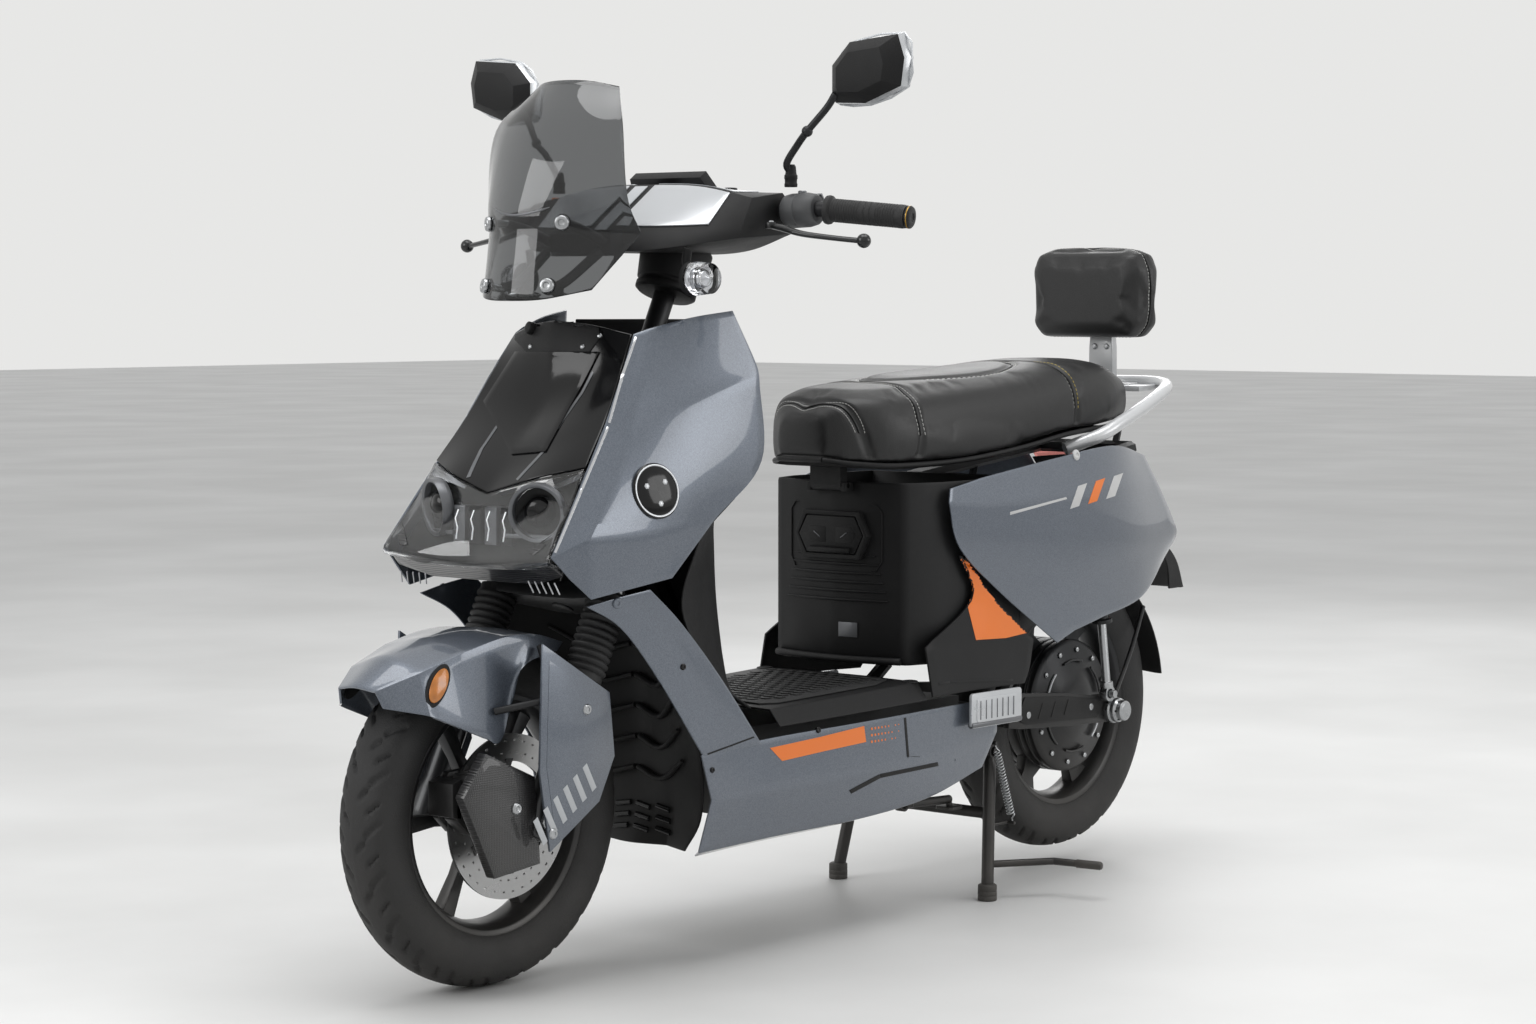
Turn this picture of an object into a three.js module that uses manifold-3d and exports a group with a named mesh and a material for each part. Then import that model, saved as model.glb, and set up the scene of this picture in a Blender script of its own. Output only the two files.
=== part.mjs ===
// Seated electric scooter on its centre stand, facing +X, in millimetres, +Z up.
// The origin lies on the ground, in the middle of the length and of the width.
import * as THREE from "three";
import { mergeVertices } from "three/addons/utils/BufferGeometryUtils.js";
import Module from "manifold-3d";

const wasm = await Module();
wasm.setup();

// Driving dimensions
const wheelbase = 1300;
const tyreRadius = 233.5;
const tyreHalfWidth = 45;
const wheelRoom = 16.5; // air round a tyre inside the bodywork
const bounceRoom = 33; // air that the fork's travel needs above the front tyre
const barHeight = 1000; // ground to the middle of the handlebar
const bodyHalfWidth = 200;
const tailLength = 330; // rear axle to the tip of the tail
const rearLift = 25; // the stand holds the rear tyre this far off the ground
const caster = THREE.MathUtils.degToRad(26);
const trail = 85;
const screenDistance = 250; // steering axis to the bodywork that turns with the bars
const wall = 3; // moulded panels
const seam = 3; // gap between neighbouring panels
const fit = 0.4; // gap between pieces that touch
const seating = 0.3; // gap where a panel's boss sits on what carries it
const cutOver = 6; // overrun of every cut
const roundSides = 12;
const smallSides = 8; // thin rods
const bossSides = 6; // bosses, bolts and straps
const wheelSides = 24;

// Places along, across and up the bodywork, each as shares of the driving dimensions.
// Station 0 is the front axle, 1 the back of the front wheel's room, 2 the front of the rear wheel's room.
const zone = tyreRadius + wheelRoom;
const bay = wheelbase - 2 * zone;
const tyreTop = 2 * tyreRadius + bounceRoom;
const frontAxleX = (wheelbase + tailLength - tyreRadius) / 2;
const rearAxleX = frontAxleX - wheelbase;
const rearAxleZ = tyreRadius + rearLift;

function station(share) {
  if (share < 1) return frontAxleX - share * zone;
  if (share < 2) return frontAxleX - zone - (share - 1) * bay;
  return frontAxleX - zone - bay - (share - 2) * zone;
}

function across(share) {
  return share * bodyHalfWidth;
}

function level(share) {
  if (share < 1) return share * tyreTop;
  return tyreTop + (share - 1) * (barHeight - tyreTop);
}

function at([along, side, up]) {
  return [station(along), across(side), level(up)];
}

// The steering axis leans back by the caster and meets the ground one trail ahead of the front axle.
function steeringAxisX(z) {
  return frontAxleX + trail - z * Math.tan(caster);
}

// A place on the bodywork that turns with the bars: how far ahead of the steering axis, how far out, how high.
function onBar([ahead, side, up]) {
  const z = level(up);
  return [steeringAxisX(z) + ahead * screenDistance, across(side), z];
}

// Colours from the photograph
function paint(color, roughness, metalness) {
  return new THREE.MeshStandardMaterial({ color, roughness, metalness });
}

const finishes = {
  slate: paint(0x5d6b7c, 0.35, 0.4),
  glossBlack: paint(0x0b0c0e, 0.15, 0.1),
  mattBlack: paint(0x1b1c1e, 0.7, 0),
  rubber: paint(0x151516, 0.85, 0),
  steel: paint(0xb9bcc0, 0.35, 0.9),
  frameBlack: paint(0x202225, 0.5, 0.5),
  aluminium: paint(0xa7abb0, 0.4, 0.9),
  silverPaint: paint(0xd5d8da, 0.35, 0.5),
  lens: paint(0xd9e3ea, 0.08, 0),
  tailLens: paint(0xd8a6a0, 0.15, 0),
  smoke: paint(0x8f979c, 0.08, 0),
  leather: paint(0x17181a, 0.6, 0),
  battery: paint(0x3a3d42, 0.6, 0.2),
};

// Closed geometries become solids, which can be joined and cut.
function solidOf(geometry) {
  geometry.deleteAttribute("normal");
  geometry.deleteAttribute("uv");
  const weld = 1e-3;
  const merged = mergeVertices(geometry, weld);
  const corners = merged.index.array;
  const kept = [];
  for (let i = 0; i < corners.length; i += 3) {
    const [a, b, c] = corners.slice(i, i + 3);
    if (a !== b && b !== c && c !== a) kept.push(a, b, c);
  }
  const vertProperties = new Float32Array(merged.attributes.position.array);
  const made = new wasm.Manifold(
    new wasm.Mesh({ numProp: 3, vertProperties, triVerts: new Uint32Array(kept) }),
  );
  if (made.volume() >= 0) return made;
  kept.reverse();
  return new wasm.Manifold(
    new wasm.Mesh({ numProp: 3, vertProperties, triVerts: new Uint32Array(kept) }),
  );
}

function joined(...solids) {
  return solids.reduce((whole, piece) => whole.add(piece));
}

function cut(solid, ...tools) {
  return tools.reduce((rest, tool) => rest.subtract(tool), solid);
}

function meshOf(name, solid, finish) {
  const { vertProperties, triVerts, numProp } = solid.getMesh();
  const geometry = new THREE.BufferGeometry();
  geometry.setAttribute("position", new THREE.BufferAttribute(vertProperties, numProp));
  geometry.setIndex(new THREE.BufferAttribute(triVerts, 1));
  geometry.computeVertexNormals();
  const mesh = new THREE.Mesh(geometry, finishes[finish]);
  mesh.name = name;
  return mesh;
}

// The same solid on both sides of the middle plane, as two meshes.
function mirroredMeshes(name, solid, finish) {
  const left = meshOf(name + "_left", solid, finish);
  const right = meshOf(name + "_right", solid, finish);
  right.scale.y = -1;
  return [left, right];
}

function bothSides(make) {
  return joined(make(1), make(-1));
}

function vector(point) {
  return new THREE.Vector3(...point);
}

function mixed(from, to, share) {
  return vector(from).lerp(vector(to), share).toArray();
}

function box(low, high) {
  const size = vector(high).sub(vector(low));
  const middle = vector(low).lerp(vector(high), 1 / 2);
  const geometry = new THREE.BoxGeometry(size.x, size.y, size.z);
  return solidOf(geometry.translate(middle.x, middle.y, middle.z));
}

// Turns a geometry that runs up Y from zero so that it runs from one point towards another.
function aligned(geometry, from, to) {
  const start = vector(from);
  const way = vector(to).sub(start).normalize();
  const turn = new THREE.Quaternion().setFromUnitVectors(new THREE.Vector3(0, 1, 0), way);
  geometry.applyQuaternion(turn);
  return geometry.translate(start.x, start.y, start.z);
}

function rod(from, to, radius, endRadius = radius, sides = roundSides) {
  const length = vector(from).distanceTo(vector(to));
  const geometry = new THREE.CylinderGeometry(endRadius, radius, length, sides);
  return solidOf(aligned(geometry.translate(0, length / 2, 0), from, to));
}

// Radius of a bore whose flats clear a rod of this radius, however far it turns.
function turningRoom(radius, sides = roundSides) {
  return radius / Math.cos(Math.PI / sides) + fit;
}

function turned(profile, from = [0, 0, 0], to = [0, 1, 0], sides = roundSides) {
  const points = profile.map(([radius, along]) => new THREE.Vector2(radius, along));
  return solidOf(aligned(new THREE.LatheGeometry(points, sides), from, to));
}

function sleeve(from, to, outer, inner, sides = roundSides) {
  const length = vector(from).distanceTo(vector(to));
  const profile = [[inner, 0], [outer, 0], [outer, length], [inner, length], [inner, 0]];
  return turned(profile, from, to, sides);
}

function rods(points, radius, sides = roundSides) {
  return joined(
    ...points.slice(1).map((point, i) => rod(points[i], point, radius, radius, sides)),
  );
}

function pipe(points, radius, sides, steps) {
  const path = new THREE.CatmullRomCurve3(points.map(vector), false, "centripetal");
  const ring = new THREE.Shape();
  for (let i = 0; i < sides; i++) {
    const turn = (2 * Math.PI * i) / sides;
    const corner = [radius * Math.cos(turn), radius * Math.sin(turn)];
    if (i === 0) ring.moveTo(...corner);
    else ring.lineTo(...corner);
  }
  return solidOf(new THREE.ExtrudeGeometry(ring, { steps, bevelEnabled: false, extrudePath: path }));
}

function extruded(outline, depth) {
  const shape = new THREE.Shape(outline.map((point) => new THREE.Vector2(...point)));
  return new THREE.ExtrudeGeometry(shape, { depth, bevelEnabled: false });
}

// An outline of [x, z] between two depths across.
function slabAcross(outline, right, left) {
  const geometry = extruded(outline, left - right).rotateX(Math.PI / 2);
  return solidOf(geometry.translate(0, left, 0));
}

// An outline of [y, z] between two places along.
function slabAlong(outline, rear, front) {
  const turn = new THREE.Matrix4().makeBasis(vector([0, 1, 0]), vector([0, 0, 1]), vector([1, 0, 0]));
  const geometry = extruded(outline, front - rear).applyMatrix4(turn);
  return solidOf(geometry.translate(rear, 0, 0));
}

// An outline of [x, y] between two heights.
function slabUp(outline, low, high) {
  return solidOf(extruded(outline, high - low).translate(0, 0, low));
}

// Half a row, from the left edge to the middle, becomes a whole row.
function wholeRow(half) {
  const other = half.slice(0, -1).reverse().map(([x, y, z]) => [x, -y, z]);
  return half.concat(other);
}

// A moulded panel: a grid of points on its outside, its edges drawn in, with an even wall behind it.
function panel(rows, inside, insets = {}, thickness = wall) {
  const { first = seam / 2, last = seam / 2, top = seam / 2, bottom = seam / 2 } = insets;
  const grid = rows.map((row) => row.map(vector));
  const rowCount = grid.length;
  const columnCount = grid[0].length;
  const draw = (point, neighbour, amount) => {
    point.add(neighbour.clone().sub(point).setLength(amount));
  };
  for (const row of grid) {
    draw(row[0], row[1], first);
    draw(row[columnCount - 1], row[columnCount - 2], last);
  }
  for (let j = 0; j < columnCount; j++) {
    draw(grid[0][j], grid[1][j], top);
    draw(grid[rowCount - 1][j], grid[rowCount - 2][j], bottom);
  }
  const normals = grid.map((row) => row.map(() => new THREE.Vector3()));
  for (let i = 0; i + 1 < rowCount; i++) {
    for (let j = 0; j + 1 < columnCount; j++) {
      const across1 = grid[i + 1][j + 1].clone().sub(grid[i][j]);
      const across2 = grid[i + 1][j].clone().sub(grid[i][j + 1]);
      const normal = across1.cross(across2).normalize();
      for (const [k, l] of [[i, j], [i + 1, j], [i, j + 1], [i + 1, j + 1]]) {
        normals[k][l].add(normal);
      }
    }
  }
  let agreement = 0;
  grid.forEach((row, i) =>
    row.forEach((point, j) => {
      agreement += point.clone().sub(vector(inside)).dot(normals[i][j].normalize());
    }),
  );
  const depth = agreement > 0 ? -thickness : thickness;
  const outer = grid.flat();
  const inner = outer.map((point, k) => point.clone().addScaledVector(normals.flat()[k], depth));
  return shell(outer, inner, rowCount, columnCount);
}

// Two grids of points, joined prism by prism, so that a wall which folds back on itself stays one clean solid.
function shell(outer, inner, rowCount, columnCount) {
  const index = (i, j) => i * columnCount + j;
  const prism = (ids) => {
    const points = [...ids.map((k) => outer[k]), ...ids.map((k) => inner[k])];
    const back = ids.length;
    const corners = [0, 1, 2, back + 2, back + 1, back];
    ids.forEach((id, here) => {
      const there = (here + 1) % back;
      if (id < ids[there]) corners.push(here, back + there, there, here, back + here, back + there);
      else corners.push(here, back + here, there, there, back + here, back + there);
    });
    return solidFrom(points, corners);
  };
  const prisms = [];
  for (let i = 0; i + 1 < rowCount; i++) {
    for (let j = 0; j + 1 < columnCount; j++) {
      const [a, b, c, d] = [index(i, j), index(i + 1, j), index(i + 1, j + 1), index(i, j + 1)];
      prisms.push(prism([a, b, c]), prism([a, c, d]));
    }
  }
  return joined(...prisms);
}

function solidFrom(points, corners) {
  const geometry = new THREE.BufferGeometry().setFromPoints(points);
  geometry.setIndex(corners);
  return solidOf(geometry);
}

// A solid through closed rings of points, with flat ends.
function loft(rings) {
  const points = rings.flat().map(vector);
  const count = rings[0].length;
  const corners = [];
  for (let i = 0; i + 1 < rings.length; i++) {
    for (let j = 0; j < count; j++) {
      const a = i * count + j;
      const b = i * count + ((j + 1) % count);
      corners.push(a, b, b + count, a, b + count, a + count);
    }
  }
  [0, rings.length - 1].forEach((end) => {
    const middle = new THREE.Vector3();
    for (let j = 0; j < count; j++) middle.addScaledVector(points[end * count + j], 1 / count);
    const hub = points.push(middle) - 1;
    for (let j = 0; j < count; j++) {
      const a = end * count + j;
      const b = end * count + ((j + 1) % count);
      if (end === 0) corners.push(hub, b, a);
      else corners.push(hub, a, b);
    }
  });
  return solidFrom(points, corners);
}

// A panel's boss and an arm of the frame meet face to face on the line from a place on the panel to the frame.
const bossRadius = 6;
const bossSink = 2.4; // the boss starts this far behind the panel's face
const strapRadius = 5;
const mountShare = {
  fairing: [[[0.84, 0.95, 1.38], [1.0019, 0, 1.38], 0.25]],
  nose: [[[0.5, 0, 1.57], [1.0269, 0, 1.462], 0.4]],
  headlight: [[[-0.01, 0, 1.25], [0.8306, 0, 1.2], 0.4]],
  legShield: [[[1.195, 0, 1.2], [1.0607, 0, 1.2], 0.5], [[1.1975, 0, 0.8], [1.1543, 0, 0.8], 0.28]],
  grille: [[[1.08, 0, 0.6], [1.159, 0, 0.6], 0.5]],
  lowerPanel: [[[1.1956, 0.8665, 0.54], [1.1956, 0.675, 0.54], 0.5], [[1.7043, 0.8433, 0.54], [1.7043, 0.675, 0.54], 0.5]],
  floor: [[[1.44, 0.675, 0.6995], [1.44, 0.675, 0.54], 0.7]],
  boxPost: [[[1.7479, 0.675, 0.759], [1.7479, 0.675, 0.54], 0.7]],
  boxRear: [[[1.9555, 0.5705, 1.2], [2.0354, 0.5705, 1.2], 0.54]],
  rearPanel: [[[2.8147, 0.8147, 1.33], [2.8147, 0.4993, 1.3207], 0.4]],
  tail: [[[3.76, 0, 1.24], [3.564, 0, 1.14], 0.45], [[4, 0, 1.025], [3.564, 0, 1.14], 0.45]],
  rack: [[[3.52, 0.3, 1.54], [3.4, 0.3, 1.36], 0.5]],
};
const strapShare = [1.6];

function sided([along, side, up], sign) {
  return at([along, sign * side, up]);
}

function boss([surface, root, split], sign = 1) {
  const from = sided(surface, sign);
  const to = sided(root, sign);
  const length = vector(from).distanceTo(vector(to));
  const start = mixed(from, to, bossSink / length);
  return rod(start, mixed(from, to, split - seating / length), bossRadius, bossRadius, bossSides);
}

function frameArms() {
  const middle = ["nose", "headlight", "legShield", "grille", "tail"];
  const twice = ["fairing", "lowerPanel", "floor", "boxPost", "boxRear", "rearPanel", "rack"];
  const arm = ([surface, root, split], sign) => {
    const from = sided(surface, sign);
    const to = sided(root, sign);
    return rod(mixed(from, to, split), to, bossRadius, bossRadius, bossSides);
  };
  return joined(
    ...middle.flatMap((name) => mountShare[name]).map((mount) => arm(mount, 1)),
    ...twice.flatMap((name) => mountShare[name]).map((mount) => bothSides((sign) => arm(mount, sign))),
    rods([at(seatRailShare[4]).with(1, 0), at(mountShare.tail[0][1])], bossRadius, bossSides),
  );
}

// Straps under the battery, hung from the floor rails
function batteryStrap(along) {
  const [x, side, top] = at([along, railShare.side, railShare.up]);
  const low = level(batteryShare.low) - strapRadius - seating;
  const inner = across(batteryShare.side) + strapRadius + 2 * fit;
  const half = [[x, side, top], [x, inner, low]];
  return rods([...half, ...half.slice().reverse().map(([, y, z]) => [x, -y, z])], strapRadius, bossSides);
}

// Main frame: head tube, down tube, floor rails, seat rails and the ears that carry the stand and swingarm
const stemRadius = 16;
const headTubeWall = 10;
const railRadius = 11;
const downTubeRadius = 17;
const pivotPinRadius = 8;
const standPinRadius = 7;
const earThickness = 7;
const headTubeShare = { low: 1.13, high: 1.59 };
const railShare = { front: 1.17, rear: 1.875, side: 0.675, up: 0.54 };
const pivotShare = { along: 1.9375, up: 0.54, earSide: 0.47 };
const standShare = { along: 1.906, up: 0.45, earSide: 0.535 };
const shockTopShare = [2.735, 0.56, 1.15];
const swingSideShare = 0.56;
const swingSide = across(swingSideShare);
const swingThicknessShare = 0.07;
const swingThickness = across(swingThicknessShare);
const shockEyeGap = 1; // between the swingarm and the shock's eye
const downTubeShare = [[0, 0, 1.32], [1.15, 0, 0.98], [railShare.front, 0, railShare.up]];
const seatRailShare = [[1.865, 0.675, 0.54], [1.975, 0.62, 0.68], [2.0, 0.6, 1.1], [2.06, 0.55, 1.27], [3.4, 0.46, 1.355]];
const batteryShare = { front: 1.213, rear: 1.838, side: 0.52, low: 0.37, high: 0.63 };
const boxShare = { front: 1.639, shoulder: 1.715, rear: 1.9625, frontSide: 0.62, side: 0.73, low: 0.75, high: 1.296 };

function steeringPoint(up) {
  const z = level(up);
  return [steeringAxisX(z), 0, z];
}

function ear(place, side, toward) {
  const [x, , z] = place;
  const half = standPinRadius + railRadius / 2;
  const outline = [
    [x - half, z - half],
    [x + half, z - half],
    [toward[0] + railRadius / 2, toward[2]],
    [toward[0] - railRadius / 2, toward[2] + railRadius / 2],
    [x - half, z + half],
  ];
  return slabAcross(outline, side, side + earThickness);
}

function mainFrame() {
  const head = sleeve(
    steeringPoint(headTubeShare.low),
    steeringPoint(headTubeShare.high),
    stemRadius + headTubeWall,
    turningRoom(stemRadius),
  );
  const headMiddle = steeringPoint((headTubeShare.low + headTubeShare.high) / 2);
  const downPoints = [headMiddle, ...downTubeShare.slice(1).map(at)];
  const bore = rod(
    steeringPoint(headTubeShare.low),
    steeringPoint(headTubeShare.high),
    turningRoom(stemRadius),
  );
  const downTube = cut(joined(rods(downPoints, downTubeRadius, smallSides), frameArms()), bore);
  const crossAt = ([along, side, up]) =>
    rod(at([along, side, up]), at([along, -side, up]), railRadius, railRadius, bossSides);
  const crosses = [
    [railShare.front, railShare.side, railShare.up],
    [railShare.rear, railShare.side, railShare.up],
    ...seatRailShare.slice(-2),
  ];
  const sides = bothSides((sign) => {
    const place = ([along, side, up]) => at([along, sign * side, up]);
    const floorRail = rod(
      place([railShare.front, railShare.side, railShare.up]),
      place([railShare.rear, railShare.side, railShare.up]),
      railRadius,
      railRadius,
      bossSides,
    );
    const seatRail = rods(seatRailShare.map(place), railRadius, bossSides);
    return joined(floorRail, seatRail, shockMount(sign));
  });
  const cross = at([railShare.rear, 0, railShare.up]);
  const pivot = at([pivotShare.along, 0, pivotShare.up]);
  const stand = at([standShare.along, 0, standShare.up]);
  const ears = bothSides((sign) => {
    const pivotSide = across(pivotShare.earSide);
    const standSide = across(standShare.earSide);
    const flip = (side) => (sign > 0 ? side : -side - earThickness);
    return joined(ear(pivot, flip(pivotSide), cross), ear(stand, flip(standSide), cross));
  });
  const pinEnd = across(standShare.earSide) + earThickness + standEyeWidth + 3 * fit + standPinHead;
  const pivotEnd = across(pivotShare.earSide) + earThickness;
  const pins = joined(
    rod([stand[0], -pinEnd, stand[2]], [stand[0], pinEnd, stand[2]], standPinRadius),
    rod([pivot[0], -pivotEnd, pivot[2]], [pivot[0], pivotEnd, pivot[2]], pivotPinRadius),
  );
  return joined(
    head,
    downTube,
    ...crosses.map(crossAt),
    sides,
    ears,
    pins,
    sideStandBracket(),
    standSpringPin(),
    ...strapShare.map(batteryStrap),
  );
}

// The shock's upper eye sits on a pin below the seat rail.
const shockPinRadius = 6;
const shockEyeRadius = 13;
const shockEyeWidth = 14;
const shockEyeSide = swingSide + swingThickness + shockEyeGap + shockEyeWidth / 2;
const shockHangerRadius = 7;

function shockMount(sign) {
  const [x, y, z] = at(shockTopShare);
  const [railX, railY, railZ] = mixed(at(seatRailShare[3]), at(seatRailShare[4]), 1 / 2);
  const eyeSide = shockEyeSide;
  const hanger = [[railX, sign * railY, railZ], [x, sign * (eyeSide - shockEyeWidth), z]];
  const drop = rods(hanger, shockHangerRadius, bossSides);
  const pin = rod([x, sign * y, z], [x, sign * (eyeSide + shockEyeWidth / 2), z], shockPinRadius, shockPinRadius, smallSides);
  return joined(drop, pin);
}

// Side stand pivot, below the left floor rail
const sideStandPinRadius = 5;
const sideStandShare = { along: 1.675, up: 0.32, bracketSide: 0.56, railSide: 0.675, eyeSide: 0.48 };
const sideStandEyeWidth = 15;
const bracketRadius = 6;

function sideStandBracket() {
  const share = sideStandShare;
  const bracketPoints = [
    at([share.along, share.railSide, railShare.up]),
    at([share.along, share.bracketSide, share.up]),
  ];
  const [x, , z] = bracketPoints[1];
  const pinEnd = across(share.eyeSide) - sideStandEyeWidth / 2 - sideStandPinRadius;
  const pin = rod(bracketPoints[1], [x, pinEnd, z], sideStandPinRadius);
  return joined(rods(bracketPoints, bracketRadius, bossSides), pin);
}

// Battery pack between the floor rails
function batteryPack() {
  const share = batteryShare;
  const bottomStep = wheelRoom;
  const low = level(share.low);
  const high = level(share.high);
  const side = across(share.side);
  const outline = [
    [-side + bottomStep, low],
    [side - bottomStep, low],
    [side, low + bottomStep],
    [side, high],
    [-side, high],
    [-side, low + bottomStep],
  ];
  return slabAlong(outline, station(share.rear), station(share.front));
}

// Storage box under the seat, open at the top, its front bulging towards the rider's feet
const boxBulge = 20;
const boxBulgeSideShare = 0.7;
const seatPinRadius = 4;
const seatEarWidth = 8;
const seatKnuckleRadius = 8;
const flapPocket = 5;
const flapThickness = 4;
const flapShare = [[0.32, 1.08], [0.22, 1.19], [-0.22, 1.19], [-0.32, 1.08], [-0.22, 1.08], [0.22, 1.08]];
const seatHingeShare = { side: 0.15, up: 1.286 };

function boxOutline(drawnIn = 0) {
  const share = boxShare;
  const front = station(share.front) - drawnIn;
  const shoulder = station(share.shoulder) - drawnIn / 2;
  const rear = station(share.rear) + drawnIn;
  const frontSide = across(share.frontSide) - drawnIn / 2;
  const side = across(share.side) - drawnIn;
  return [
    [front + boxBulge, 0],
    [front + boxBulge * boxBulgeSideShare, frontSide / 2],
    [front, frontSide],
    [shoulder, side],
    [rear, side],
    [rear, -side],
    [shoulder, -side],
    [front, -frontSide],
    [front + boxBulge * boxBulgeSideShare, -frontSide / 2],
  ];
}

function seatHingePoint() {
  const ahead = boxBulge + seatKnuckleRadius + 2 * fit;
  return [station(boxShare.front) + ahead, 0, level(seatHingeShare.up)];
}

function seatBox() {
  const low = level(boxShare.low);
  const high = level(boxShare.high);
  const shellOutside = slabUp(boxOutline(), low, high);
  const hollow = slabUp(boxOutline(wall), low + wall, high + cutOver);
  const hinge = seatHingePoint();
  const earSide = across(seatHingeShare.side);
  const earBlock = bothSides((sign) => {
    const notchLow = [
      station(boxShare.front) + boxBulge * boxBulgeSideShare - wall,
      Math.min(sign * earSide, sign * (earSide + seatEarWidth)),
      hinge[2] - seatKnuckleRadius,
    ];
    const notchHigh = [
      hinge[0] + seatPinRadius + wall,
      Math.max(sign * earSide, sign * (earSide + seatEarWidth)),
      hinge[2] + seatPinRadius,
    ];
    return box(notchLow, notchHigh);
  });
  const pin = rod([hinge[0], -earSide - seatEarWidth, hinge[2]], [hinge[0], earSide + seatEarWidth, hinge[2]], seatPinRadius);
  const feet = bothSides((sign) => joined(boss(mountShare.boxPost[0], sign), boss(mountShare.boxRear[0], sign)));
  return joined(cut(joined(shellOutside, earBlock), hollow), pin, flapFrame(), feet);
}

// Hexagonal charge flap on the box's front, hinged along its lower edge
const flapHalfWidth = 62;
const flapPoint = flapHalfWidth / 4;
const flapHalfHeight = 28;
const flapPinRadius = 2.5;
const flapFrameWidth = 8;
const flapLevelShare = 1.135;

function flapOutline(grow) {
  const half = flapHalfWidth + grow;
  const tall = flapHalfHeight + grow;
  const z = level(flapLevelShare);
  return [
    [half, z],
    [half - flapPoint, z + tall],
    [-half + flapPoint, z + tall],
    [-half, z],
    [-half + flapPoint, z - tall],
    [half - flapPoint, z - tall],
  ];
}

function flapPlane() {
  return station(boxShare.front) + boxBulge + fit;
}

function flapHinge() {
  const knuckle = flapPinRadius + fit + flapThickness / 2;
  return [flapPlane() + knuckle + fit, 0, level(flapLevelShare) - flapHalfHeight + knuckle];
}

function flapFrame() {
  const plane = flapPlane();
  const front = plane + flapThickness;
  const ring = cut(
    slabAlong(flapOutline(flapFrameWidth), station(boxShare.front), front),
    slabAlong(flapOutline(fit + fit), plane - fit, front + cutOver),
  );
  const [x, , z] = flapHinge();
  const end = flapHalfWidth - flapPoint;
  const stubs = bothSides((sign) =>
    joined(
      rod([x, sign * (end + flapFrameWidth), z], [x, sign * (end - flapPocket), z], flapPinRadius),
      rod([plane - wall, sign * (end + flapFrameWidth), z], [x + flapPinRadius, sign * (end + flapFrameWidth), z], flapPocket),
    ),
  );
  return cut(joined(ring, stubs), box(
    [station(boxShare.rear), -flapHalfWidth - flapFrameWidth - cutOver, z - flapHalfHeight],
    [station(boxShare.front) - wall / 2, flapHalfWidth + flapFrameWidth + cutOver, level(boxShare.high)],
  ));
}

function chargeFlap() {
  const plane = flapPlane() + fit / 2;
  const [x, , z] = flapHinge();
  const end = flapHalfWidth - flapPoint - flapPocket - fit;
  const knuckle = sleeve([x, -end, z], [x, end, z], flapPinRadius + fit + flapThickness / 2, flapPinRadius + fit);
  const plate = slabAlong(flapOutline(0), plane, plane + flapThickness);
  const notch = bothSides((sign) =>
    box(
      [plane - cutOver, Math.min(sign * end, sign * (end + 2 * flapFrameWidth)), z - flapHalfHeight],
      [plane + flapThickness + cutOver, Math.max(sign * end, sign * (end + 2 * flapFrameWidth)), z + flapPocket + fit],
    ),
  );
  const lift = rod([x, -end - cutOver, z], [x, end + cutOver, z], flapPinRadius + fit);
  const foot = box([plane - cutOver, -flapHalfWidth, z - flapHalfHeight], [plane + flapThickness + cutOver, flapHalfWidth, z]);
  return joined(cut(plate, notch, lift, foot), knuckle);
}

// Body panels. Each table holds shares of the driving dimensions, rows from the top down, points from the front back.
const bodyMiddleShare = [1.5, 0, 1];
const fairingShare = [
  [[0.724, 0.56, 1.752], [0.82, 0.605, 1.768], [1.0225, 0.71, 1.798], [1.1025, 0.8, 1.816]],
  [[0.56, 0.62, 1.63], [0.64, 0.7, 1.616], [1.006, 0.83, 1.636], [1.1275, 0.92, 1.676]],
  [[0.412, 0.665, 1.518], [0.484, 0.76, 1.48], [0.96, 0.88, 1.562], [1.13, 0.95, 1.636]],
  [[0.12, 0.74, 1.328], [0.28, 0.85, 1.32], [0.84, 0.95, 1.38], [1.125, 0.99, 1.4]],
  [[-0.116, 0.795, 1.172], [0.112, 0.89, 1.22], [0.6, 0.96, 1.22], [1.006, 0.98, 1.248]],
  [[0.008, 0.825, 1.112], [0.132, 0.87, 1.054], [0.412, 0.92, 1.076], [0.692, 0.955, 1.096]],
];
const noseShare = [
  [[0.724, 0.56, 1.752], [0.64, 0.28, 1.778], [0.58, 0, 1.79]],
  [[0.56, 0.62, 1.63], [0.52, 0.31, 1.6], [0.5, 0, 1.57]],
  [[0.412, 0.665, 1.518], [0.31, 0.34, 1.47], [0.228, 0, 1.424]],
  [[0.22, 0.715, 1.4], [0.1, 0.39, 1.37], [0.052, 0, 1.326]],
];
const headlightShare = [
  [[0.22, 0.715, 1.4], [0.1, 0.39, 1.37], [0.052, 0, 1.326]],
  [[0.09, 0.745, 1.3], [0.03, 0.4, 1.28], [-0.01, 0, 1.25]],
  [[-0.116, 0.795, 1.172], [-0.1, 0.42, 1.172], [-0.06, 0, 1.166]],
  [[-0.03, 0.81, 1.14], [-0.1, 0.42, 1.13], [-0.07, 0, 1.125]],
];
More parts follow.
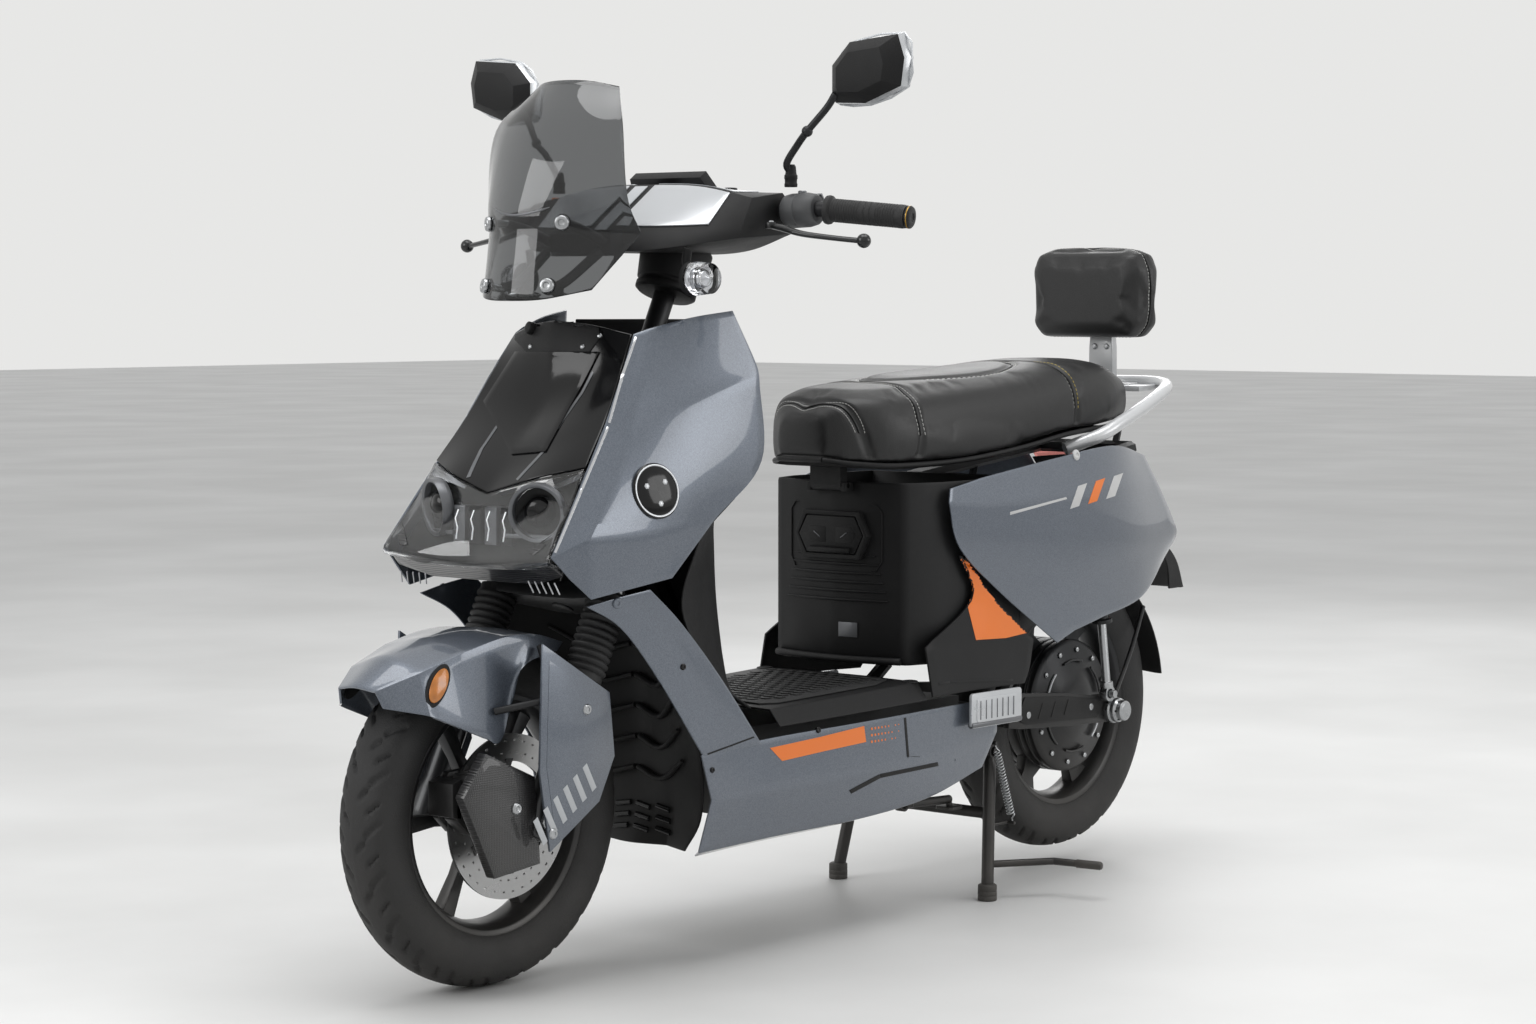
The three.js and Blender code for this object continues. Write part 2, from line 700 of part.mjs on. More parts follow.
const legShieldShare = [
  [[1.11, 0.74, 1.79], [1.144, 0.55, 1.79], [1.181, 0.3, 1.79], [1.194, 0, 1.79]],
  [[1.134, 0.86, 1.676], [1.1525, 0.625, 1.676], [1.185, 0.3, 1.676], [1.1975, 0, 1.676]],
  [[1.1325, 0.935, 1.4], [1.14, 0.675, 1.4], [1.1825, 0.325, 1.4], [1.1975, 0, 1.4]],
  [[0.96, 0.91, 1.2], [1.0625, 0.7, 1.2], [1.175, 0.35, 1.2], [1.195, 0, 1.2]],
  [[0.9, 0.81, 1.0], [1.05, 0.65, 1.0], [1.1775, 0.375, 1.0], [1.195, 0, 1.0]],
  [[1.065, 0.78, 0.8], [1.119, 0.625, 0.8], [1.1875, 0.4, 0.8], [1.1975, 0, 0.8]],
  [[1.165, 0.76, 0.7], [1.18, 0.6, 0.706], [1.194, 0.41, 0.71], [1.2, 0, 0.71]],
];
const legTrimShare = [
  [[0.144, 0.8, 1.036], [0.38, 0.835, 1.056], [0.61, 0.85, 1.07]],
  [[0.412, 0.8, 0.968], [0.64, 0.84, 0.97], [0.87, 0.85, 0.964]],
  [[0.672, 0.82, 0.83], [0.94, 0.85, 0.824], [1.065, 0.84, 0.796]],
  [[1.012, 0.845, 0.59], [1.0875, 0.855, 0.596], [1.165, 0.86, 0.6]],
];
const lowerPanelShare = [
  [[1.006, 0.84, 0.6], [1.175, 0.85, 0.618], [1.4375, 0.86, 0.624], [1.6875, 0.85, 0.63], [1.87, 0.8, 0.63]],
  [[1.0275, 0.86, 0.47], [1.2125, 0.88, 0.476], [1.4875, 0.88, 0.48], [1.7125, 0.84, 0.496], [1.87, 0.8, 0.524]],
  [[1.01, 0.8, 0.324], [1.2125, 0.81, 0.332], [1.4625, 0.81, 0.336], [1.6625, 0.8, 0.36], [1.83, 0.78, 0.42]],
  [[1.044, 0.64, 0.3], [1.2125, 0.62, 0.306], [1.45, 0.62, 0.312], [1.6375, 0.62, 0.332], [1.8, 0.63, 0.38]],
];
const grilleShare = [
  [[0.68, 0.76, 1.0], [1.031, 0.45, 1.0], [1.056, 0, 1.0]],
  [[0.88, 0.77, 0.8], [1.0375, 0.43, 0.8], [1.07, 0, 0.8]],
  [[1.02, 0.78, 0.6], [1.05, 0.4, 0.6], [1.08, 0, 0.6]],
  [[1.035, 0.74, 0.42], [1.06, 0.38, 0.42], [1.065, 0, 0.42]],
  [[1.04, 0.56, 0.31], [1.065, 0.3, 0.31], [1.05, 0, 0.31]],
];
const floorShare = [
  [[1.2125, 0.85, 0.642], [1.2125, 0.75, 0.69], [1.2125, 0.3, 0.694], [1.2125, 0, 0.694]],
  [[1.4375, 0.86, 0.648], [1.4375, 0.75, 0.698], [1.4375, 0.3, 0.702], [1.4375, 0, 0.702]],
  [[1.636, 0.86, 0.654], [1.636, 0.755, 0.708], [1.636, 0.3, 0.712], [1.636, 0, 0.712]],
];
const sideCoverShare = [
  [[1.757, 0.775, 1.075], [1.763, 0.78, 1.072], [1.769, 0.78, 1.065]],
  [[1.79, 0.785, 0.94], [1.826, 0.79, 0.938], [1.862, 0.795, 0.93]],
  [[1.647, 0.79, 0.808], [1.812, 0.815, 0.8], [1.99, 0.79, 0.79]],
  [[1.647, 0.83, 0.724], [1.812, 0.84, 0.724], [1.97, 0.81, 0.704]],
  [[1.647, 0.86, 0.66], [1.812, 0.86, 0.662], [1.95, 0.82, 0.658]],
];
const rearPanelShare = [
  [[1.717, 0.8, 1.28], [1.812, 0.82, 1.308], [2.12, 0.835, 1.352], [2.8, 0.8, 1.38], [3.4, 0.59, 1.336]],
  [[1.71, 0.81, 1.236], [1.812, 0.845, 1.22], [2.12, 0.88, 1.23], [2.84, 0.84, 1.244], [3.6, 0.58, 1.224]],
  [[1.74, 0.82, 1.098], [1.837, 0.85, 1.09], [2.2, 0.89, 1.09], [2.96, 0.84, 1.09], [3.8, 0.54, 1.12]],
  [[1.866, 0.815, 0.952], [1.937, 0.835, 0.956], [2.36, 0.87, 0.97], [3.08, 0.8, 0.99], [3.9, 0.5, 1.06]],
  [[2.216, 0.79, 0.766], [2.4, 0.8, 0.8], [2.68, 0.81, 0.83], [3.2, 0.76, 0.88], [3.8, 0.49, 1.0]],
];
const tailLightShare = [
  [[3.4, 0.55, 1.336], [3.48, 0.3, 1.345], [3.52, 0, 1.35]],
  [[3.6, 0.54, 1.224], [3.72, 0.29, 1.235], [3.76, 0, 1.24]],
  [[3.8, 0.5, 1.12], [3.93, 0.27, 1.13], [3.97, 0, 1.13]],
  [[3.9, 0.46, 1.06], [4.04, 0.25, 1.06], [4.08, 0, 1.06]],
];
const plateHolderShare = [
  [[3.86, 0.32, 1.035], [3.96, 0.3, 1.04], [3.98, 0, 1.04]],
  [[4.02, 0.3, 0.95], [4.16, 0.28, 0.96], [4.18, 0, 0.96]],
  [[4.1, 0.26, 0.86], [4.3, 0.24, 0.86], [4.32, 0, 0.86]],
];

function sidePanel(shares, insets, thickness) {
  return panel(shares.map((row) => row.map(at)), at(bodyMiddleShare), insets, thickness);
}

function middlePanel(shares, insets, insideShare = bodyMiddleShare, thickness = wall) {
  return panel(shares.map((row) => wholeRow(row.map(at))), at(insideShare), insets, thickness);
}

const mitre = wall + seam; // where two shells meet at a corner, one stops this far short
const cornerMitre = { first: mitre, last: mitre };
const legInsideShare = [0.9, 0, 1.2];
const floorInsideShare = [1.4, 0, 0.4];
const rearInsideShare = [2.8, 0, 1];

function legShield() {
  const skin = middlePanel(legShieldShare, cornerMitre, legInsideShare);
  return joined(skin, ...mountShare.legShield.map((mount) => boss(mount)));
}

function lowerGrille() {
  return joined(middlePanel(grilleShare, cornerMitre, floorInsideShare), boss(mountShare.grille[0]));
}

function floorboard() {
  const skin = middlePanel(floorShare, {}, floorInsideShare);
  return joined(skin, ...mountShare.floor.map((mount) => bothSides((sign) => boss(mount, sign))));
}

function rearPanel() {
  const skin = sidePanel(rearPanelShare, { last: mitre });
  return joined(skin, boss(mountShare.rearPanel[0]), boss(rearClipShare));
}

function tailLight() {
  const skin = middlePanel(tailLightShare, { first: 0, last: 0 }, rearInsideShare);
  return joined(skin, boss(mountShare.tail[0]));
}

function plateHolder() {
  const skin = middlePanel(plateHolderShare, {}, rearInsideShare, 2 * wall);
  return joined(skin, boss(mountShare.tail[1]));
}

function lowerPanel() {
  const trim = sidePanel(legTrimShare, { top: mitre, bottom: 0 });
  const side = sidePanel(lowerPanelShare, { top: 0 });
  return joined(trim, side, ...mountShare.lowerPanel.map((mount) => boss(mount)));
}

// Folding footpegs lie in a frame on each side cover.
const pegFrameShare = { front: 1.74, rear: 1.915, low: 0.54, high: 0.672, side: 0.875 };
const coverClipShare = [[1.812, 0.815, 0.8], [1.812, 0.73, 0.8], 1];
const rearClipShare = [[1.837, 0.85, 1.09], [1.837, 0.73, 1.09], 1];
const pegFrameWidth = 6;
const pegThickness = 9;
const pegPinRadius = 3;
const pegFrameDepth = 11;

function pegHinge() {
  const share = pegFrameShare;
  const z = level(share.low) + pegFrameWidth + pegThickness / 2 + 2 * fit;
  return [0, across(share.side) + pegFrameDepth / 2, z];
}

function sideCover() {
  const share = pegFrameShare;
  const cover = sidePanel(sideCoverShare, {});
  const rear = station(share.rear);
  const front = station(share.front);
  const side = across(share.side);
  const hinge = pegHinge();
  const frame = cut(
    box([rear, side, level(share.low)], [front, side + pegFrameDepth, level(share.high)]),
    box(
      [rear + pegFrameWidth, side - cutOver, level(share.low) + pegFrameWidth],
      [front - pegFrameWidth, side + pegFrameDepth + cutOver, level(share.high) - pegFrameWidth],
    ),
  );
  const bridge = box(
    [rear, side - 4 * wall, level(share.high) - pegFrameWidth],
    [front, side + wall, level(share.high)],
  );
  const stub = (end, inward) => rod([end, hinge[1], hinge[2]], [end + inward * 2 * pegFrameWidth, hinge[1], hinge[2]], pegPinRadius);
  const clip = boss(coverClipShare);
  return joined(cover, clip, frame, bridge, stub(rear + pegFrameWidth / 2, 1), stub(front - pegFrameWidth / 2, -1));
}

function footpeg() {
  const share = pegFrameShare;
  const rear = station(share.rear) + pegFrameWidth + 2 * fit;
  const front = station(share.front) - pegFrameWidth - 2 * fit;
  const [, y, z] = pegHinge();
  const plate = box(
    [rear, y - pegThickness / 2, z],
    [front, y + pegThickness / 2, level(share.high) - pegFrameWidth - 2 * fit],
  );
  const round = rod([rear, y, z], [front, y, z], pegThickness / 2);
  const bores = joined(
    rod([rear - cutOver, y, z], [rear + 2 * pegFrameWidth, y, z], pegPinRadius + fit),
    rod([front + cutOver, y, z], [front - 2 * pegFrameWidth, y, z], pegPinRadius + fit),
  );
  return cut(joined(plate, round), bores);
}

// Seat: a cushion on a pan that is hinged at its nose
const seatBottomRise = 8;
const seatPanThickness = 5;
const seatRingShare = [
  [1.5225, 0.22, 1.36, 1.5],
  [1.5625, 0.42, 1.34, 1.556],
  [1.6375, 0.6, 1.33, 1.574],
  [1.8125, 0.68, 1.335, 1.598],
  [2.0, 0.69, 1.364, 1.616],
  [2.5, 0.68, 1.4, 1.636],
  [3.0, 0.64, 1.42, 1.642],
  [3.34, 0.5, 1.45, 1.6],
];
const seatSectionShare = [
  [1, 0.04], [1.0, 0.3], [0.97, 0.66], [0.82, 0.9], [0.45, 0.985], [0, 1],
];
const seatChannel = 4; // depth of the seam that is sewn across the seat
const seatChannelShare = 0.45;

function seatRing([along, side, low, high], sink = 0) {
  const bottom = level(low) + seatBottomRise;
  const top = level(high) - sink;
  const half = seatSectionShare.map(([out, up]) => [
    station(along),
    across(side) * out,
    bottom + (top - bottom) * up,
  ]);
  const left = [[station(along), across(side) * 0.9, bottom], ...half];
  const right = left.slice(0, -1).reverse().map(([x, y, z]) => [x, -y, z]);
  return left.concat(right);
}

function betweenRings(first, second, share) {
  return first.map((value, i) => value + (second[i] - value) * share);
}

function seatCushion() {
  const rings = [];
  seatRingShare.forEach((ring, i) => {
    rings.push(seatRing(ring));
    if (i + 1 === seatRingShare.length) return;
    const next = seatRingShare[i + 1];
    const seamHere = i === 3;
    if (seamHere) rings.push(seatRing(betweenRings(ring, next, seatChannelShare - 1 / 16)));
    rings.push(seatRing(betweenRings(ring, next, 1 / 2), seamHere ? seatChannel : 0));
    if (seamHere) rings.push(seatRing(betweenRings(ring, next, 1 - seatChannelShare + 1 / 16)));
  });
  return loft(rings);
}

function seatPan() {
  const lidShare = 0.86;
  const rings = seatRingShare.slice(1, -1).map(([along, side, low]) => {
    const top = level(low) + seatBottomRise - fit;
    const y = across(side) * lidShare;
    const x = station(along);
    return [[x, y, top], [x, -y, top], [x, -y, top - seatPanThickness], [x, y, top - seatPanThickness]];
  });
  const hinge = seatHingePoint();
  const half = across(seatHingeShare.side) - fit;
  const knuckle = rod([hinge[0], -half, hinge[2]], [hinge[0], half, hinge[2]], seatKnuckleRadius);
  const panLow = level(seatRingShare[2][2]) + seatBottomRise - fit - seatPanThickness;
  const lug = box(
    [hinge[0] - seatKnuckleRadius, -half, hinge[2]],
    [hinge[0] + seatKnuckleRadius, half, panLow + seatPanThickness / 2],
  );
  const bore = rod([hinge[0], -half - cutOver, hinge[2]], [hinge[0], half + cutOver, hinge[2]], seatPinRadius + fit);
  return cut(joined(loft(rings), knuckle, lug), bore);
}

// Grab rail round the seat's tail, with the post that carries the backrest
const grabRadius = 11;
const grabSteps = 12;
const grabShare = [
  [2.55, 0.55, 1.368], [2.75, 0.72, 1.41], [2.95, 0.76, 1.452], [3.25, 0.735, 1.5],
  [3.6, 0.62, 1.548], [3.84, 0.36, 1.562], [3.88, 0, 1.564],
];
const grabFootShare = [[2.62, 0.5125, 1.36], [2.62, 0.5125, 1.3076], 0.538];
const shelfShare = { front: 3.44, rear: 3.88, frontSide: 0.5, rearSide: 0.3, low: 1.536, high: 1.56 };
const postShare = { along: 3.6, side: 0.12, low: 1.53, high: 1.75 };
const postThickness = 14;
const backrestShare = { along: 3.5, side: 0.56, low: 1.715, high: 2.005 };
const backrestThickness = 70;

function grabRail() {
  const left = grabShare.map(at);
  const points = left.concat(left.slice(0, -1).reverse().map(([x, y, z]) => [x, -y, z]));
  const rail = pipe(points, grabRadius, smallSides, grabSteps);
  const post = box(
    [station(postShare.along) - postThickness / 2, -across(postShare.side), level(postShare.low)],
    [station(postShare.along) + postThickness / 2, across(postShare.side), level(postShare.high)],
  );
  const shelf = slabUp(
    [
      [station(shelfShare.front), -across(shelfShare.frontSide)],
      [station(shelfShare.rear), -across(shelfShare.rearSide)],
      [station(shelfShare.rear), across(shelfShare.rearSide)],
      [station(shelfShare.front), across(shelfShare.frontSide)],
    ],
    level(shelfShare.low),
    level(shelfShare.high),
  );
  const feet = bothSides((sign) => {
    const toward = sided(grabShare[1], sign);
    const foot = rod(sided(grabFootShare[0], sign), toward, grabRadius - wall, grabRadius - wall, smallSides);
    return joined(foot, boss(grabFootShare, sign), boss(mountShare.rack[0], sign));
  });
  return joined(rail, post, shelf, feet);
}

function backrestPad() {
  const share = backrestShare;
  const sectionShare = [[-0.5, 0.78], [-0.3, 0.94], [0.1, 1], [0.42, 0.92], [0.5, 0.74]];
  const levelsShare = [[0, 0.8, 0.72], [0.12, 0.95, 0.94], [0.5, 1, 1], [0.85, 0.95, 0.92], [1, 0.8, 0.66]];
  const middle = station(share.along);
  const rings = levelsShare.map(([up, wide, deep]) => {
    const z = level(share.low) + (level(share.high) - level(share.low)) * up;
    const half = sectionShare.map(([ahead, out]) => [
      middle + ahead * deep * backrestThickness,
      across(share.side) * out * wide,
      z,
    ]);
    return half.concat(half.slice().reverse().map(([x, y, h]) => [x, -y, h]));
  });
  const slot = box(
    [station(postShare.along) - postThickness / 2 - fit, -across(postShare.side) - fit, level(share.low) - cutOver],
    [station(postShare.along) + postThickness / 2 + fit, across(postShare.side) + fit, level(postShare.high) + fit],
  );
  return cut(loft(rings), slot);
}

// Wheels, each about its own axle, which runs along Y
const beadShare = 0.698;
const beadRadius = beadShare * tyreRadius;
const tyreWall = 8;
const wheelStart = [0, 0, 0];
const wheelWay = [0, 1, 0];
const axleRadius = 8;
const hubHalfWidth = 48;
const hubShare = 0.1713;
const hubRadius = hubShare * tyreRadius;
const rimDepth = 13;
const spokeWidth = 24;
const spokeThickness = 20;
const spokeCount = 6;
const discShare = 0.4754;
const discRadius = discShare * tyreRadius;
const discBoreShare = 0.1285;
const discBore = discBoreShare * tyreRadius;
const discThickness = 4;
const discHoleRadius = 5;
const discHoleCount = 6;
const discBoltRadius = 5;
const motorShare = 0.4625;
const motorRadius = motorShare * tyreRadius;
const motorHalfWidth = 54;
const tyreSectionShare = [[0, 0.72], [0.45, 1], [0.84, 0.8], [1, 0.24]];

function tyre() {
  const section = (drawnIn, shares = tyreSectionShare) => {
    const half = shares.map(([up, out]) => [
      beadRadius + up * (tyreRadius - drawnIn - beadRadius),
      out * (tyreHalfWidth - drawnIn),
    ]);
    return half.concat(half.slice().reverse().map(([radius, side]) => [radius, -side]));
  };
  const outside = section(0);
  const inside = section(tyreWall, [tyreSectionShare[0], tyreSectionShare[2]]).reverse();
  const profile = [...outside, ...inside, outside[0]];
  return turned(profile, wheelStart, wheelWay, wheelSides);
}

function aroundAxle(count, radius, make) {
  const copies = [];
  for (let i = 0; i < count; i++) {
    const turn = (2 * Math.PI * i) / count;
    copies.push(make([radius * Math.sin(turn), 0, radius * Math.cos(turn)], turn));
  }
  return joined(...copies);
}

function rimBarrel() {
  const outer = beadRadius - fit;
  const half = tyreSectionShare[0][1] * tyreHalfWidth;
  const inner = outer - rimDepth;
  const profile = [
    [outer, half],
    [inner, half - rimDepth / 4],
    [inner, -half + rimDepth / 4],
    [outer, -half],
    [outer, half],
  ];
  return turned(profile, wheelStart, wheelWay, wheelSides);
}

function spoke([x, , z], length, width) {
  const shape = box([-width / 2, -spokeThickness / 2, 0], [width / 2, spokeThickness / 2, length]);
  const turn = THREE.MathUtils.radToDeg(Math.atan2(x, z));
  return shape.rotate([0, turn, 0]);
}

function frontRim() {
  const hub = sleeve([0, -hubHalfWidth, 0], [0, hubHalfWidth, 0], hubRadius, axleRadius + fit);
  const bore = rod([0, -hubHalfWidth, 0], [0, hubHalfWidth, 0], axleRadius + fit);
  const length = beadRadius - rimDepth + fit;
  const spokes = aroundAxle(spokeCount, 1, (way) => spoke(way, length, spokeWidth));
  return joined(rimBarrel(), cut(spokes, bore), hub);
}

function brakeDisc() {
  const low = hubHalfWidth + fit;
  const high = low + discThickness;
  const ring = sleeve([0, low, 0], [0, high, 0], discRadius, discBore, wheelSides);
  const holeCircle = (discRadius + hubRadius + hubRadius / 2) / 2;
  const hole = ([x, , z]) => rod([x, low - cutOver, z], [x, high + cutOver, z], discHoleRadius, discHoleRadius, bossSides);
  const bolt = ([x, , z]) => rod([x, low + fit, z], [x, high + discThickness, z], discBoltRadius, discBoltRadius, bossSides);
  const bolts = aroundAxle(spokeCount, (hubRadius + discBore) / 2, bolt);
  return joined(cut(ring, aroundAxle(discHoleCount, holeCircle, hole)), bolts);
}

function rearHubMotor() {
  const half = motorHalfWidth;
  const profile = [
    [axleRadius + fit, half],
    [motorRadius / 2, half],
    [motorRadius, half - half / 4],
    [motorRadius, -half + half / 4],
    [motorRadius / 2, -half],
    [axleRadius + fit, -half],
    [axleRadius + fit, half],
  ];
  const drum = turned(profile, wheelStart, wheelWay, wheelSides / 2);
  const length = beadRadius - rimDepth + fit;
  const bore = rod([0, -half, 0], [0, half, 0], motorRadius - half / 4);
  const spokes = cut(aroundAxle(spokeCount, 1, (way) => spoke(way, length, 2 * spokeWidth)), bore);
  return joined(rimBarrel(), spokes, drum);
}

// Fork, in a frame at the front axle whose Z runs up along the legs
const forkOffset = tyreRadius * Math.sin(caster) - trail * Math.cos(caster);
const forkTravel = 60;
const legRadius = 22;
const legSideShare = 0.52;
const legSide = across(legSideShare);
const legFoot = 28; // leg below the axle
const stanchionRadius = 14;
const stanchionOverlap = 110;
const fenderGap = 8;
const yokeThickness = 30;
const yokeHeight = tyreRadius + forkTravel + wheelRoom + fenderGap + wall;
const legHeight = tyreRadius - wheelRoom + stemRadius / 8;
const axleNutRadius = 13;
const axleNutLength = 9;
const bootWall = 3;
const bootRibs = 8;
const bootRibDepth = 3;
const bootSides = 8;

function alongFork(z) {
  return (z - tyreRadius) / Math.cos(caster);
}

function forkLegs() {
  const boreFloor = yokeHeight - stanchionOverlap - forkTravel - legRadius - fit;
  const leg = (sign) => {
    const side = sign * legSide;
    const casting = rod([0, side, -legFoot], [0, side, legHeight], legRadius);
    const bore = rod([0, side, boreFloor], [0, side, legHeight + cutOver], stanchionRadius + fit);
    const spacer = rod([0, sign * (hubHalfWidth + fit), 0], [0, side, 0], axleRadius + 2 * fit);
    return joined(cut(casting, bore), spacer);
  };
  const axleEnd = legSide + legRadius;
  const axle = rod([0, -axleEnd, 0], [0, axleEnd, 0], axleRadius);
  const nut = (sign) => rod([0, sign * (axleEnd - legRadius / 2), 0], [0, sign * (axleEnd + axleNutLength), 0], axleNutRadius, axleNutRadius, bossSides);
  return joined(bothSides(leg), axle, bothSides(nut));
}

function steeringStem() {
  const top = alongFork(level(1.964)) + forkOffset * Math.tan(caster);
  const stem = rod([-forkOffset, 0, yokeHeight], [-forkOffset, 0, top], stemRadius);
  const clampRadius = legRadius + 2 * fit + bootWall;
  const yokeOutline = [
    [clampRadius, legSide + clampRadius / 2],
    [clampRadius / 2, legSide + clampRadius],
    [-clampRadius / 2, legSide + clampRadius],
    [-clampRadius, legSide + clampRadius / 2],
    [-forkOffset - stemRadius - headTubeWall, stemRadius + headTubeWall],
  ];
  const otherSide = yokeOutline.slice().reverse().map(([x, y]) => [x, -y]);
  const yoke = slabUp(yokeOutline.concat(otherSide), yokeHeight, yokeHeight + yokeThickness);
  const foot = yokeHeight - stanchionOverlap - legRadius;
  const stanchions = bothSides((sign) =>
    rod([0, sign * legSide, foot], [0, sign * legSide, yokeHeight + yokeThickness / 2], stanchionRadius),
  );
  const race = rod(
    [-forkOffset, 0, yokeHeight + yokeThickness],
    [-forkOffset, 0, headTubeFoot() - fit],
    stemRadius + headTubeWall / 2,
  );
  return joined(stem, yoke, stanchions, race);
}

function headTubeFoot() {
  const z = level(headTubeShare.low);
  return (z - tyreRadius - forkOffset * Math.sin(caster)) / Math.cos(caster) + forkOffset * Math.sin(2 * caster) / Math.cos(caster);
}

function bootBore() {
  return (legRadius + fit) / Math.cos(Math.PI / bootSides);
}

function bootOuterRadius() {
  return bootBore() + bootWall + bootRibDepth;
}

// Ribbed gaiter over the stanchion: two rings of eight points to a rib
function forkBoot(sign) {
  const low = legHeight - legRadius;
  const high = yokeHeight - fit;
  const inner = bootBore();
  const outer = inner + bootWall;
  const cuff = (high - low) / 8;
  const pitch = (high - low - 2 * cuff) / bootRibs;
  const profile = [[inner, low], [outer, low]];
  for (let rib = 0; rib < bootRibs; rib++) {
    const start = low + cuff + rib * pitch;
    profile.push([outer, start], [outer + bootRibDepth, start + pitch / 2]);
  }
  profile.push([outer, high - cuff], [outer, high], [inner, high], [inner, (low + high) / 2], [inner, low]);
  const side = sign * legSide;
  return turned(profile, [0, side, 0], [0, side, 1], bootSides);
}

// Front fender: angle round the wheel, radius as a share of the tyre's, and distance out
const fenderShare = [
  [[37, 1.16, 0.2], [39.5, 1.25, 0.17], [39.5, 1.28, 0]],
  [[41, 1.0, 0.44], [50, 1.16, 0.32], [52, 1.225, 0]],
  [[55, 0.6, 0.45], [66, 1.08, 0.38], [68, 1.125, 0]],
  [[66, 0.52, 0.45], [82, 1.055, 0.39], [84, 1.075, 0]],
  [[86, 0.85, 0.44], [96, 1.05, 0.385], [98, 1.066, 0]],
  [[108, 0.98, 0.375], [111, 1.045, 0.35], [112, 1.066, 0]],
];
const guardShare = [[0.09, 1.02], [-0.45, 0.7], [-0.49, 0.33], [-0.36, 0.08], [0.04, -0.16], [0.12, 0.3]];
const fenderArmShare = [[0.27, 0.64], [0.05, 0.7]];
const fenderHoldShare = [0.2, 0.72];
const guardThickness = 4;
const guardBoltRadius = 6;

function frontFender() {
  const upright = ([angle, radius, out]) => {
    const turn = THREE.MathUtils.degToRad(angle);
    return toFork([radius * tyreRadius * Math.cos(turn), across(out), radius * tyreRadius * Math.sin(turn)]);
  };
  const rows = fenderShare.map((row) => wholeRow(row.map(upright)));
  const skin = panel(rows, [0, 0, 0], { first: 0, last: 0, top: 0, bottom: 0 });
  const guards = bothSides((sign) => {
    const low = legSide + bootOuterRadius() + fit;
    const outline = guardShare.map(([x, z]) => {
      const [u, , w] = toFork([x * tyreRadius, 0, z * tyreRadius]);
      return [u, w];
    });
    const from = sign > 0 ? low : -low - guardThickness;
    const plate = slabAcross(outline, from, from + guardThickness);
    const place = ([x, z], side) => toFork([x * tyreRadius, sign * side, z * tyreRadius]);
    const arm = rod(
      place(fenderArmShare[0], across(fenderShare[3][0][2]) - wall / 2),
      place(fenderArmShare[1], low + guardThickness / 2),
      guardBoltRadius,
      guardBoltRadius,
      bossSides,
    );
    const skirt = place(fenderHoldShare, across(fenderShare[3][0][2]) - wall / 2);
    const hold = rod(skirt, [0, sign * legSide, skirt[2]], guardBoltRadius, guardBoltRadius, bossSides);
    const legRoom = rod(
      [0, sign * legSide, -legFoot - cutOver],
      [0, sign * legSide, legHeight + cutOver],
      legRadius + fit,
    );
    const nutRoom = rod([0, sign * legSide, 0], [0, sign * (low + 2 * axleNutRadius), 0], axleNutRadius + 2 * fit);
    return cut(joined(plate, arm, hold), legRoom, nutRoom);
  });
  return joined(skin, guards);
}

// From upright axes at the axle to the fork's own, which lean back by the caster
function toFork([x, y, z]) {
  return [
    x * Math.cos(caster) + z * Math.sin(caster),
    y,
    -x * Math.sin(caster) + z * Math.cos(caster),
  ];
}

function fromFork([x, y, z]) {
  return [
    x * Math.cos(caster) - z * Math.sin(caster),
    y,
    x * Math.sin(caster) + z * Math.cos(caster),
  ];
}

// Brake caliper astride the disc, in front of the left fork leg, with its outer cover
const caliperShare = { rear: 0.2, front: 1.12, low: 0.12, high: 0.62 };
const caliperCoverShare = [[0.44, 0.43], [0.06, 0.26], [0.02, -0.24], [0.38, -0.28], [0.62, 0.2]];
const caliperGap = 1.5;
const caliperCheek = 11;
const coverThickness = 12;

function brakeCaliper() {
  const discLow = hubHalfWidth + fit;
  const discHigh = discLow + discThickness;
  const boltHigh = discHigh + discThickness;
  const share = caliperShare;
  const outerCheek = discHigh + caliperGap + caliperCheek;
  const body = box(
    [share.rear * discRadius + hubRadius, discLow - caliperGap - caliperCheek, share.low * discRadius],
    [share.front * discRadius, outerCheek, share.high * discRadius],
  );
  const slot = rod(
    [0, discLow - caliperGap, 0],
    [0, discHigh + caliperGap, 0],
    discRadius + caliperGap,
    discRadius + caliperGap,
    wheelSides,
  );
  const arm = box(
    [0, boltHigh + caliperGap, share.low * discRadius],
    [share.front * discRadius - caliperCheek, legSide, share.high * discRadius],
  );
  const coverLow = legSide - legRadius / 4;
  const outline = caliperCoverShare.map(([x, z]) => [x * tyreRadius, z * tyreRadius]);
  const cover = slabAcross(outline, coverLow, coverLow + coverThickness + legRadius / 2);
  const leg = rod(
    fromFork([0, legSide, -legFoot - cutOver]),
    fromFork([0, legSide, legHeight + cutOver]),
    legRadius + fit,
  );
  const nut = rod([0, legSide, 0], [0, legSide + legRadius + axleNutLength + cutOver, 0], axleNutRadius + fit);
  return cut(joined(cut(body, slot), arm, cover), leg, nut);
}

// Handlebar: a bent tube in a clamp on the stem
const barRadius = 11;
const clampWall = 6;
const gripRadius = 16;
const gripEndGap = 3;
const barEndLength = 8;
const barEndRadius = 15.5;
const clampShare = { low: 1.93, top: 1.97, below: 1.9 };
const barShare = [[0, 0, 2.008], [0.094, 0.55, 2.036], [0.157, 1.0, 2.084], [0.127, 1.325, 2.09], [-0.04, 1.94, 2.066]];

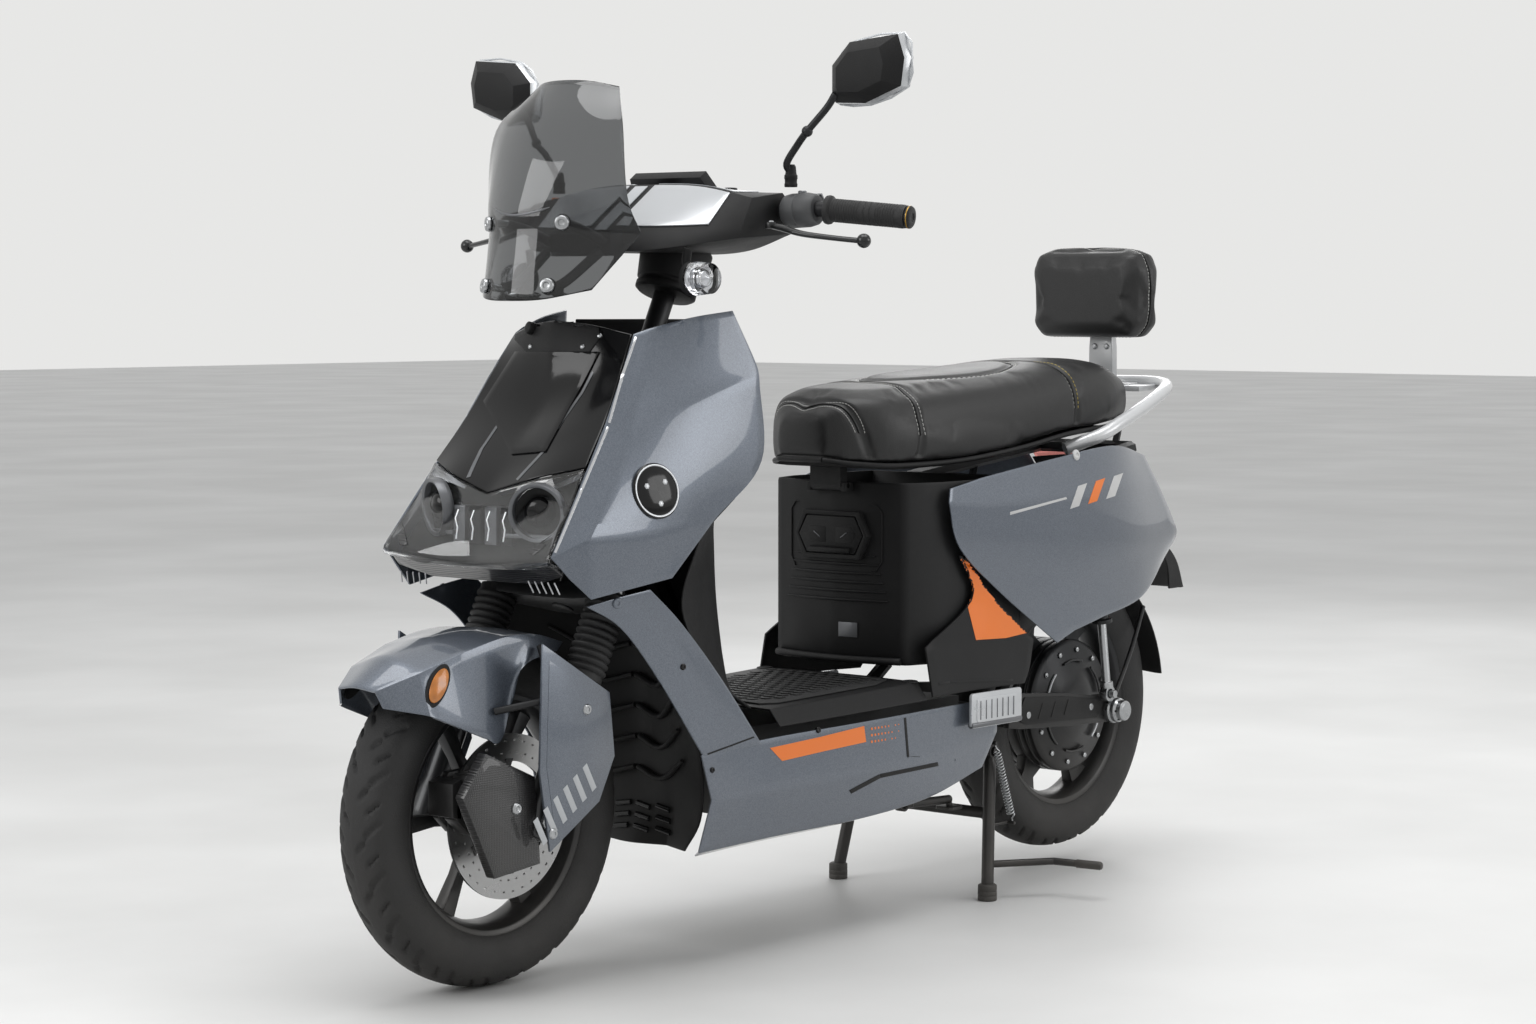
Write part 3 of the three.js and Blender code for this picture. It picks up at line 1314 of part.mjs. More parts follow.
function handlebar() {
  const left = barShare.map(onBar);
  const tube = bothSides((sign) => {
    const points = left.map(([x, y, z]) => [x, sign * y, z]);
    const outer = points[points.length - 1];
    const inner = points[points.length - 2];
    const length = vector(inner).distanceTo(vector(outer));
    const weightStart = mixed(inner, outer, 1 - barEndLength / length);
    return joined(rods(points, barRadius, smallSides), rod(weightStart, outer, barEndRadius, barEndRadius, smallSides));
  });
  const clampLow = steeringPoint(clampShare.low);
  const clampHigh = steeringPoint(barShare[0][2]);
  const clamp = rod(clampLow, clampHigh, stemRadius + clampWall);
  const stemRoom = rod(steeringPoint(clampShare.below), steeringPoint(clampShare.top), stemRadius + fit);
  return cut(joined(tube, clamp), stemRoom);
}

function gripSleeve(sign) {
  const inner = onBar(barShare[3]);
  const outer = onBar(barShare[4]);
  const length = vector(inner).distanceTo(vector(outer));
  const start = mixed(inner, outer, gripEndGap / length);
  const end = mixed(inner, outer, 1 - (barEndLength + gripEndGap / 2) / length);
  const flip = ([x, y, z]) => [x, sign * y, z];
  const body = rod(flip(start), flip(end), gripRadius, gripRadius, smallSides);
  const flangeEnd = flip(mixed(inner, outer, (3 * gripEndGap) / length));
  const flangeRadius = gripRadius + gripEndGap;
  const flange = rod(flip(start), flangeEnd, flangeRadius, flangeRadius, smallSides);
  const beyond = [mixed(inner, outer, -cutOver / length), mixed(inner, outer, 1 + cutOver / length)];
  const boreRadius = sign > 0 ? barRadius + seating : turningRoom(barRadius, smallSides) - seating / 2;
  const bore = rod(flip(beyond[0]), flip(beyond[1]), boreRadius, boreRadius, smallSides);
  return cut(joined(body, flange), bore);
}

// Handlebar cover: a hollow shell open underneath, with a shroud round the stem
const coverSectionShare = [
  [0, [[0.7, 1.98], [0.712, 2.03], [0.471, 2.164], [0.159, 2.152], [-0.131, 2.08], [-0.218, 1.97]]],
  [0.5, [[0.739, 1.976], [0.684, 2.026], [0.44, 2.158], [0.171, 2.144], [-0.071, 2.08], [-0.153, 1.98]]],
  [1.02, [[0.437, 2.01], [0.45, 2.04], [0.444, 2.12], [0.203, 2.136], [0.051, 2.09], [0.014, 2.024]]],
];
const coverTopShare = 2.152;
const webShare = 0.75;
const shroudShare = { low: 1.856, high: 1.965 };
const shroudLowRadius = 44;
const shroudHighRadius = 52;

const coverDraw = 1.4; // the wall is drawn in aslant

function coverRing(out, section, sign, drawnIn) {
  const points = section.map(([ahead, up]) => onBar([ahead, sign * out, up]));
  const middle = points.reduce((sum, point) => sum.add(vector(point)), new THREE.Vector3());
  middle.divideScalar(points.length);
  return points.map((point) => {
    const inward = middle.clone().sub(vector(point)).setLength(drawnIn * coverDraw);
    return [point[0] + inward.x, point[1], point[2] + inward.z];
  });
}

function coverLoft(drawnIn, sideways) {
  const order = [...coverSectionShare].reverse().map(([out, section]) => [out, section, 1]);
  const others = coverSectionShare.slice(1).map(([out, section]) => [out, section, -1]);
  const rings = [...order, ...others].map(([out, section, sign]) => coverRing(out, section, sign, drawnIn));
  const last = rings.length - 1;
  rings[0] = rings[0].map(([x, y, z]) => [x, y + sideways, z]);
  rings[last] = rings[last].map(([x, y, z]) => [x, y - sideways, z]);
  return loft(rings);
}

function handlebarCover() {
  const floor = level(coverSectionShare[0][1][5][1]) + wall;
  const hollow = coverLoft(wall, cutOver);
  const opening = slabAcross(
    [
      [steeringAxisX(floor) - screenDistance / 9, level(1.9)],
      [steeringAxisX(floor) + screenDistance / 2, level(1.9)],
      [steeringAxisX(floor) + screenDistance / 2, level(2.02)],
      [steeringAxisX(floor) - screenDistance / 9, level(2.02)],
    ],
    -bodyHalfWidth,
    bodyHalfWidth,
  );
  const shroudLow = steeringPoint(shroudShare.low);
  const shroudHigh = steeringPoint(shroudShare.high);
  const length = vector(shroudLow).distanceTo(vector(shroudHigh));
  const inner = stemRadius + clampWall + 2 * fit;
  const profile = [
    [shroudLowRadius - wall, 0],
    [shroudLowRadius, 0],
    [shroudHighRadius, length],
    [inner, length],
    [inner, length - wall],
    [shroudHighRadius - 2 * wall, length - wall],
    [shroudLowRadius - wall, 0],
  ];
  const shroud = turned(profile, shroudLow, shroudHigh);
  const skin = cut(coverLoft(0, 0), hollow, opening);
  const web = bothSides((sign) => {
    const x = shroudHigh[0] + shroudHighRadius / 2;
    const y = sign * shroudHighRadius * webShare;
    return rod([x, y, shroudHigh[2]], [x, y, level(coverTopShare)], 2 * wall, 2 * wall, bossSides);
  });
  return joined(skin, shroud, web);
}

// Windshield on a bracket whose four bolts pass through it
const screenThickness = 4;
const screenShare = [
  [[1.26, 0.4, 2.42], [1.36, 0.22, 2.436], [1.4, 0, 2.44]],
  [[1.3, 0.6, 2.31], [1.42, 0.32, 2.31], [1.47, 0, 2.31]],
  [[1.13, 0.66, 2.12], [1.35, 0.35, 2.12], [1.43, 0, 2.12]],
  [[0.95, 0.69, 2.02], [1.26, 0.36, 2.02], [1.36, 0, 2.02]],
  [[1.05, 0.52, 1.87], [1.19, 0.28, 1.845], [1.24, 0, 1.84]],
];
const screenBoltShare = [[1.27, 0.34, 2.046], [1.21, 0.29, 1.88]];
const screenBoltRadius = 6;
const screenBoltHead = 11;
const bracketBarRadius = 7;
const bracketBlockShare = { front: 0.9, rear: 0.64, side: 0.3, low: 1.95, high: 2.04 };

function screenNormal() {
  const high = vector(onBar(screenShare[2][1]));
  const low = vector(onBar(screenShare[4][1]));
  const up = high.sub(low).normalize();
  return [up.z, 0, -up.x];
}

function screenBolts(radius, back, front) {
  const [nx, , nz] = screenNormal();
  return joined(
    ...screenBoltShare.flatMap((share) =>
      [1, -1].map((sign) => {
        const [x, y, z] = onBar(share);
        return rod(
          [x - nx * back, sign * y, z - nz * back],
          [x + nx * front, sign * y, z + nz * front],
          radius,
          radius,
          smallSides,
        );
      }),
    ),
  );
}

function windshield() {
  const skin = panel(
    screenShare.map((row) => wholeRow(row.map(onBar))),
    onBar([0, 0, screenShare[2][0][2]]),
    { first: 0, last: 0, top: 0, bottom: 0 },
    screenThickness,
  );
  return cut(skin, screenBolts(screenBoltRadius + fit, screenDistance / 6, screenDistance / 6));
}

function windshieldBracket() {
  const share = bracketBlockShare;
  const rear = onBar([share.rear, 0, share.low])[0];
  const front = onBar([share.front, 0, share.low])[0];
  const block = cut(
    box([rear, -across(share.side), level(share.low)], [front, across(share.side), level(share.high)]),
    coverLoft(-seating, seating),
  );
  const back = screenDistance / 12;
  const [nx, , nz] = screenNormal();
  const arms = bothSides((sign) =>
    joined(
      ...screenBoltShare.map((bolt) => {
        const [x, y, z] = onBar(bolt);
        const rootZ = THREE.MathUtils.clamp(z, level(share.low) + bracketBarRadius, level(share.high) - bracketBarRadius);
        const root = [front - bracketBarRadius, sign * (across(share.side) - bracketBarRadius), rootZ];
        return rods([root, [x - nx * back, sign * y, z - nz * back]], bracketBarRadius, bossSides);
      }),
    ),
  );
  const bolts = screenBolts(screenBoltRadius, back, screenThickness + 3 * wall);
  const [mx, mz] = [nx * (screenThickness + 2 * wall), nz * (screenThickness + 2 * wall)];
  const heads = joined(
    ...screenBoltShare.flatMap((bolt) =>
      [1, -1].map((sign) => {
        const [x, y, z] = onBar(bolt);
        return rod([x + mx, sign * y, z + mz], [x + 3 * mx / 2, sign * y, z + 3 * mz / 2], screenBoltHead, screenBoltHead, bossSides);
      }),
    ),
  );
  return joined(block, arms, bolts, heads);
}

// Switch pods clamp the bar between the cover and the grips, and carry the lever's perch and the mirror's boss.
const podRadius = 24;
const podShare = { start: 0.22, end: 0.9 };
const leverShare = [[0.322, 1.14, 2.044], [0.33, 1.45, 2.02], [0.22, 1.885, 2.0]];
const leverPinRadius = 4;
const leverEyeRadius = 9;
const leverThickness = 9;
const leverRadius = 6;
const leverBallRadius = 10;
const perchPlate = 5;
const mirrorFootShare = [0.27, 1.11, 2.15];
const mirrorBossRadius = 9;
const mirrorStemRadius = 5;
const mirrorStemShare = [[0.27, 1.11, 2.16], [0.36, 1.11, 2.222], [0.42, 1.3, 2.3], [0.44, 1.46, 2.37]];
const mirrorOutlineShare = [
  [1.415, 2.39], [1.415, 2.48], [1.58, 2.545], [2.03, 2.56], [2.09, 2.49], [2.06, 2.41], [1.73, 2.365], [1.45, 2.37],
];
const mirrorAheadShare = 0.49;
const mirrorMiddleShare = 2.45;
const mirrorDepth = 34;
const buttonRadius = 6;
const buttonTravel = 2.5;
const buttonLift = 3;
const buttonDepth = 6;

function podAxis() {
  return [onBar(barShare[2]), onBar(barShare[3])];
}

function buttonPlace() {
  const [start, end] = podAxis();
  return mixed(start, end, (podShare.start + podShare.end) / 2);
}

function switchPod() {
  const [start, end] = podAxis();
  const body = rod(mixed(start, end, podShare.start), mixed(start, end, podShare.end), podRadius);
  const bore = rod(mixed(start, end, -1), mixed(start, end, 2), barRadius + 2 * fit);
  const [px, py, pz] = onBar(leverShare[0]);
  const gap = leverThickness / 2 + fit;
  const middle = mixed(start, end, podShare.start + perchPlate / podRadius);
  const plates = joined(
    perch([px, py, pz], middle, gap, gap + perchPlate),
    perch([px, py, pz], middle, -gap - perchPlate, -gap),
  );
  const pin = rod([px, py, pz - gap - perchPlate / 2], [px, py, pz + gap + perchPlate / 2], leverPinRadius, leverPinRadius, smallSides);
  const [mx, my, mz] = onBar(mirrorFootShare);
  const bossFoot = mz - 2 * podRadius;
  const boss = joined(
    rod([mx, my, bossFoot], [mx, my, mz], mirrorBossRadius),
    rod([mx, my, bossFoot + mirrorBossRadius], mixed(start, end, podShare.start + 1 / 8), mirrorBossRadius),
  );
  const [bx, by, bz] = buttonPlace();
  const pocket = rod(
    [bx, by, bz + podRadius - buttonDepth - fit],
    [bx, by, bz + podRadius + cutOver],
    buttonRadius + fit,
    buttonRadius + fit,
    smallSides,
  );
  return cut(joined(body, plates, pin, boss), bore, pocket);
}

function perch([px, py, pz], [mx, my], low, high) {
  const half = leverEyeRadius;
  return slabUp(
    [
      [mx, my - half],
      [px + half / 2, py - half],
      [px + half, py],
      [px + half / 2, py + half],
      [mx, my + half],
    ],
    pz + low,
    pz + high,
  );
}

function switchButton() {
  const [x, y, z] = buttonPlace();
  const top = z + podRadius + buttonLift;
  return rod([x, y, z + podRadius - buttonDepth + buttonTravel], [x, y, top], buttonRadius, buttonRadius, smallSides);
}

function brakeLever() {
  const [pivot, bend, tip] = leverShare.map(onBar);
  const half = leverThickness / 2;
  const eye = rod([pivot[0], pivot[1], pivot[2] - half], [pivot[0], pivot[1], pivot[2] + half], leverEyeRadius);
  const [startX, startY] = mixed(pivot, bend, leverEyeRadius / vector(pivot).distanceTo(vector(bend)) / 2);
  const start = [startX, startY, pivot[2]];
  const [neckX, neckY] = mixed(pivot, bend, 1 / 3);
  const neck = [neckX, neckY, pivot[2]];
  const arm = joined(
    rod(start, neck, half, half, bossSides),
    rod(neck, bend, leverRadius, leverRadius, bossSides),
    rod(bend, tip, leverRadius, half, bossSides),
  );
  const ball = new THREE.SphereGeometry(leverBallRadius, smallSides, smallSides - 2).translate(...tip);
  const bore = rod([pivot[0], pivot[1], pivot[2] - leverEyeRadius], [pivot[0], pivot[1], pivot[2] + leverEyeRadius], leverPinRadius + fit, leverPinRadius + fit, smallSides);
  return cut(joined(eye, arm, solidOf(ball)), bore);
}

function mirror() {
  const foot = onBar(mirrorFootShare);
  const points = mirrorStemShare.map(onBar);
  const collar = rod([foot[0], foot[1], foot[2] + fit], [foot[0], foot[1], foot[2] + mirrorBossRadius], mirrorBossRadius, mirrorBossRadius, smallSides);
  const inCollar = [foot[0], foot[1], foot[2] + mirrorBossRadius / 2];
  const stem = rods([inCollar, ...points.slice(1)], mirrorStemRadius, bossSides);
  const outline = mirrorOutlineShare.map(([side, up]) => [across(side), level(up)]);
  const middle = onBar([mirrorAheadShare, 0, mirrorMiddleShare])[0];
  const housing = slabAlong(outline, middle - mirrorDepth / 2, middle + mirrorDepth / 2);
  return joined(collar, stem, housing);
}

// Turn signals hang under the bar on short stalks.
const signalShare = { ahead: 0.52, inner: 0.76, outer: 1.0, up: 1.9 };
const signalHangShare = 0.4;
const signalRadius = 24;
const signalTaper = 0.8;
const signalStalkRadius = 7;

function turnSignal() {
  const share = signalShare;
  const inner = onBar([share.ahead, share.inner, share.up]);
  const outer = onBar([share.ahead, share.outer, share.up]);
  const lamp = rod(inner, outer, signalRadius, signalRadius * signalTaper);
  const [middleRing, outerRing] = coverSectionShare.slice(1);
  const edge = [middleRing, outerRing].map(([out, section]) => onBar([section[0][0], out, section[0][1]]));
  const [x, y, z] = mixed(edge[0], edge[1], signalHangShare);
  const top = z - fit - signalStalkRadius * (edge[1][2] - edge[0][2]) / (edge[1][1] - edge[0][1]);
  const stalk = rods([[x, y, top], [x, y, top - signalStalkRadius], mixed(inner, outer, 1 / 4)], signalStalkRadius, bossSides);
  return joined(lamp, stalk);
}

// Swingarm, in whole-part axes
const swingTubeRadius = 16;
const swingHalfHeight = 20;
const axleBossRadius = 22;
const swingCapLength = 30;
const huggerStayRadius = 4;
const hugger = { gap: 12, halfWidth: 58, from: 172, to: 110 };

function swingarm() {
  const pivot = at([pivotShare.along, 0, pivotShare.up]);
  const tubeEnd = across(pivotShare.earSide) - 2 * fit;
  const tube = rod([pivot[0], -tubeEnd, pivot[2]], [pivot[0], tubeEnd, pivot[2]], swingTubeRadius);
  const braceFront = pivot[0] - swingTubeRadius - 2 * fit - earThickness;
  const braceRear = rearAxleX + tyreRadius + wheelRoom / 2;
  const tall = swingTubeRadius - fit;
  const web = box([braceFront - wall, -tubeEnd + wall, pivot[2] - tall / 2], [pivot[0], tubeEnd - wall, pivot[2] + tall / 2]);
  const brace = box(
    [braceRear, -swingSide - swingThickness, pivot[2] - tall],
    [braceFront, swingSide + swingThickness, pivot[2] + tall],
  );
  const arms = bothSides((sign) => {
    const from = sign > 0 ? swingSide : -swingSide - swingThickness;
    const outline = [
      [braceFront, pivot[2] + tall],
      [braceRear, pivot[2] + swingHalfHeight + wheelRoom],
      [rearAxleX, rearAxleZ + swingHalfHeight],
      [rearAxleX - swingHalfHeight, rearAxleZ + swingHalfHeight / 2],
      [rearAxleX - swingHalfHeight, rearAxleZ - swingHalfHeight / 2],
      [rearAxleX, rearAxleZ - swingHalfHeight],
      [braceRear, pivot[2] - swingHalfHeight],
      [braceFront, pivot[2] - tall],
    ];
    const arm = slabAcross(outline, from, from + swingThickness);
    const side = sign * (swingSide + swingThickness);
    const spacer = rod([rearAxleX, sign * (motorHalfWidth + fit), rearAxleZ], [rearAxleX, sign * swingSide, rearAxleZ], axleRadius + wall, axleRadius + wall, smallSides);
    const cap = rod([rearAxleX, sign * swingSide, rearAxleZ], [rearAxleX, side + sign * swingCapLength, rearAxleZ], axleBossRadius, axleNutRadius);
    return joined(arm, spacer, cap, shockPin(sign));
  });
  const axle = rod(
    [rearAxleX, -swingSide, rearAxleZ],
    [rearAxleX, swingSide, rearAxleZ],
    axleRadius,
    axleRadius,
    smallSides,
  );
  const bore = rod([pivot[0], -tubeEnd - cutOver, pivot[2]], [pivot[0], tubeEnd + cutOver, pivot[2]], pivotPinRadius + fit);
  return joined(cut(joined(tube, web, brace), bore), arms, axle, rearHugger());
}

function shockFoot() {
  return [rearAxleX + (3 * wheelRoom) / 2, rearAxleZ + swingHalfHeight + (3 * shockPinRadius) / 2];
}

function shockPin(sign) {
  const [x, z] = shockFoot();
  const eye = shockEyeSide;
  const lug = box(
    [x - shockEyeRadius, Math.min(sign * swingSide, sign * (swingSide + shockPinRadius)), z - swingHalfHeight],
    [x + shockEyeRadius, Math.max(sign * swingSide, sign * (swingSide + shockPinRadius)), z + shockPinRadius],
  );
  const pin = rod([x, sign * swingSide, z], [x, sign * (eye + shockEyeWidth / 2), z], shockPinRadius);
  return joined(lug, pin);
}

function rearHugger() {
  const radius = tyreRadius + hugger.gap + wall;
  const rows = [];
  const steps = 5;
  for (let i = 0; i <= steps; i++) {
    const turn = THREE.MathUtils.degToRad(hugger.to + ((hugger.from - hugger.to) * i) / steps);
    const x = rearAxleX + radius * Math.cos(turn);
    const z = rearAxleZ + radius * Math.sin(turn);
    rows.push([
      [x, hugger.halfWidth, z - wheelRoom * Math.sin(turn)],
      [x, hugger.halfWidth / 2, z],
      [x, 0, z],
    ]);
  }
  const skin = panel(rows.map(wholeRow), [rearAxleX, 0, rearAxleZ], { first: 0, last: 0, top: 0, bottom: 0 });
  const stays = bothSides((sign) => {
    const turn = THREE.MathUtils.degToRad((hugger.from + hugger.to) / 2);
    const hold = [
      rearAxleX + radius * Math.cos(turn),
      sign * (hugger.halfWidth - wall),
      rearAxleZ + radius * Math.sin(turn) - wheelRoom / 2,
    ];
    return rods([[rearAxleX - swingHalfHeight / 2, sign * (swingSide + wall), rearAxleZ], hold], huggerStayRadius, bossSides);
  });
  return joined(skin, stays);
}

// Shock absorbers: the body hangs from the frame, the rod rides in it
const shockBodySideShare = 0.09;
const shockBodyRadius = across(shockBodySideShare);
const shockRodRadius = 7;
const shockBodyShare = 0.6;
const shockOverlapShare = 0.22;
const shockEyeSink = 0.7;
const shockSlack = 1.6;

function shockLine() {
  const [topX, , topZ] = at(shockTopShare);
  const [footX, footZ] = shockFoot();
  const side = shockEyeSide;
  return [[topX, side, topZ], [footX, side, footZ]];
}

function eyeRing([x, , z], bore) {
  const side = shockEyeSide;
  const from = side - shockEyeWidth / 2 + fit;
  const to = side + shockEyeWidth / 2 + 2;
  return [rod([x, from, z], [x, to, z], shockEyeRadius), rod([x, from - cutOver, z], [x, to + cutOver, z], bore)];
}

function shockBody() {
  const [top, foot] = shockLine();
  const length = vector(top).distanceTo(vector(foot));
  const body = rod(mixed(top, foot, (shockEyeRadius * 0.6) / length), mixed(top, foot, shockBodyShare), shockBodyRadius);
  const [eye, bore] = eyeRing(top, shockPinRadius + fit);
  const slide = rod(mixed(top, foot, (2 * shockEyeRadius) / length), mixed(top, foot, 1), shockRodRadius + fit);
  const side = shockEyeSide;
  const cleft = box(
    [top[0] - shockBodyRadius - cutOver, side - shockBodyRadius - cutOver, top[2] - shockEyeRadius - shockPinRadius],
    [top[0] + shockBodyRadius + cutOver, side - shockEyeWidth / 2, top[2] + shockBodyRadius],
  );
  return cut(joined(body, eye), bore, slide, cleft);
}

function shockRod() {
  const [top, foot] = shockLine();
  const length = vector(top).distanceTo(vector(foot));
  const shaft = rod(mixed(top, foot, shockBodyShare - shockOverlapShare), mixed(top, foot, 1 - (shockEyeRadius * shockEyeSink) / length), shockRodRadius);
  const [eye, bore] = eyeRing(foot, shockPinRadius + shockSlack);
  return cut(joined(shaft, eye), bore);
}

// Centre stand: two legs on pivot eyes, a cross bar, rubber feet and a tread tang
const standLegRadius = 10;
const standEyeRadius = 13;
const standEyeWidth = 18;
const standPinHead = 3;
const standFootShare = [1.859, 0.74, 0];
const standFootRadius = 15;
const standFootHeight = 26;
const standBarShare = 0.42;
const standBarRadius = 9;
const tangSides = 6;
const tangShare = [[0.76, 0.72], [1.95, 1.01], [1.965, 1.42]];
const tangRadius = 6;
const springHookShare = 0.5;
const springPinRadius = 3;

function standPivot() {
  return at([standShare.along, 0, standShare.up]);
}

function standEyeSide() {
  return across(standShare.earSide) + earThickness + fit + fit + standEyeWidth / 2;
}

function centreStand() {
  const pivot = standPivot();
  const eyeSide = standEyeSide();
  const foot = at(standFootShare);
  const leg = (sign) => {
    const top = [pivot[0], sign * eyeSide, pivot[2]];
    const ankle = [foot[0], sign * foot[1], standFootHeight / 2];
    const half = standEyeWidth / 2;
    const eye = rod([pivot[0], sign * (eyeSide - half), pivot[2]], [pivot[0], sign * (eyeSide + half), pivot[2]], standEyeRadius);
    const tube = rod(top, ankle, standLegRadius, standLegRadius, smallSides);
    const boot = rod([foot[0], sign * foot[1], 0], [foot[0], sign * foot[1], standFootHeight], standFootRadius);
    return joined(eye, tube, boot);
  };
  const barEnd = mixed([pivot[0], eyeSide, pivot[2]], foot, standBarShare);
  const bar = rod([barEnd[0], -barEnd[1], barEnd[2]], barEnd, standBarRadius, standBarRadius, bossSides);
  const ankle = mixed([pivot[0], eyeSide, pivot[2]], foot, tangShare[0][0]);
  const tip1 = [station(tangShare[1][0]) - rearLift, across(tangShare[1][1]), ankle[2]];
  const tip2 = [station(tangShare[2][0]) - rearLift, across(tangShare[2][1]), ankle[2]];
  const tang = rods([ankle, tip1, tip2], tangRadius, tangSides);
  const [hx, hy, hz] = springFoot();
  const legPoint = mixed([pivot[0], eyeSide, pivot[2]], foot, springHookShare);
  const hook = rods([legPoint, [hx, legPoint[1], hz], [hx, hy + springPinRadius, hz]], springPinRadius, bossSides);
  const half = standEyeWidth;
  const bore = bothSides((sign) =>
    rod([pivot[0], sign * (eyeSide - half), pivot[2]], [pivot[0], sign * (eyeSide + half), pivot[2]], standPinRadius + fit),
  );
  return joined(cut(joined(leg(1), leg(-1), bar), bore), tang, hook);
}

// Stand spring: a close-wound coil between a pin on the frame's ear and a hook on the leg
const springRadius = 5.5;
const springWire = 1.2;
const springCurls = 8;
const springGap = 14.6; // from the stand's eye to the middle of the spring
const springTopBack = 19; // top pin ahead of the stand's pivot
const springTopRise = 16;
const springFootBack = 28;
const springFootDrop = 113;

function springSide() {
  return across(standShare.earSide) + earThickness + 2 * fit + standEyeWidth + springGap;
}

function springTop() {
  const pivot = standPivot();
  return [pivot[0] + springTopBack, springSide(), pivot[2] + springTopRise];
}

function springFoot() {
  const pivot = standPivot();
  return [pivot[0] - springFootBack, springSide(), pivot[2] - springFootDrop];
}

function standSpringPin() {
  const [x, y, z] = springTop();
  const root = at([railShare.rear, railShare.side, railShare.up]);
  return rods([root, [x, y - 3 * springPinRadius, z], [x, y + springPinRadius, z]], springPinRadius, bossSides);
}

function springPoint(turns) {
  const top = vector(springTop());
  const foot = vector(springFoot());
  const way = foot.clone().sub(top).normalize();
  const lead = springPinRadius + fit;
  const length = top.distanceTo(foot) - 2 * lead;
  const straight = length / 14;
  const side = new THREE.Vector3(0, 1, 0);
  const other = way.clone().cross(side).normalize();
  const share = turns / springCurls;
  const along = lead + straight + share * (length - 2 * straight);
  const turn = 2 * Math.PI * turns;
  return top
    .addScaledVector(way, along)
    .addScaledVector(side, springRadius * Math.cos(turn))
    .addScaledVector(other, springRadius * Math.sin(turn));
}

function standSpring() {
  const top = vector(springTop());
  const foot = vector(springFoot());
  const way = foot.clone().sub(top).normalize();
  const lead = springPinRadius + fit;
  const path = [top.clone().addScaledVector(way, lead)];
  const steps = 7;
  for (let i = 0; i <= springCurls * steps; i++) path.push(springPoint(i / steps));
  path.push(foot.clone().addScaledVector(way, -lead));
  return wound(path, springWire, 5);
}

// A tube of few sides that follows a list of points
function wound(path, radius, sides) {
  const points = [];
  let normal = new THREE.Vector3(0, 1, 0);
  path.forEach((point, i) => {
    const before = path[Math.max(i - 1, 0)];
    const after = path[Math.min(i + 1, path.length - 1)];
    const way = after.clone().sub(before).normalize();
    normal = normal.clone().addScaledVector(way, -normal.dot(way)).normalize();
    const other = way.clone().cross(normal);
    for (let j = 0; j < sides; j++) {
      const turn = (2 * Math.PI * j) / sides;
      points.push(
        point
          .clone()
          .addScaledVector(normal, radius * Math.cos(turn))
          .addScaledVector(other, radius * Math.sin(turn))
          .toArray(),
      );
    }
  });
  const rings = [];
  for (let i = 0; i < path.length; i++) rings.push(points.slice(i * sides, (i + 1) * sides));
  return loft(rings);
}

function leastSpringGap() {
  const first = springPoint(0);
  const next = springPoint(1);
  return first.distanceTo(next) - 2 * springWire;
}

// Side stand, folded back under the left floor rail
const sideStandLength = 135;
const sideStandRadius = 7;
const sideStandFoot = 34;

function sideStandPivot() {
  return at([sideStandShare.along, sideStandShare.eyeSide, sideStandShare.up]);
}

function sideStand() {
  const [x, y, z] = sideStandPivot();
  const half = sideStandEyeWidth / 2;
  const eye = rod([x, y - half, z], [x, y + half, z], 2 * sideStandPinRadius);
  const end = [x - sideStandLength + sideStandFoot / 2, y, z - sideStandPinRadius];
  const leg = rod([x - sideStandPinRadius, y, z], end, sideStandRadius);
  const plate = box(
    [end[0] - sideStandFoot / 2, y - sideStandFoot / 2, end[2] - 2 * sideStandPinRadius],
    [end[0] + sideStandFoot / 2, y + sideStandFoot / 2, end[2] - sideStandPinRadius],
  );
  const bore = rod([x, y - half - cutOver, z], [x, y + half + cutOver, z], sideStandPinRadius + fit);
  return cut(joined(eye, leg, plate), bore);
}

// The whole scooter
const scooter = new THREE.Group();
scooter.name = "scooter";

const bodywork = new THREE.Group();
bodywork.add(
  meshOf("main_frame", mainFrame(), "frameBlack"),
  meshOf("battery_pack", batteryPack(), "battery"),
  ...mirroredMeshes("fairing", joined(sidePanel(fairingShare, {}), boss(mountShare.fairing[0])), "slate"),
  meshOf("nose_panel", joined(middlePanel(noseShare, cornerMitre), boss(mountShare.nose[0])), "glossBlack"),
  meshOf("headlight", joined(middlePanel(headlightShare, cornerMitre), boss(mountShare.headlight[0])), "lens"),
  meshOf("inner_leg_shield", legShield(), "mattBlack"),
  meshOf("lower_grille", lowerGrille(), "mattBlack"),
  ...mirroredMeshes("lower_panel", lowerPanel(), "mattBlack"),
  meshOf("floorboard", floorboard(), "mattBlack"),
  ...mirroredMeshes("side_cover", sideCover(), "mattBlack"),
  meshOf("seat_box", seatBox(), "mattBlack"),
  meshOf("charge_flap", chargeFlap(), "mattBlack"),
  ...mirroredMeshes("rear_panel", rearPanel(), "slate"),
  meshOf("tail_light", tailLight(), "tailLens"),
  meshOf("plate_holder", plateHolder(), "mattBlack"),
  meshOf("grab_rail", grabRail(), "silverPaint"),
  meshOf("backrest_pad", backrestPad(), "leather"),
  ...mirroredMeshes("footpeg", footpeg(), "aluminium"),
  ...mirroredMeshes("shock_body", shockBody(), "frameBlack"),
  ...mirroredMeshes("shock_rod", shockRod(), "steel"),
);

const seat = new THREE.Group();
seat.add(meshOf("seat_cushion", seatCushion(), "leather"), meshOf("seat_pan", seatPan(), "mattBlack"));

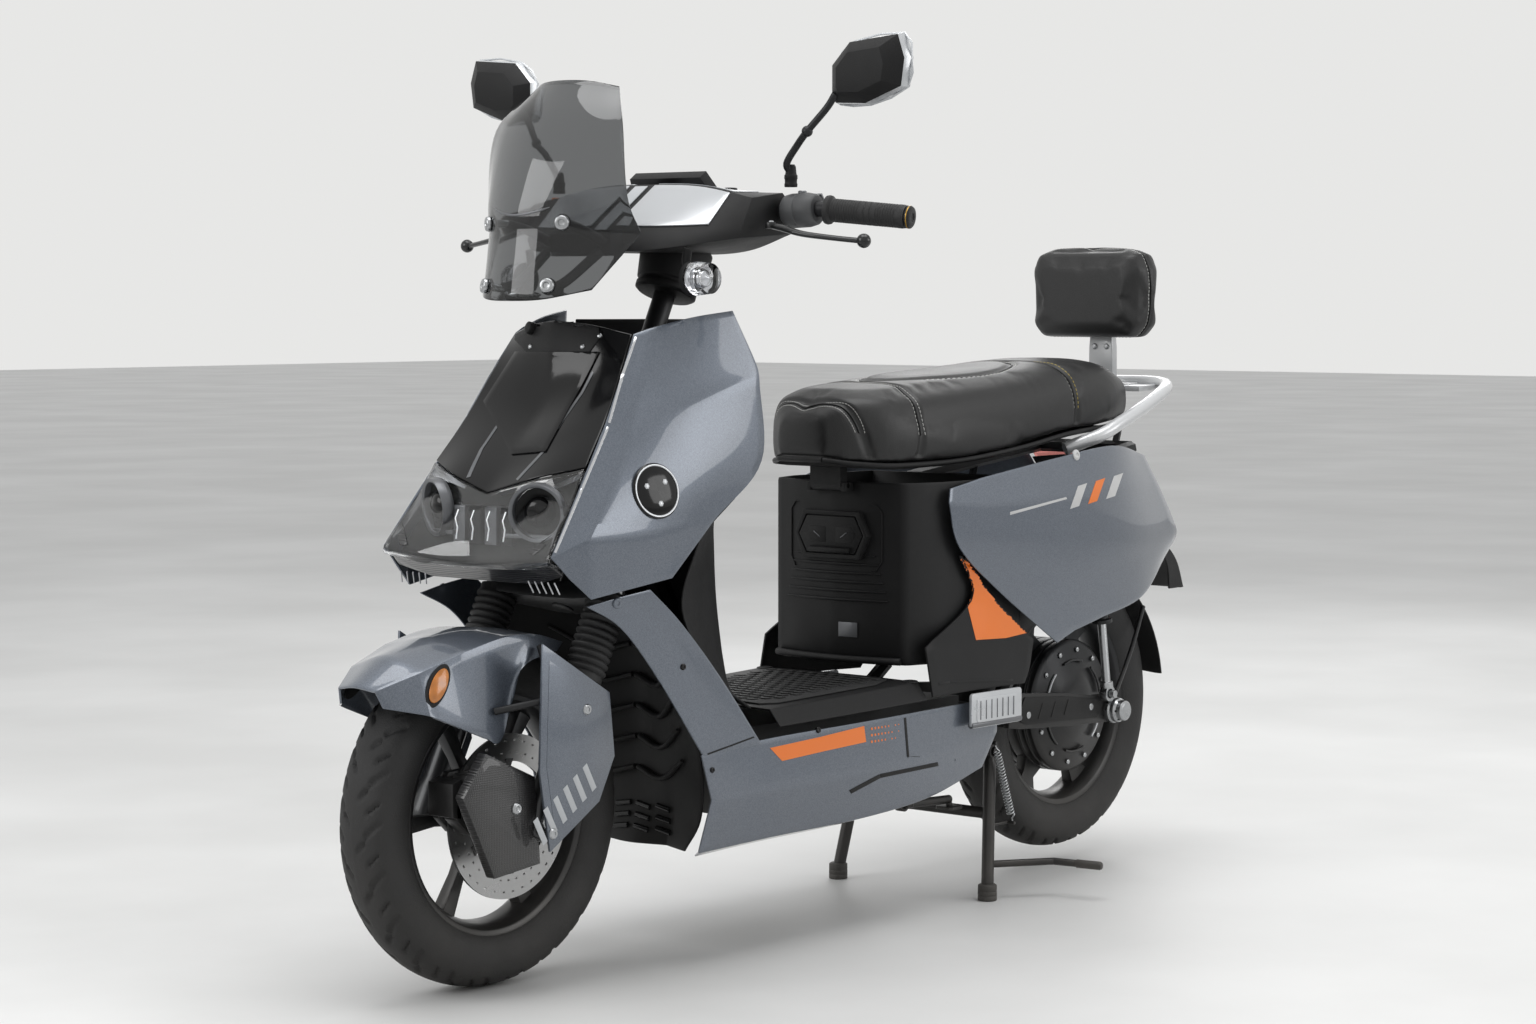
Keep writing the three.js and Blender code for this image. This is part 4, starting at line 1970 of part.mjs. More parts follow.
const fork = new THREE.Group();
fork.position.set(frontAxleX, 0, tyreRadius);
fork.rotation.y = -caster;
fork.add(
  meshOf("steering_stem", steeringStem(), "frameBlack"),
  meshOf("fork_legs", forkLegs(), "frameBlack"),
  meshOf("fork_boot_left", forkBoot(1), "rubber"),
  meshOf("fork_boot_right", forkBoot(-1), "rubber"),
  meshOf("front_fender", frontFender(), "slate"),
);

const frontWheel = new THREE.Group();
frontWheel.position.set(frontAxleX, 0, tyreRadius);
frontWheel.add(
  meshOf("front_tyre", tyre(), "rubber"),
  meshOf("front_rim", frontRim(), "frameBlack"),
  meshOf("brake_disc", brakeDisc(), "steel"),
);

const caliper = new THREE.Group();
caliper.position.copy(frontWheel.position);
caliper.add(meshOf("brake_caliper", brakeCaliper(), "aluminium"));

const bars = new THREE.Group();
bars.add(
  meshOf("handlebar", handlebar(), "steel"),
  meshOf("handlebar_cover", handlebarCover(), "silverPaint"),
  meshOf("windshield", windshield(), "smoke"),
  meshOf("windshield_bracket", windshieldBracket(), "mattBlack"),
  meshOf("grip_left", gripSleeve(1), "rubber"),
  meshOf("throttle_grip", gripSleeve(-1), "rubber"),
  ...mirroredMeshes("switch_pod", switchPod(), "frameBlack"),
  ...mirroredMeshes("brake_lever", brakeLever(), "mattBlack"),
  ...mirroredMeshes("mirror", mirror(), "mattBlack"),
  ...mirroredMeshes("switch_button", switchButton(), "silverPaint"),
  ...mirroredMeshes("turn_signal", turnSignal(), "lens"),
);

const rearWheel = new THREE.Group();
rearWheel.position.set(rearAxleX, 0, rearAxleZ);
rearWheel.add(meshOf("rear_tyre", tyre(), "rubber"), meshOf("rear_hub_motor", rearHubMotor(), "frameBlack"));

const running = new THREE.Group();
running.add(
  meshOf("swingarm", swingarm(), "frameBlack"),
  meshOf("centre_stand", centreStand(), "frameBlack"),
  meshOf("stand_spring", standSpring(), "steel"),
  meshOf("side_stand", sideStand(), "frameBlack"),
);

scooter.add(bodywork, seat, fork, frontWheel, caliper, bars, rearWheel, running);

console.log("least gap between the stand spring's curls: " + leastSpringGap().toFixed(2) + " mm");

export default scooter;
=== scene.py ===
"""Seated electric scooter: the finished pieces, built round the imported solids."""
import math

import bmesh
import bpy
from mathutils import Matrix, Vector
from mathutils.bvhtree import BVHTree


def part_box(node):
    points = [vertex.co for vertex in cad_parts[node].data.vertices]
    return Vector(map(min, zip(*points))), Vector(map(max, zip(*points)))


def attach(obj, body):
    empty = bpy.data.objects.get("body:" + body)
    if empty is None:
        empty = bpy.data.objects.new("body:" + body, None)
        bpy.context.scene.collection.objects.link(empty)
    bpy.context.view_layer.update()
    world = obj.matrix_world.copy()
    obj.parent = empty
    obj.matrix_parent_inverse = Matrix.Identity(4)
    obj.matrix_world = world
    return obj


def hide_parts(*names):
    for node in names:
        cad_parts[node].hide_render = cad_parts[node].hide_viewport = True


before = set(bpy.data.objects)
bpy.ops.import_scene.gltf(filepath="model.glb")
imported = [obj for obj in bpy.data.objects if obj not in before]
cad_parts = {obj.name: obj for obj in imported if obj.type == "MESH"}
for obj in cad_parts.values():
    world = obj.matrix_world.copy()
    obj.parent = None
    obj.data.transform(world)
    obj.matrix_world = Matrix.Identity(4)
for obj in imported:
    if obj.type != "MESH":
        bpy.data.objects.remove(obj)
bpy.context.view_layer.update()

# Camera
# A long lens in front of the scooter's left side, a little above the handlebar.
# Its place and aim are those of the photograph, so a ray through a point of the photograph finds a piece.
PHOTO = (1536, 1024)
FOCAL_PIXELS = 3305.85
camera_place = Vector((3.797, 3.162, 0.930))
camera_turn = math.radians(130.585)
camera_dip = math.radians(3.784)
behind = Vector((
    math.sin(camera_turn) * math.cos(camera_dip),
    -math.cos(camera_turn) * math.cos(camera_dip),
    math.sin(camera_dip),
))
camera_data = bpy.data.cameras.new("camera")
camera = bpy.data.objects.new("camera", camera_data)
bpy.context.scene.collection.objects.link(camera)
camera.location = camera_place
camera.rotation_euler = behind.to_track_quat("Z", "Y").to_euler()
camera_data.lens = FOCAL_PIXELS / PHOTO[0] * camera_data.sensor_width
camera_data.clip_end = 200
bpy.context.scene.camera = camera
bpy.context.view_layer.update()


def sight(u, v):
    """Direction from the camera through a point of the photograph."""
    local = Vector((u - PHOTO[0] / 2, PHOTO[1] / 2 - v, -FOCAL_PIXELS))
    return (camera.matrix_world.to_3x3() @ local).normalized()


# Studio
# A pale concrete floor, an even pale surround, one broad lamp overhead and two soft ones at the sides.
scene = bpy.context.scene
scene.view_settings.view_transform = "Standard"
world = bpy.data.worlds.new("studio")
scene.world = world
world.use_nodes = True
nodes, links = world.node_tree.nodes, world.node_tree.links
nodes.clear()
world_out = nodes.new("ShaderNodeOutputWorld")
surround = nodes.new("ShaderNodeBackground")
backdrop = nodes.new("ShaderNodeBackground")
chooser = nodes.new("ShaderNodeMixShader")
rays = nodes.new("ShaderNodeLightPath")
place = nodes.new("ShaderNodeTexCoord")
heights = nodes.new("ShaderNodeSeparateXYZ")
ramp = nodes.new("ShaderNodeValToRGB")
links.new(place.outputs["Generated"], heights.inputs[0])
links.new(heights.outputs["Z"], ramp.inputs["Fac"])
ramp.color_ramp.elements[0].position = 0.0
ramp.color_ramp.elements[0].color = (0.30, 0.30, 0.29, 1)
ramp.color_ramp.elements[1].position = 0.9
ramp.color_ramp.elements[1].color = (0.95, 0.96, 0.98, 1)
wall_tone = ramp.color_ramp.elements.new(0.12)
wall_tone.color = (0.42, 0.42, 0.41, 1)
high_tone = ramp.color_ramp.elements.new(0.45)
high_tone.color = (0.5, 0.5, 0.5, 1)
links.new(ramp.outputs["Color"], surround.inputs["Color"])
surround.inputs["Strength"].default_value = 0.85
backdrop.inputs["Color"].default_value = (0.80, 0.80, 0.79, 1)
backdrop.inputs["Strength"].default_value = 1
seen_rays = rays.outputs["Is Camera Ray"]
for kind in ("Is Glossy Ray", "Is Transmission Ray"):
    either = nodes.new("ShaderNodeMath")
    either.operation = "MAXIMUM"
    links.new(seen_rays, either.inputs[0])
    links.new(rays.outputs[kind], either.inputs[1])
    seen_rays = either.outputs[0]
links.new(seen_rays, chooser.inputs[0])
links.new(surround.outputs[0], chooser.inputs[1])
links.new(backdrop.outputs[0], chooser.inputs[2])
links.new(chooser.outputs[0], world_out.inputs[0])


def soft_lamp(name, place, target, size, power):
    data = bpy.data.lights.new(name, "AREA")
    data.shape = "RECTANGLE"
    data.size, data.size_y = size
    data.energy = power
    lamp = bpy.data.objects.new(name, data)
    scene.collection.objects.link(lamp)
    lamp.location = place
    lamp.rotation_euler = (Vector(place) - Vector(target)).to_track_quat("Z", "Y").to_euler()


soft_lamp("overhead", (0.2, 0.3, 4.2), (0, 0, 0.4), (3.4, 2.4), 92)
soft_lamp("front_side", (4.2, -1.6, 2.6), (0.3, 0, 0.6), (2.6, 2.0), 62)
soft_lamp("left_side", (-2.2, 4.4, 2.2), (-0.2, 0, 0.6), (2.4, 2.0), 46)
soft_lamp("rear", (-4.2, -2.0, 2.8), (-0.3, 0, 0.7), (2.4, 1.8), 40)

FLOOR_REACH = 30
floor_corners = [(x * FLOOR_REACH, y * FLOOR_REACH, 0) for x, y in ((-1, -1), (1, -1), (1, 1), (-1, 1))]
floor_mesh = bpy.data.meshes.new("floor")
floor_mesh.from_pydata(floor_corners, [], [(0, 1, 2, 3)])
floor = bpy.data.objects.new("floor", floor_mesh)
scene.collection.objects.link(floor)
concrete = bpy.data.materials.new("concrete")
concrete.use_nodes = True
nodes, links = concrete.node_tree.nodes, concrete.node_tree.links
shader = nodes["Principled BSDF"]
spots = nodes.new("ShaderNodeTexNoise")
spots.inputs["Scale"].default_value = 1.1
spots.inputs["Detail"].default_value = 9
place = nodes.new("ShaderNodeTexCoord")
links.new(place.outputs["Object"], spots.inputs["Vector"])
tones = nodes.new("ShaderNodeValToRGB")
tones.color_ramp.elements[0].position = 0.35
tones.color_ramp.elements[0].color = (0.60, 0.60, 0.59, 1)
tones.color_ramp.elements[1].position = 0.7
tones.color_ramp.elements[1].color = (0.72, 0.72, 0.71, 1)
links.new(spots.outputs["Fac"], tones.inputs["Fac"])
links.new(tones.outputs["Color"], shader.inputs["Base Color"])
sheen_range = nodes.new("ShaderNodeMapRange")
sheen_range.inputs["To Min"].default_value = 0.42
sheen_range.inputs["To Max"].default_value = 0.62
links.new(spots.outputs["Fac"], sheen_range.inputs["Value"])
links.new(sheen_range.outputs["Result"], shader.inputs["Roughness"])
floor_mesh.materials.append(concrete)

# Painted body panels
# Injection-moulded panels in slate metallic paint under clear lacquer, clipped and screwed to the frame.
# The same groups of shader nodes give every finish of the scooter its tone, grain, worn edges and dust.


def node_group(name, inputs, outputs):
    """An empty shader group with its sockets: inputs give name, kind and value, outputs name and kind."""
    group = bpy.data.node_groups.new(name, "ShaderNodeTree")
    kinds = {"colour": "NodeSocketColor", "value": "NodeSocketFloat"}
    for label, kind, value in inputs:
        socket = group.interface.new_socket(label, in_out="INPUT", socket_type=kinds[kind])
        socket.default_value = value
    for label, kind in outputs:
        group.interface.new_socket(label, in_out="OUTPUT", socket_type=kinds[kind])
    enter = group.nodes.new("NodeGroupInput")
    leave = group.nodes.new("NodeGroupOutput")
    return group, enter, leave


def wire(tree, source, target):
    tree.links.new(source, target)


def maths(tree, operation, first, second=None):
    """A math node on sockets or plain numbers."""
    node = tree.nodes.new("ShaderNodeMath")
    node.operation = operation
    for socket, value in zip(node.inputs, (first, second)):
        if value is None:
            continue
        if isinstance(value, (int, float)):
            socket.default_value = value
        else:
            wire(tree, value, socket)
    return node.outputs[0]


def blended(tree, share, first, second):
    """A colour between two, each a socket or a plain colour."""
    node = tree.nodes.new("ShaderNodeMix")
    node.data_type = "RGBA"
    for socket, value in (
        (node.inputs["Factor"], share), (node.inputs["A"], first), (node.inputs["B"], second),
    ):
        if isinstance(value, (int, float, tuple)):
            socket.default_value = value
        else:
            wire(tree, value, socket)
    return node.outputs["Result"]


def speckle(tree, scale, detail=4.0, stretch=None):
    """A noise over the piece's own place, its scale a socket or a number."""
    place = tree.nodes.new("ShaderNodeTexCoord")
    source = place.outputs["Object"]
    if stretch:
        spread = tree.nodes.new("ShaderNodeMapping")
        spread.inputs["Scale"].default_value = stretch
        wire(tree, source, spread.inputs["Vector"])
        source = spread.outputs["Vector"]
    field = tree.nodes.new("ShaderNodeTexNoise")
    field.inputs["Detail"].default_value = detail
    wire(tree, source, field.inputs["Vector"])
    if isinstance(scale, (int, float)):
        field.inputs["Scale"].default_value = scale
    else:
        wire(tree, scale, field.inputs["Scale"])
    return field.outputs["Fac"]


grey = (0.5, 0.5, 0.5, 1)
tone_group, enter, leave = node_group(
    "tone variation",
    [("Colour", "colour", grey), ("Amount", "value", 0.15), ("Scale", "value", 6.0)],
    [("Colour", "colour")],
)
darker = blended(tone_group, 0.45, enter.outputs["Colour"], (0, 0, 0, 1))
patches = speckle(tone_group, enter.outputs["Scale"], 6)
share = maths(tone_group, "MULTIPLY", patches, enter.outputs["Amount"])
wire(tone_group, blended(tone_group, share, enter.outputs["Colour"], darker), leave.inputs["Colour"])

wear_group, enter, leave = node_group(
    "edge wear",
    [("Colour", "colour", grey), ("Worn Colour", "colour", grey), ("Amount", "value", 0.3)],
    [("Colour", "colour"), ("Mask", "value")],
)
surface = wear_group.nodes.new("ShaderNodeNewGeometry")
sharp = wear_group.nodes.new("ShaderNodeMapRange")
sharp.inputs["From Min"].default_value = 0.53
sharp.inputs["From Max"].default_value = 0.62
wire(wear_group, surface.outputs["Pointiness"], sharp.inputs["Value"])
chips = maths(wear_group, "MULTIPLY", sharp.outputs["Result"], speckle(wear_group, 90.0, 5))
mask = maths(wear_group, "MULTIPLY", chips, enter.outputs["Amount"])
wire(wear_group, mask, leave.inputs["Mask"])
wire(
    wear_group, blended(wear_group, mask, enter.outputs["Colour"], enter.outputs["Worn Colour"]),
    leave.inputs["Colour"],
)

dust_group, enter, leave = node_group(
    "road dust",
    [("Colour", "colour", grey), ("Amount", "value", 0.2), ("Level", "value", 0.35)],
    [("Colour", "colour"), ("Mask", "value")],
)
place = dust_group.nodes.new("ShaderNodeNewGeometry")
heights = dust_group.nodes.new("ShaderNodeSeparateXYZ")
wire(dust_group, place.outputs["Position"], heights.inputs[0])
low = dust_group.nodes.new("ShaderNodeMapRange")
low.inputs["From Min"].default_value = 0.0
low.inputs["To Min"].default_value = 1.0
low.inputs["To Max"].default_value = 0.0
wire(dust_group, heights.outputs["Z"], low.inputs["Value"])
wire(dust_group, enter.outputs["Level"], low.inputs["From Max"])
drift = maths(dust_group, "MULTIPLY", low.outputs["Result"], speckle(dust_group, 14.0, 8))
mask = maths(dust_group, "MULTIPLY", drift, enter.outputs["Amount"])
wire(dust_group, mask, leave.inputs["Mask"])
wire(
    dust_group, blended(dust_group, mask, enter.outputs["Colour"], (0.33, 0.30, 0.26, 1)),
    leave.inputs["Colour"],
)

grain_group, enter, leave = node_group(
    "moulded grain",
    [("Scale", "value", 900.0)],
    [("Height", "value"), ("Patches", "value")],
)
cells = grain_group.nodes.new("ShaderNodeTexVoronoi")
place = grain_group.nodes.new("ShaderNodeTexCoord")
wire(grain_group, place.outputs["Object"], cells.inputs["Vector"])
wire(grain_group, enter.outputs["Scale"], cells.inputs["Scale"])
fine = speckle(grain_group, enter.outputs["Scale"], 3)
wire(
    grain_group,
    maths(grain_group, "ADD", maths(grain_group, "MULTIPLY", cells.outputs["Distance"], 0.6), fine),
    leave.inputs["Height"],
)
wire(grain_group, speckle(grain_group, 22.0, 6), leave.inputs["Patches"])

fleck_group, enter, leave = node_group(
    "metal flecks",
    [("Colour", "colour", grey), ("Scale", "value", 1500.0), ("Amount", "value", 0.25)],
    [("Colour", "colour"), ("Sparkle", "value")],
)
cells = fleck_group.nodes.new("ShaderNodeTexVoronoi")
place = fleck_group.nodes.new("ShaderNodeTexCoord")
wire(fleck_group, place.outputs["Object"], cells.inputs["Vector"])
wire(fleck_group, enter.outputs["Scale"], cells.inputs["Scale"])
bright = maths(fleck_group, "MULTIPLY", cells.outputs["Color"], enter.outputs["Amount"])
wire(
    fleck_group, blended(fleck_group, bright, enter.outputs["Colour"], (0.62, 0.68, 0.78, 1)),
    leave.inputs["Colour"],
)
wire(fleck_group, cells.outputs["Color"], leave.inputs["Sparkle"])

leather_group, enter, leave = node_group(
    "leather grain",
    [("Scale", "value", 420.0)],
    [("Height", "value"), ("Patches", "value")],
)
creases = leather_group.nodes.new("ShaderNodeTexVoronoi")
creases.feature = "DISTANCE_TO_EDGE"
place = leather_group.nodes.new("ShaderNodeTexCoord")
wire(leather_group, place.outputs["Object"], creases.inputs["Vector"])
wire(leather_group, enter.outputs["Scale"], creases.inputs["Scale"])
pebbles = maths(
    leather_group, "MINIMUM", maths(leather_group, "MULTIPLY", creases.outputs["Distance"], 3.0), 0.5,
)
wire(
    leather_group,
    maths(
        leather_group, "ADD", pebbles, maths(leather_group, "MULTIPLY", speckle(leather_group, 60.0, 4), 0.4),
    ),
    leave.inputs["Height"],
)
wire(leather_group, speckle(leather_group, 9.0, 5), leave.inputs["Patches"])

brush_group, enter, leave = node_group(
    "drawn metal",
    [("Scale", "value", 60.0)],
    [("Height", "value"), ("Patches", "value")],
)
wire(brush_group, speckle(brush_group, enter.outputs["Scale"], 5, (1.0, 1.0, 14.0)), leave.inputs["Height"])
wire(brush_group, speckle(brush_group, 30.0, 6), leave.inputs["Patches"])

weave_group, enter, leave = node_group(
    "twill weave",
    [("Scale", "value", 900.0)],
    [("Height", "value"), ("Patches", "value")],
)
place = weave_group.nodes.new("ShaderNodeTexCoord")
turned_place = weave_group.nodes.new("ShaderNodeMapping")
turned_place.inputs["Rotation"].default_value = (0, math.radians(45), 0)
wire(weave_group, place.outputs["Object"], turned_place.inputs["Vector"])
axes = weave_group.nodes.new("ShaderNodeSeparateXYZ")
wire(weave_group, turned_place.outputs["Vector"], axes.inputs[0])
warp = maths(weave_group, "SINE", maths(weave_group, "MULTIPLY", axes.outputs["X"], enter.outputs["Scale"]))
weft = maths(weave_group, "SINE", maths(weave_group, "MULTIPLY", axes.outputs["Z"], enter.outputs["Scale"]))
twill = maths(weave_group, "MULTIPLY", warp, weft)
wire(
    weave_group, maths(weave_group, "ADD", maths(weave_group, "MULTIPLY", twill, 0.5), 0.5),
    leave.inputs["Height"],
)
wire(
    weave_group, maths(weave_group, "ADD", maths(weave_group, "MULTIPLY", twill, 0.5), 0.5),
    leave.inputs["Patches"],
)


def place_group(tree, group, **values):
    node = tree.nodes.new("ShaderNodeGroup")
    node.node_tree = group
    for label, value in values.items():
        socket = node.inputs[label.replace("_", " ")]
        if isinstance(value, (int, float, tuple)):
            socket.default_value = value
        else:
            wire(tree, value, socket)
    return node


def finish(name, colour, roughness, metallic=0.0, coat=0.0, texture=None, scale=900.0, relief=0.05,
           variation=0.2, worn=(0.3, 0.3, 0.3), wear=0.25, dust=0.0, spread=0.08, flecks=0.0, hollow_shade=0.0):
    """A finish of the scooter: colour with tone, flecks, worn edges and dust, its sheen and fine relief;
    where asked, the colour is darkened where the relief is low, a painted shade in its hollows.
    """
    material = bpy.data.materials.new(name)
    material.use_nodes = True
    tree = material.node_tree
    shader = tree.nodes["Principled BSDF"]
    shader.inputs["Metallic"].default_value = metallic
    shader.inputs["Coat Weight"].default_value = coat
    shader.inputs["Coat Roughness"].default_value = 0.04
    tone = place_group(tree, tone_group, Colour=(*colour, 1), Amount=variation)
    shade = tone.outputs["Colour"]
    if flecks:
        shade = place_group(tree, fleck_group, Colour=shade, Amount=flecks).outputs["Colour"]
    relief_node = place_group(tree, texture or grain_group, Scale=scale)
    # Painted shade: the colour is darkened where the relief is low, in the hollows of the grain; on the woven
    # looks this also draws their pattern.
    if hollow_shade:
        deep = blended(tree, hollow_shade, shade, (0.002, 0.002, 0.002, 1))
        shade = blended(tree, relief_node.outputs["Height"], deep, shade)
    edges = place_group(tree, wear_group, Colour=shade, Worn_Colour=(*worn, 1), Amount=wear)
    shade = edges.outputs["Colour"]
    if dust:
        shade = place_group(tree, dust_group, Colour=shade, Amount=dust).outputs["Colour"]
    wire(tree, shade, shader.inputs["Base Color"])
    sheen = tree.nodes.new("ShaderNodeMapRange")
    sheen.inputs["To Min"].default_value = max(0.02, roughness - spread)
    sheen.inputs["To Max"].default_value = min(1.0, roughness + spread)
    wire(tree, relief_node.outputs["Patches"], sheen.inputs["Value"])
    wire(tree, sheen.outputs["Result"], shader.inputs["Roughness"])
    bump = tree.nodes.new("ShaderNodeBump")
    bump.inputs["Strength"].default_value = relief
    bump.inputs["Distance"].default_value = 0.001
    wire(tree, relief_node.outputs["Height"], bump.inputs["Height"])
    wire(tree, bump.outputs["Normal"], shader.inputs["Normal"])
    return material


slate = finish("slate paint", (0.072, 0.087, 0.112), 0.32, metallic=0.5, coat=0.8, scale=700, relief=0.01,
               variation=0.12, worn=(0.25, 0.27, 0.3), wear=0.2, dust=0.12, spread=0.05, flecks=0.18)
gloss_black = finish("gloss black", (0.004, 0.004, 0.0045), 0.12, coat=0.15, scale=500, relief=0.006,
                     variation=0.1, worn=(0.08, 0.08, 0.08), wear=0.2, spread=0.03)
matt_black = finish("matt black plastic", (0.009, 0.009, 0.0095), 0.52, scale=1100, relief=0.22,
                    variation=0.25, worn=(0.06, 0.06, 0.06), wear=0.3, dust=0.07)
DEEP_BLACK_GLOSS = 0.25
for black in (gloss_black, matt_black):
    black.node_tree.nodes["Principled BSDF"].inputs["Specular IOR Level"].default_value = DEEP_BLACK_GLOSS
orange = finish("orange film", (0.88, 0.20, 0.018), 0.36, coat=0.35, scale=800, relief=0.03,
                variation=0.1, worn=(0.6, 0.2, 0.05), wear=0.1, dust=0.1)

# Driving sizes of the bodywork, in metres. ZONE is the room kept round each wheel, BAY lies between.
SIDES = ((1, "left"), (-1, "right"))
WHEELBASE = 1.3
TYRE_RADIUS = 0.2335
ZONE = 0.25
BAY = WHEELBASE - 2 * ZONE
FRONT_AXLE = Vector((0.69825, 0, TYRE_RADIUS))
REAR_WHEEL_LIFT = 0.025
REAR_AXLE = Vector((FRONT_AXLE.x - WHEELBASE, 0, TYRE_RADIUS + REAR_WHEEL_LIFT))
HALF_BODY = 0.2
DECK_LEVEL = 0.5
SEAM = 0.003
PANEL = 0.003


def station(share):
    """Along the bodywork: 0 at the front axle, 1 behind the front wheel, 2 ahead of the rear wheel."""
    if share < 1:
        return FRONT_AXLE.x - ZONE * share
    if share < 2:
        return FRONT_AXLE.x - ZONE - BAY * (share - 1)
    return FRONT_AXLE.x - ZONE - BAY - ZONE * (share - 2)


def at(shares, side=1):
    """A place on the bodywork from its shares along, across and up."""
    along, across, up = shares
    return Vector((station(along), HALF_BODY * across * side, DECK_LEVEL * up))


def refined(points, steps, creases=()):
    """A smooth curve through the points, with a corner at each crease."""
    last = len(points) - 1
    fine = []
    for k in range(last):
        start, end = points[k], points[k + 1]
        before = points[k - 1] if k and k not in creases else start * 2 - end
        after = points[k + 2] if k + 1 < last and k + 1 not in creases else end * 2 - start
        for step in range(steps):
            t = step / steps
            fine.append(0.5 * (
                start * 2
                + (end - before) * t
                + (before * 2 - start * 5 + end * 4 - after) * t ** 2
                + (start * 3 - before - end * 3 + after) * t ** 3
            ))
    fine.append(points[last].copy())
    return fine


def whole(half):
    """A row from one side to the middle, carried on to the other side."""
    return half + [Vector((p.x, -p.y, p.z)) for p in reversed(half[:-1])]


def skin(rows, inside, row_creases=(), column_creases=(), steps=8, inset=SEAM / 2, thickness=PANEL):
    """A moulded panel: a smooth outside through the rows of points, with an even wall behind."""
    across = [refined(row, steps, column_creases) for row in rows]
    columns = [refined([row[j] for row in across], steps, row_creases) for j in range(len(across[0]))]
    grid = [[columns[j][i] for j in range(len(columns))] for i in range(len(columns[0]))]
    height, width = len(grid), len(grid[0])
    if inset:
        for row in grid:
            row[0] = row[0] + (row[1] - row[0]).normalized() * inset
            row[-1] = row[-1] + (row[-2] - row[-1]).normalized() * inset
        for j in range(width):
            grid[0][j] = grid[0][j] + (grid[1][j] - grid[0][j]).normalized() * inset
            grid[-1][j] = grid[-1][j] + (grid[-2][j] - grid[-1][j]).normalized() * inset
    normals = [[Vector() for _ in range(width)] for _ in range(height)]
    for i in range(height - 1):
        for j in range(width - 1):
            normal = (grid[i + 1][j + 1] - grid[i][j]).cross(grid[i + 1][j] - grid[i][j + 1]).normalized()
            for k, l in ((i, j), (i + 1, j), (i, j + 1), (i + 1, j + 1)):
                normals[k][l] = normals[k][l] + normal
    agreement = sum(
        (grid[i][j] - inside).dot(normals[i][j].normalized())
        for i in range(height)
        for j in range(width)
    )
    depth = -thickness if agreement > 0 else thickness
    outer = [point for row in grid for point in row]
    inner = [grid[i][j] + normals[i][j].normalized() * depth for i in range(height) for j in range(width)]
    back = len(outer)
    faces = []
    for i in range(height - 1):
        for j in range(width - 1):
            around = [i * width + j, (i + 1) * width + j, (i + 1) * width + j + 1, i * width + j + 1]
            faces.append(around)
            faces.append([k + back for k in reversed(around)])
    rim = list(range(width - 1))
    rim += [i * width + width - 1 for i in range(height - 1)]
    rim += [(height - 1) * width + j for j in range(width - 1, 0, -1)]
    rim += [i * width for i in range(height - 1, 0, -1)]
    for step, here in enumerate(rim):
        there = rim[(step + 1) % len(rim)]
        faces.append([here, there, there + back, here + back])
    return outer + inner, faces


def mirrored(shape):
    """The same shape for the other side."""
    points, faces = shape
    return [Vector((p.x, -p.y, p.z)) for p in points], [list(reversed(face)) for face in faces]


def both(shape):
    return [shape, mirrored(shape)]


def piece(
    name, shapes, material, body, stands_for=(), bevel=0.0, angle=32, segments=2, finishes=(),
):
    """One object from shapes, each points with faces and an optional number of its finish."""
    points, faces, kinds = [], [], []
    for shape in shapes:
        first = len(points)
        points += [tuple(p) for p in shape[0]]
        faces += [[k + first for k in face] for face in shape[1]]
        kinds += [shape[2] if len(shape) > 2 else 0] * len(shape[1])
    mesh = bpy.data.meshes.new(name)
    mesh.from_pydata(points, [], faces)
    for finish_used in (material, *finishes):
        mesh.materials.append(finish_used)
    mesh.polygons.foreach_set("material_index", kinds)
    work = bmesh.new()
    work.from_mesh(mesh)
    bmesh.ops.remove_doubles(work, verts=work.verts, dist=1e-6)
    bmesh.ops.recalc_face_normals(work, faces=work.faces)
    work.to_mesh(mesh)
    work.free()
    made = bpy.data.objects.new(name, mesh)
    scene.collection.objects.link(made)
    if bevel:
        rounding = made.modifiers.new("rounded edges", "BEVEL")
        rounding.width = bevel
        rounding.segments = segments
        rounding.limit_method = "ANGLE"
        rounding.angle_limit = math.radians(angle)
        rounding.harden_normals = False
        settle(made)
    made.data.shade_smooth()
    made.data.set_sharp_from_angle(angle=math.radians(angle))
    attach(made, body)
    if stands_for:
        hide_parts(*([stands_for] if isinstance(stands_for, str) else stands_for))
    return made


def in_finish(number, *shapes):
    """Marks shapes with the number of their finish on the piece."""
    return [(*shape, number) for shape in shapes]


def settle(made):
    """Turns what the modifiers give into the object's own mesh."""
    bpy.context.view_layer.update()
    graph = bpy.context.evaluated_depsgraph_get()
    mesh = bpy.data.meshes.new_from_object(made.evaluated_get(graph), depsgraph=graph)
    made.modifiers.clear()
    made.data = mesh


BODY_MIDDLE = at((1.5, 0, 1))
FAIRING = [
    [(0.724, 0.56, 1.752), (0.82, 0.605, 1.768), (1.0225, 0.71, 1.798), (1.1025, 0.8, 1.816)],
    [(0.56, 0.62, 1.63), (0.64, 0.7, 1.616), (1.006, 0.83, 1.636), (1.1275, 0.92, 1.676)],
    [(0.412, 0.665, 1.518), (0.484, 0.76, 1.48), (0.96, 0.88, 1.562), (1.13, 0.95, 1.636)],
    [(0.12, 0.74, 1.328), (0.28, 0.85, 1.32), (0.84, 0.95, 1.38), (1.125, 0.99, 1.4)],
    [(-0.116, 0.795, 1.172), (0.112, 0.89, 1.22), (0.6, 0.96, 1.22), (1.006, 0.98, 1.248)],
    [(0.008, 0.825, 1.112), (0.132, 0.87, 1.054), (0.412, 0.92, 1.076), (0.692, 0.955, 1.096)],
]
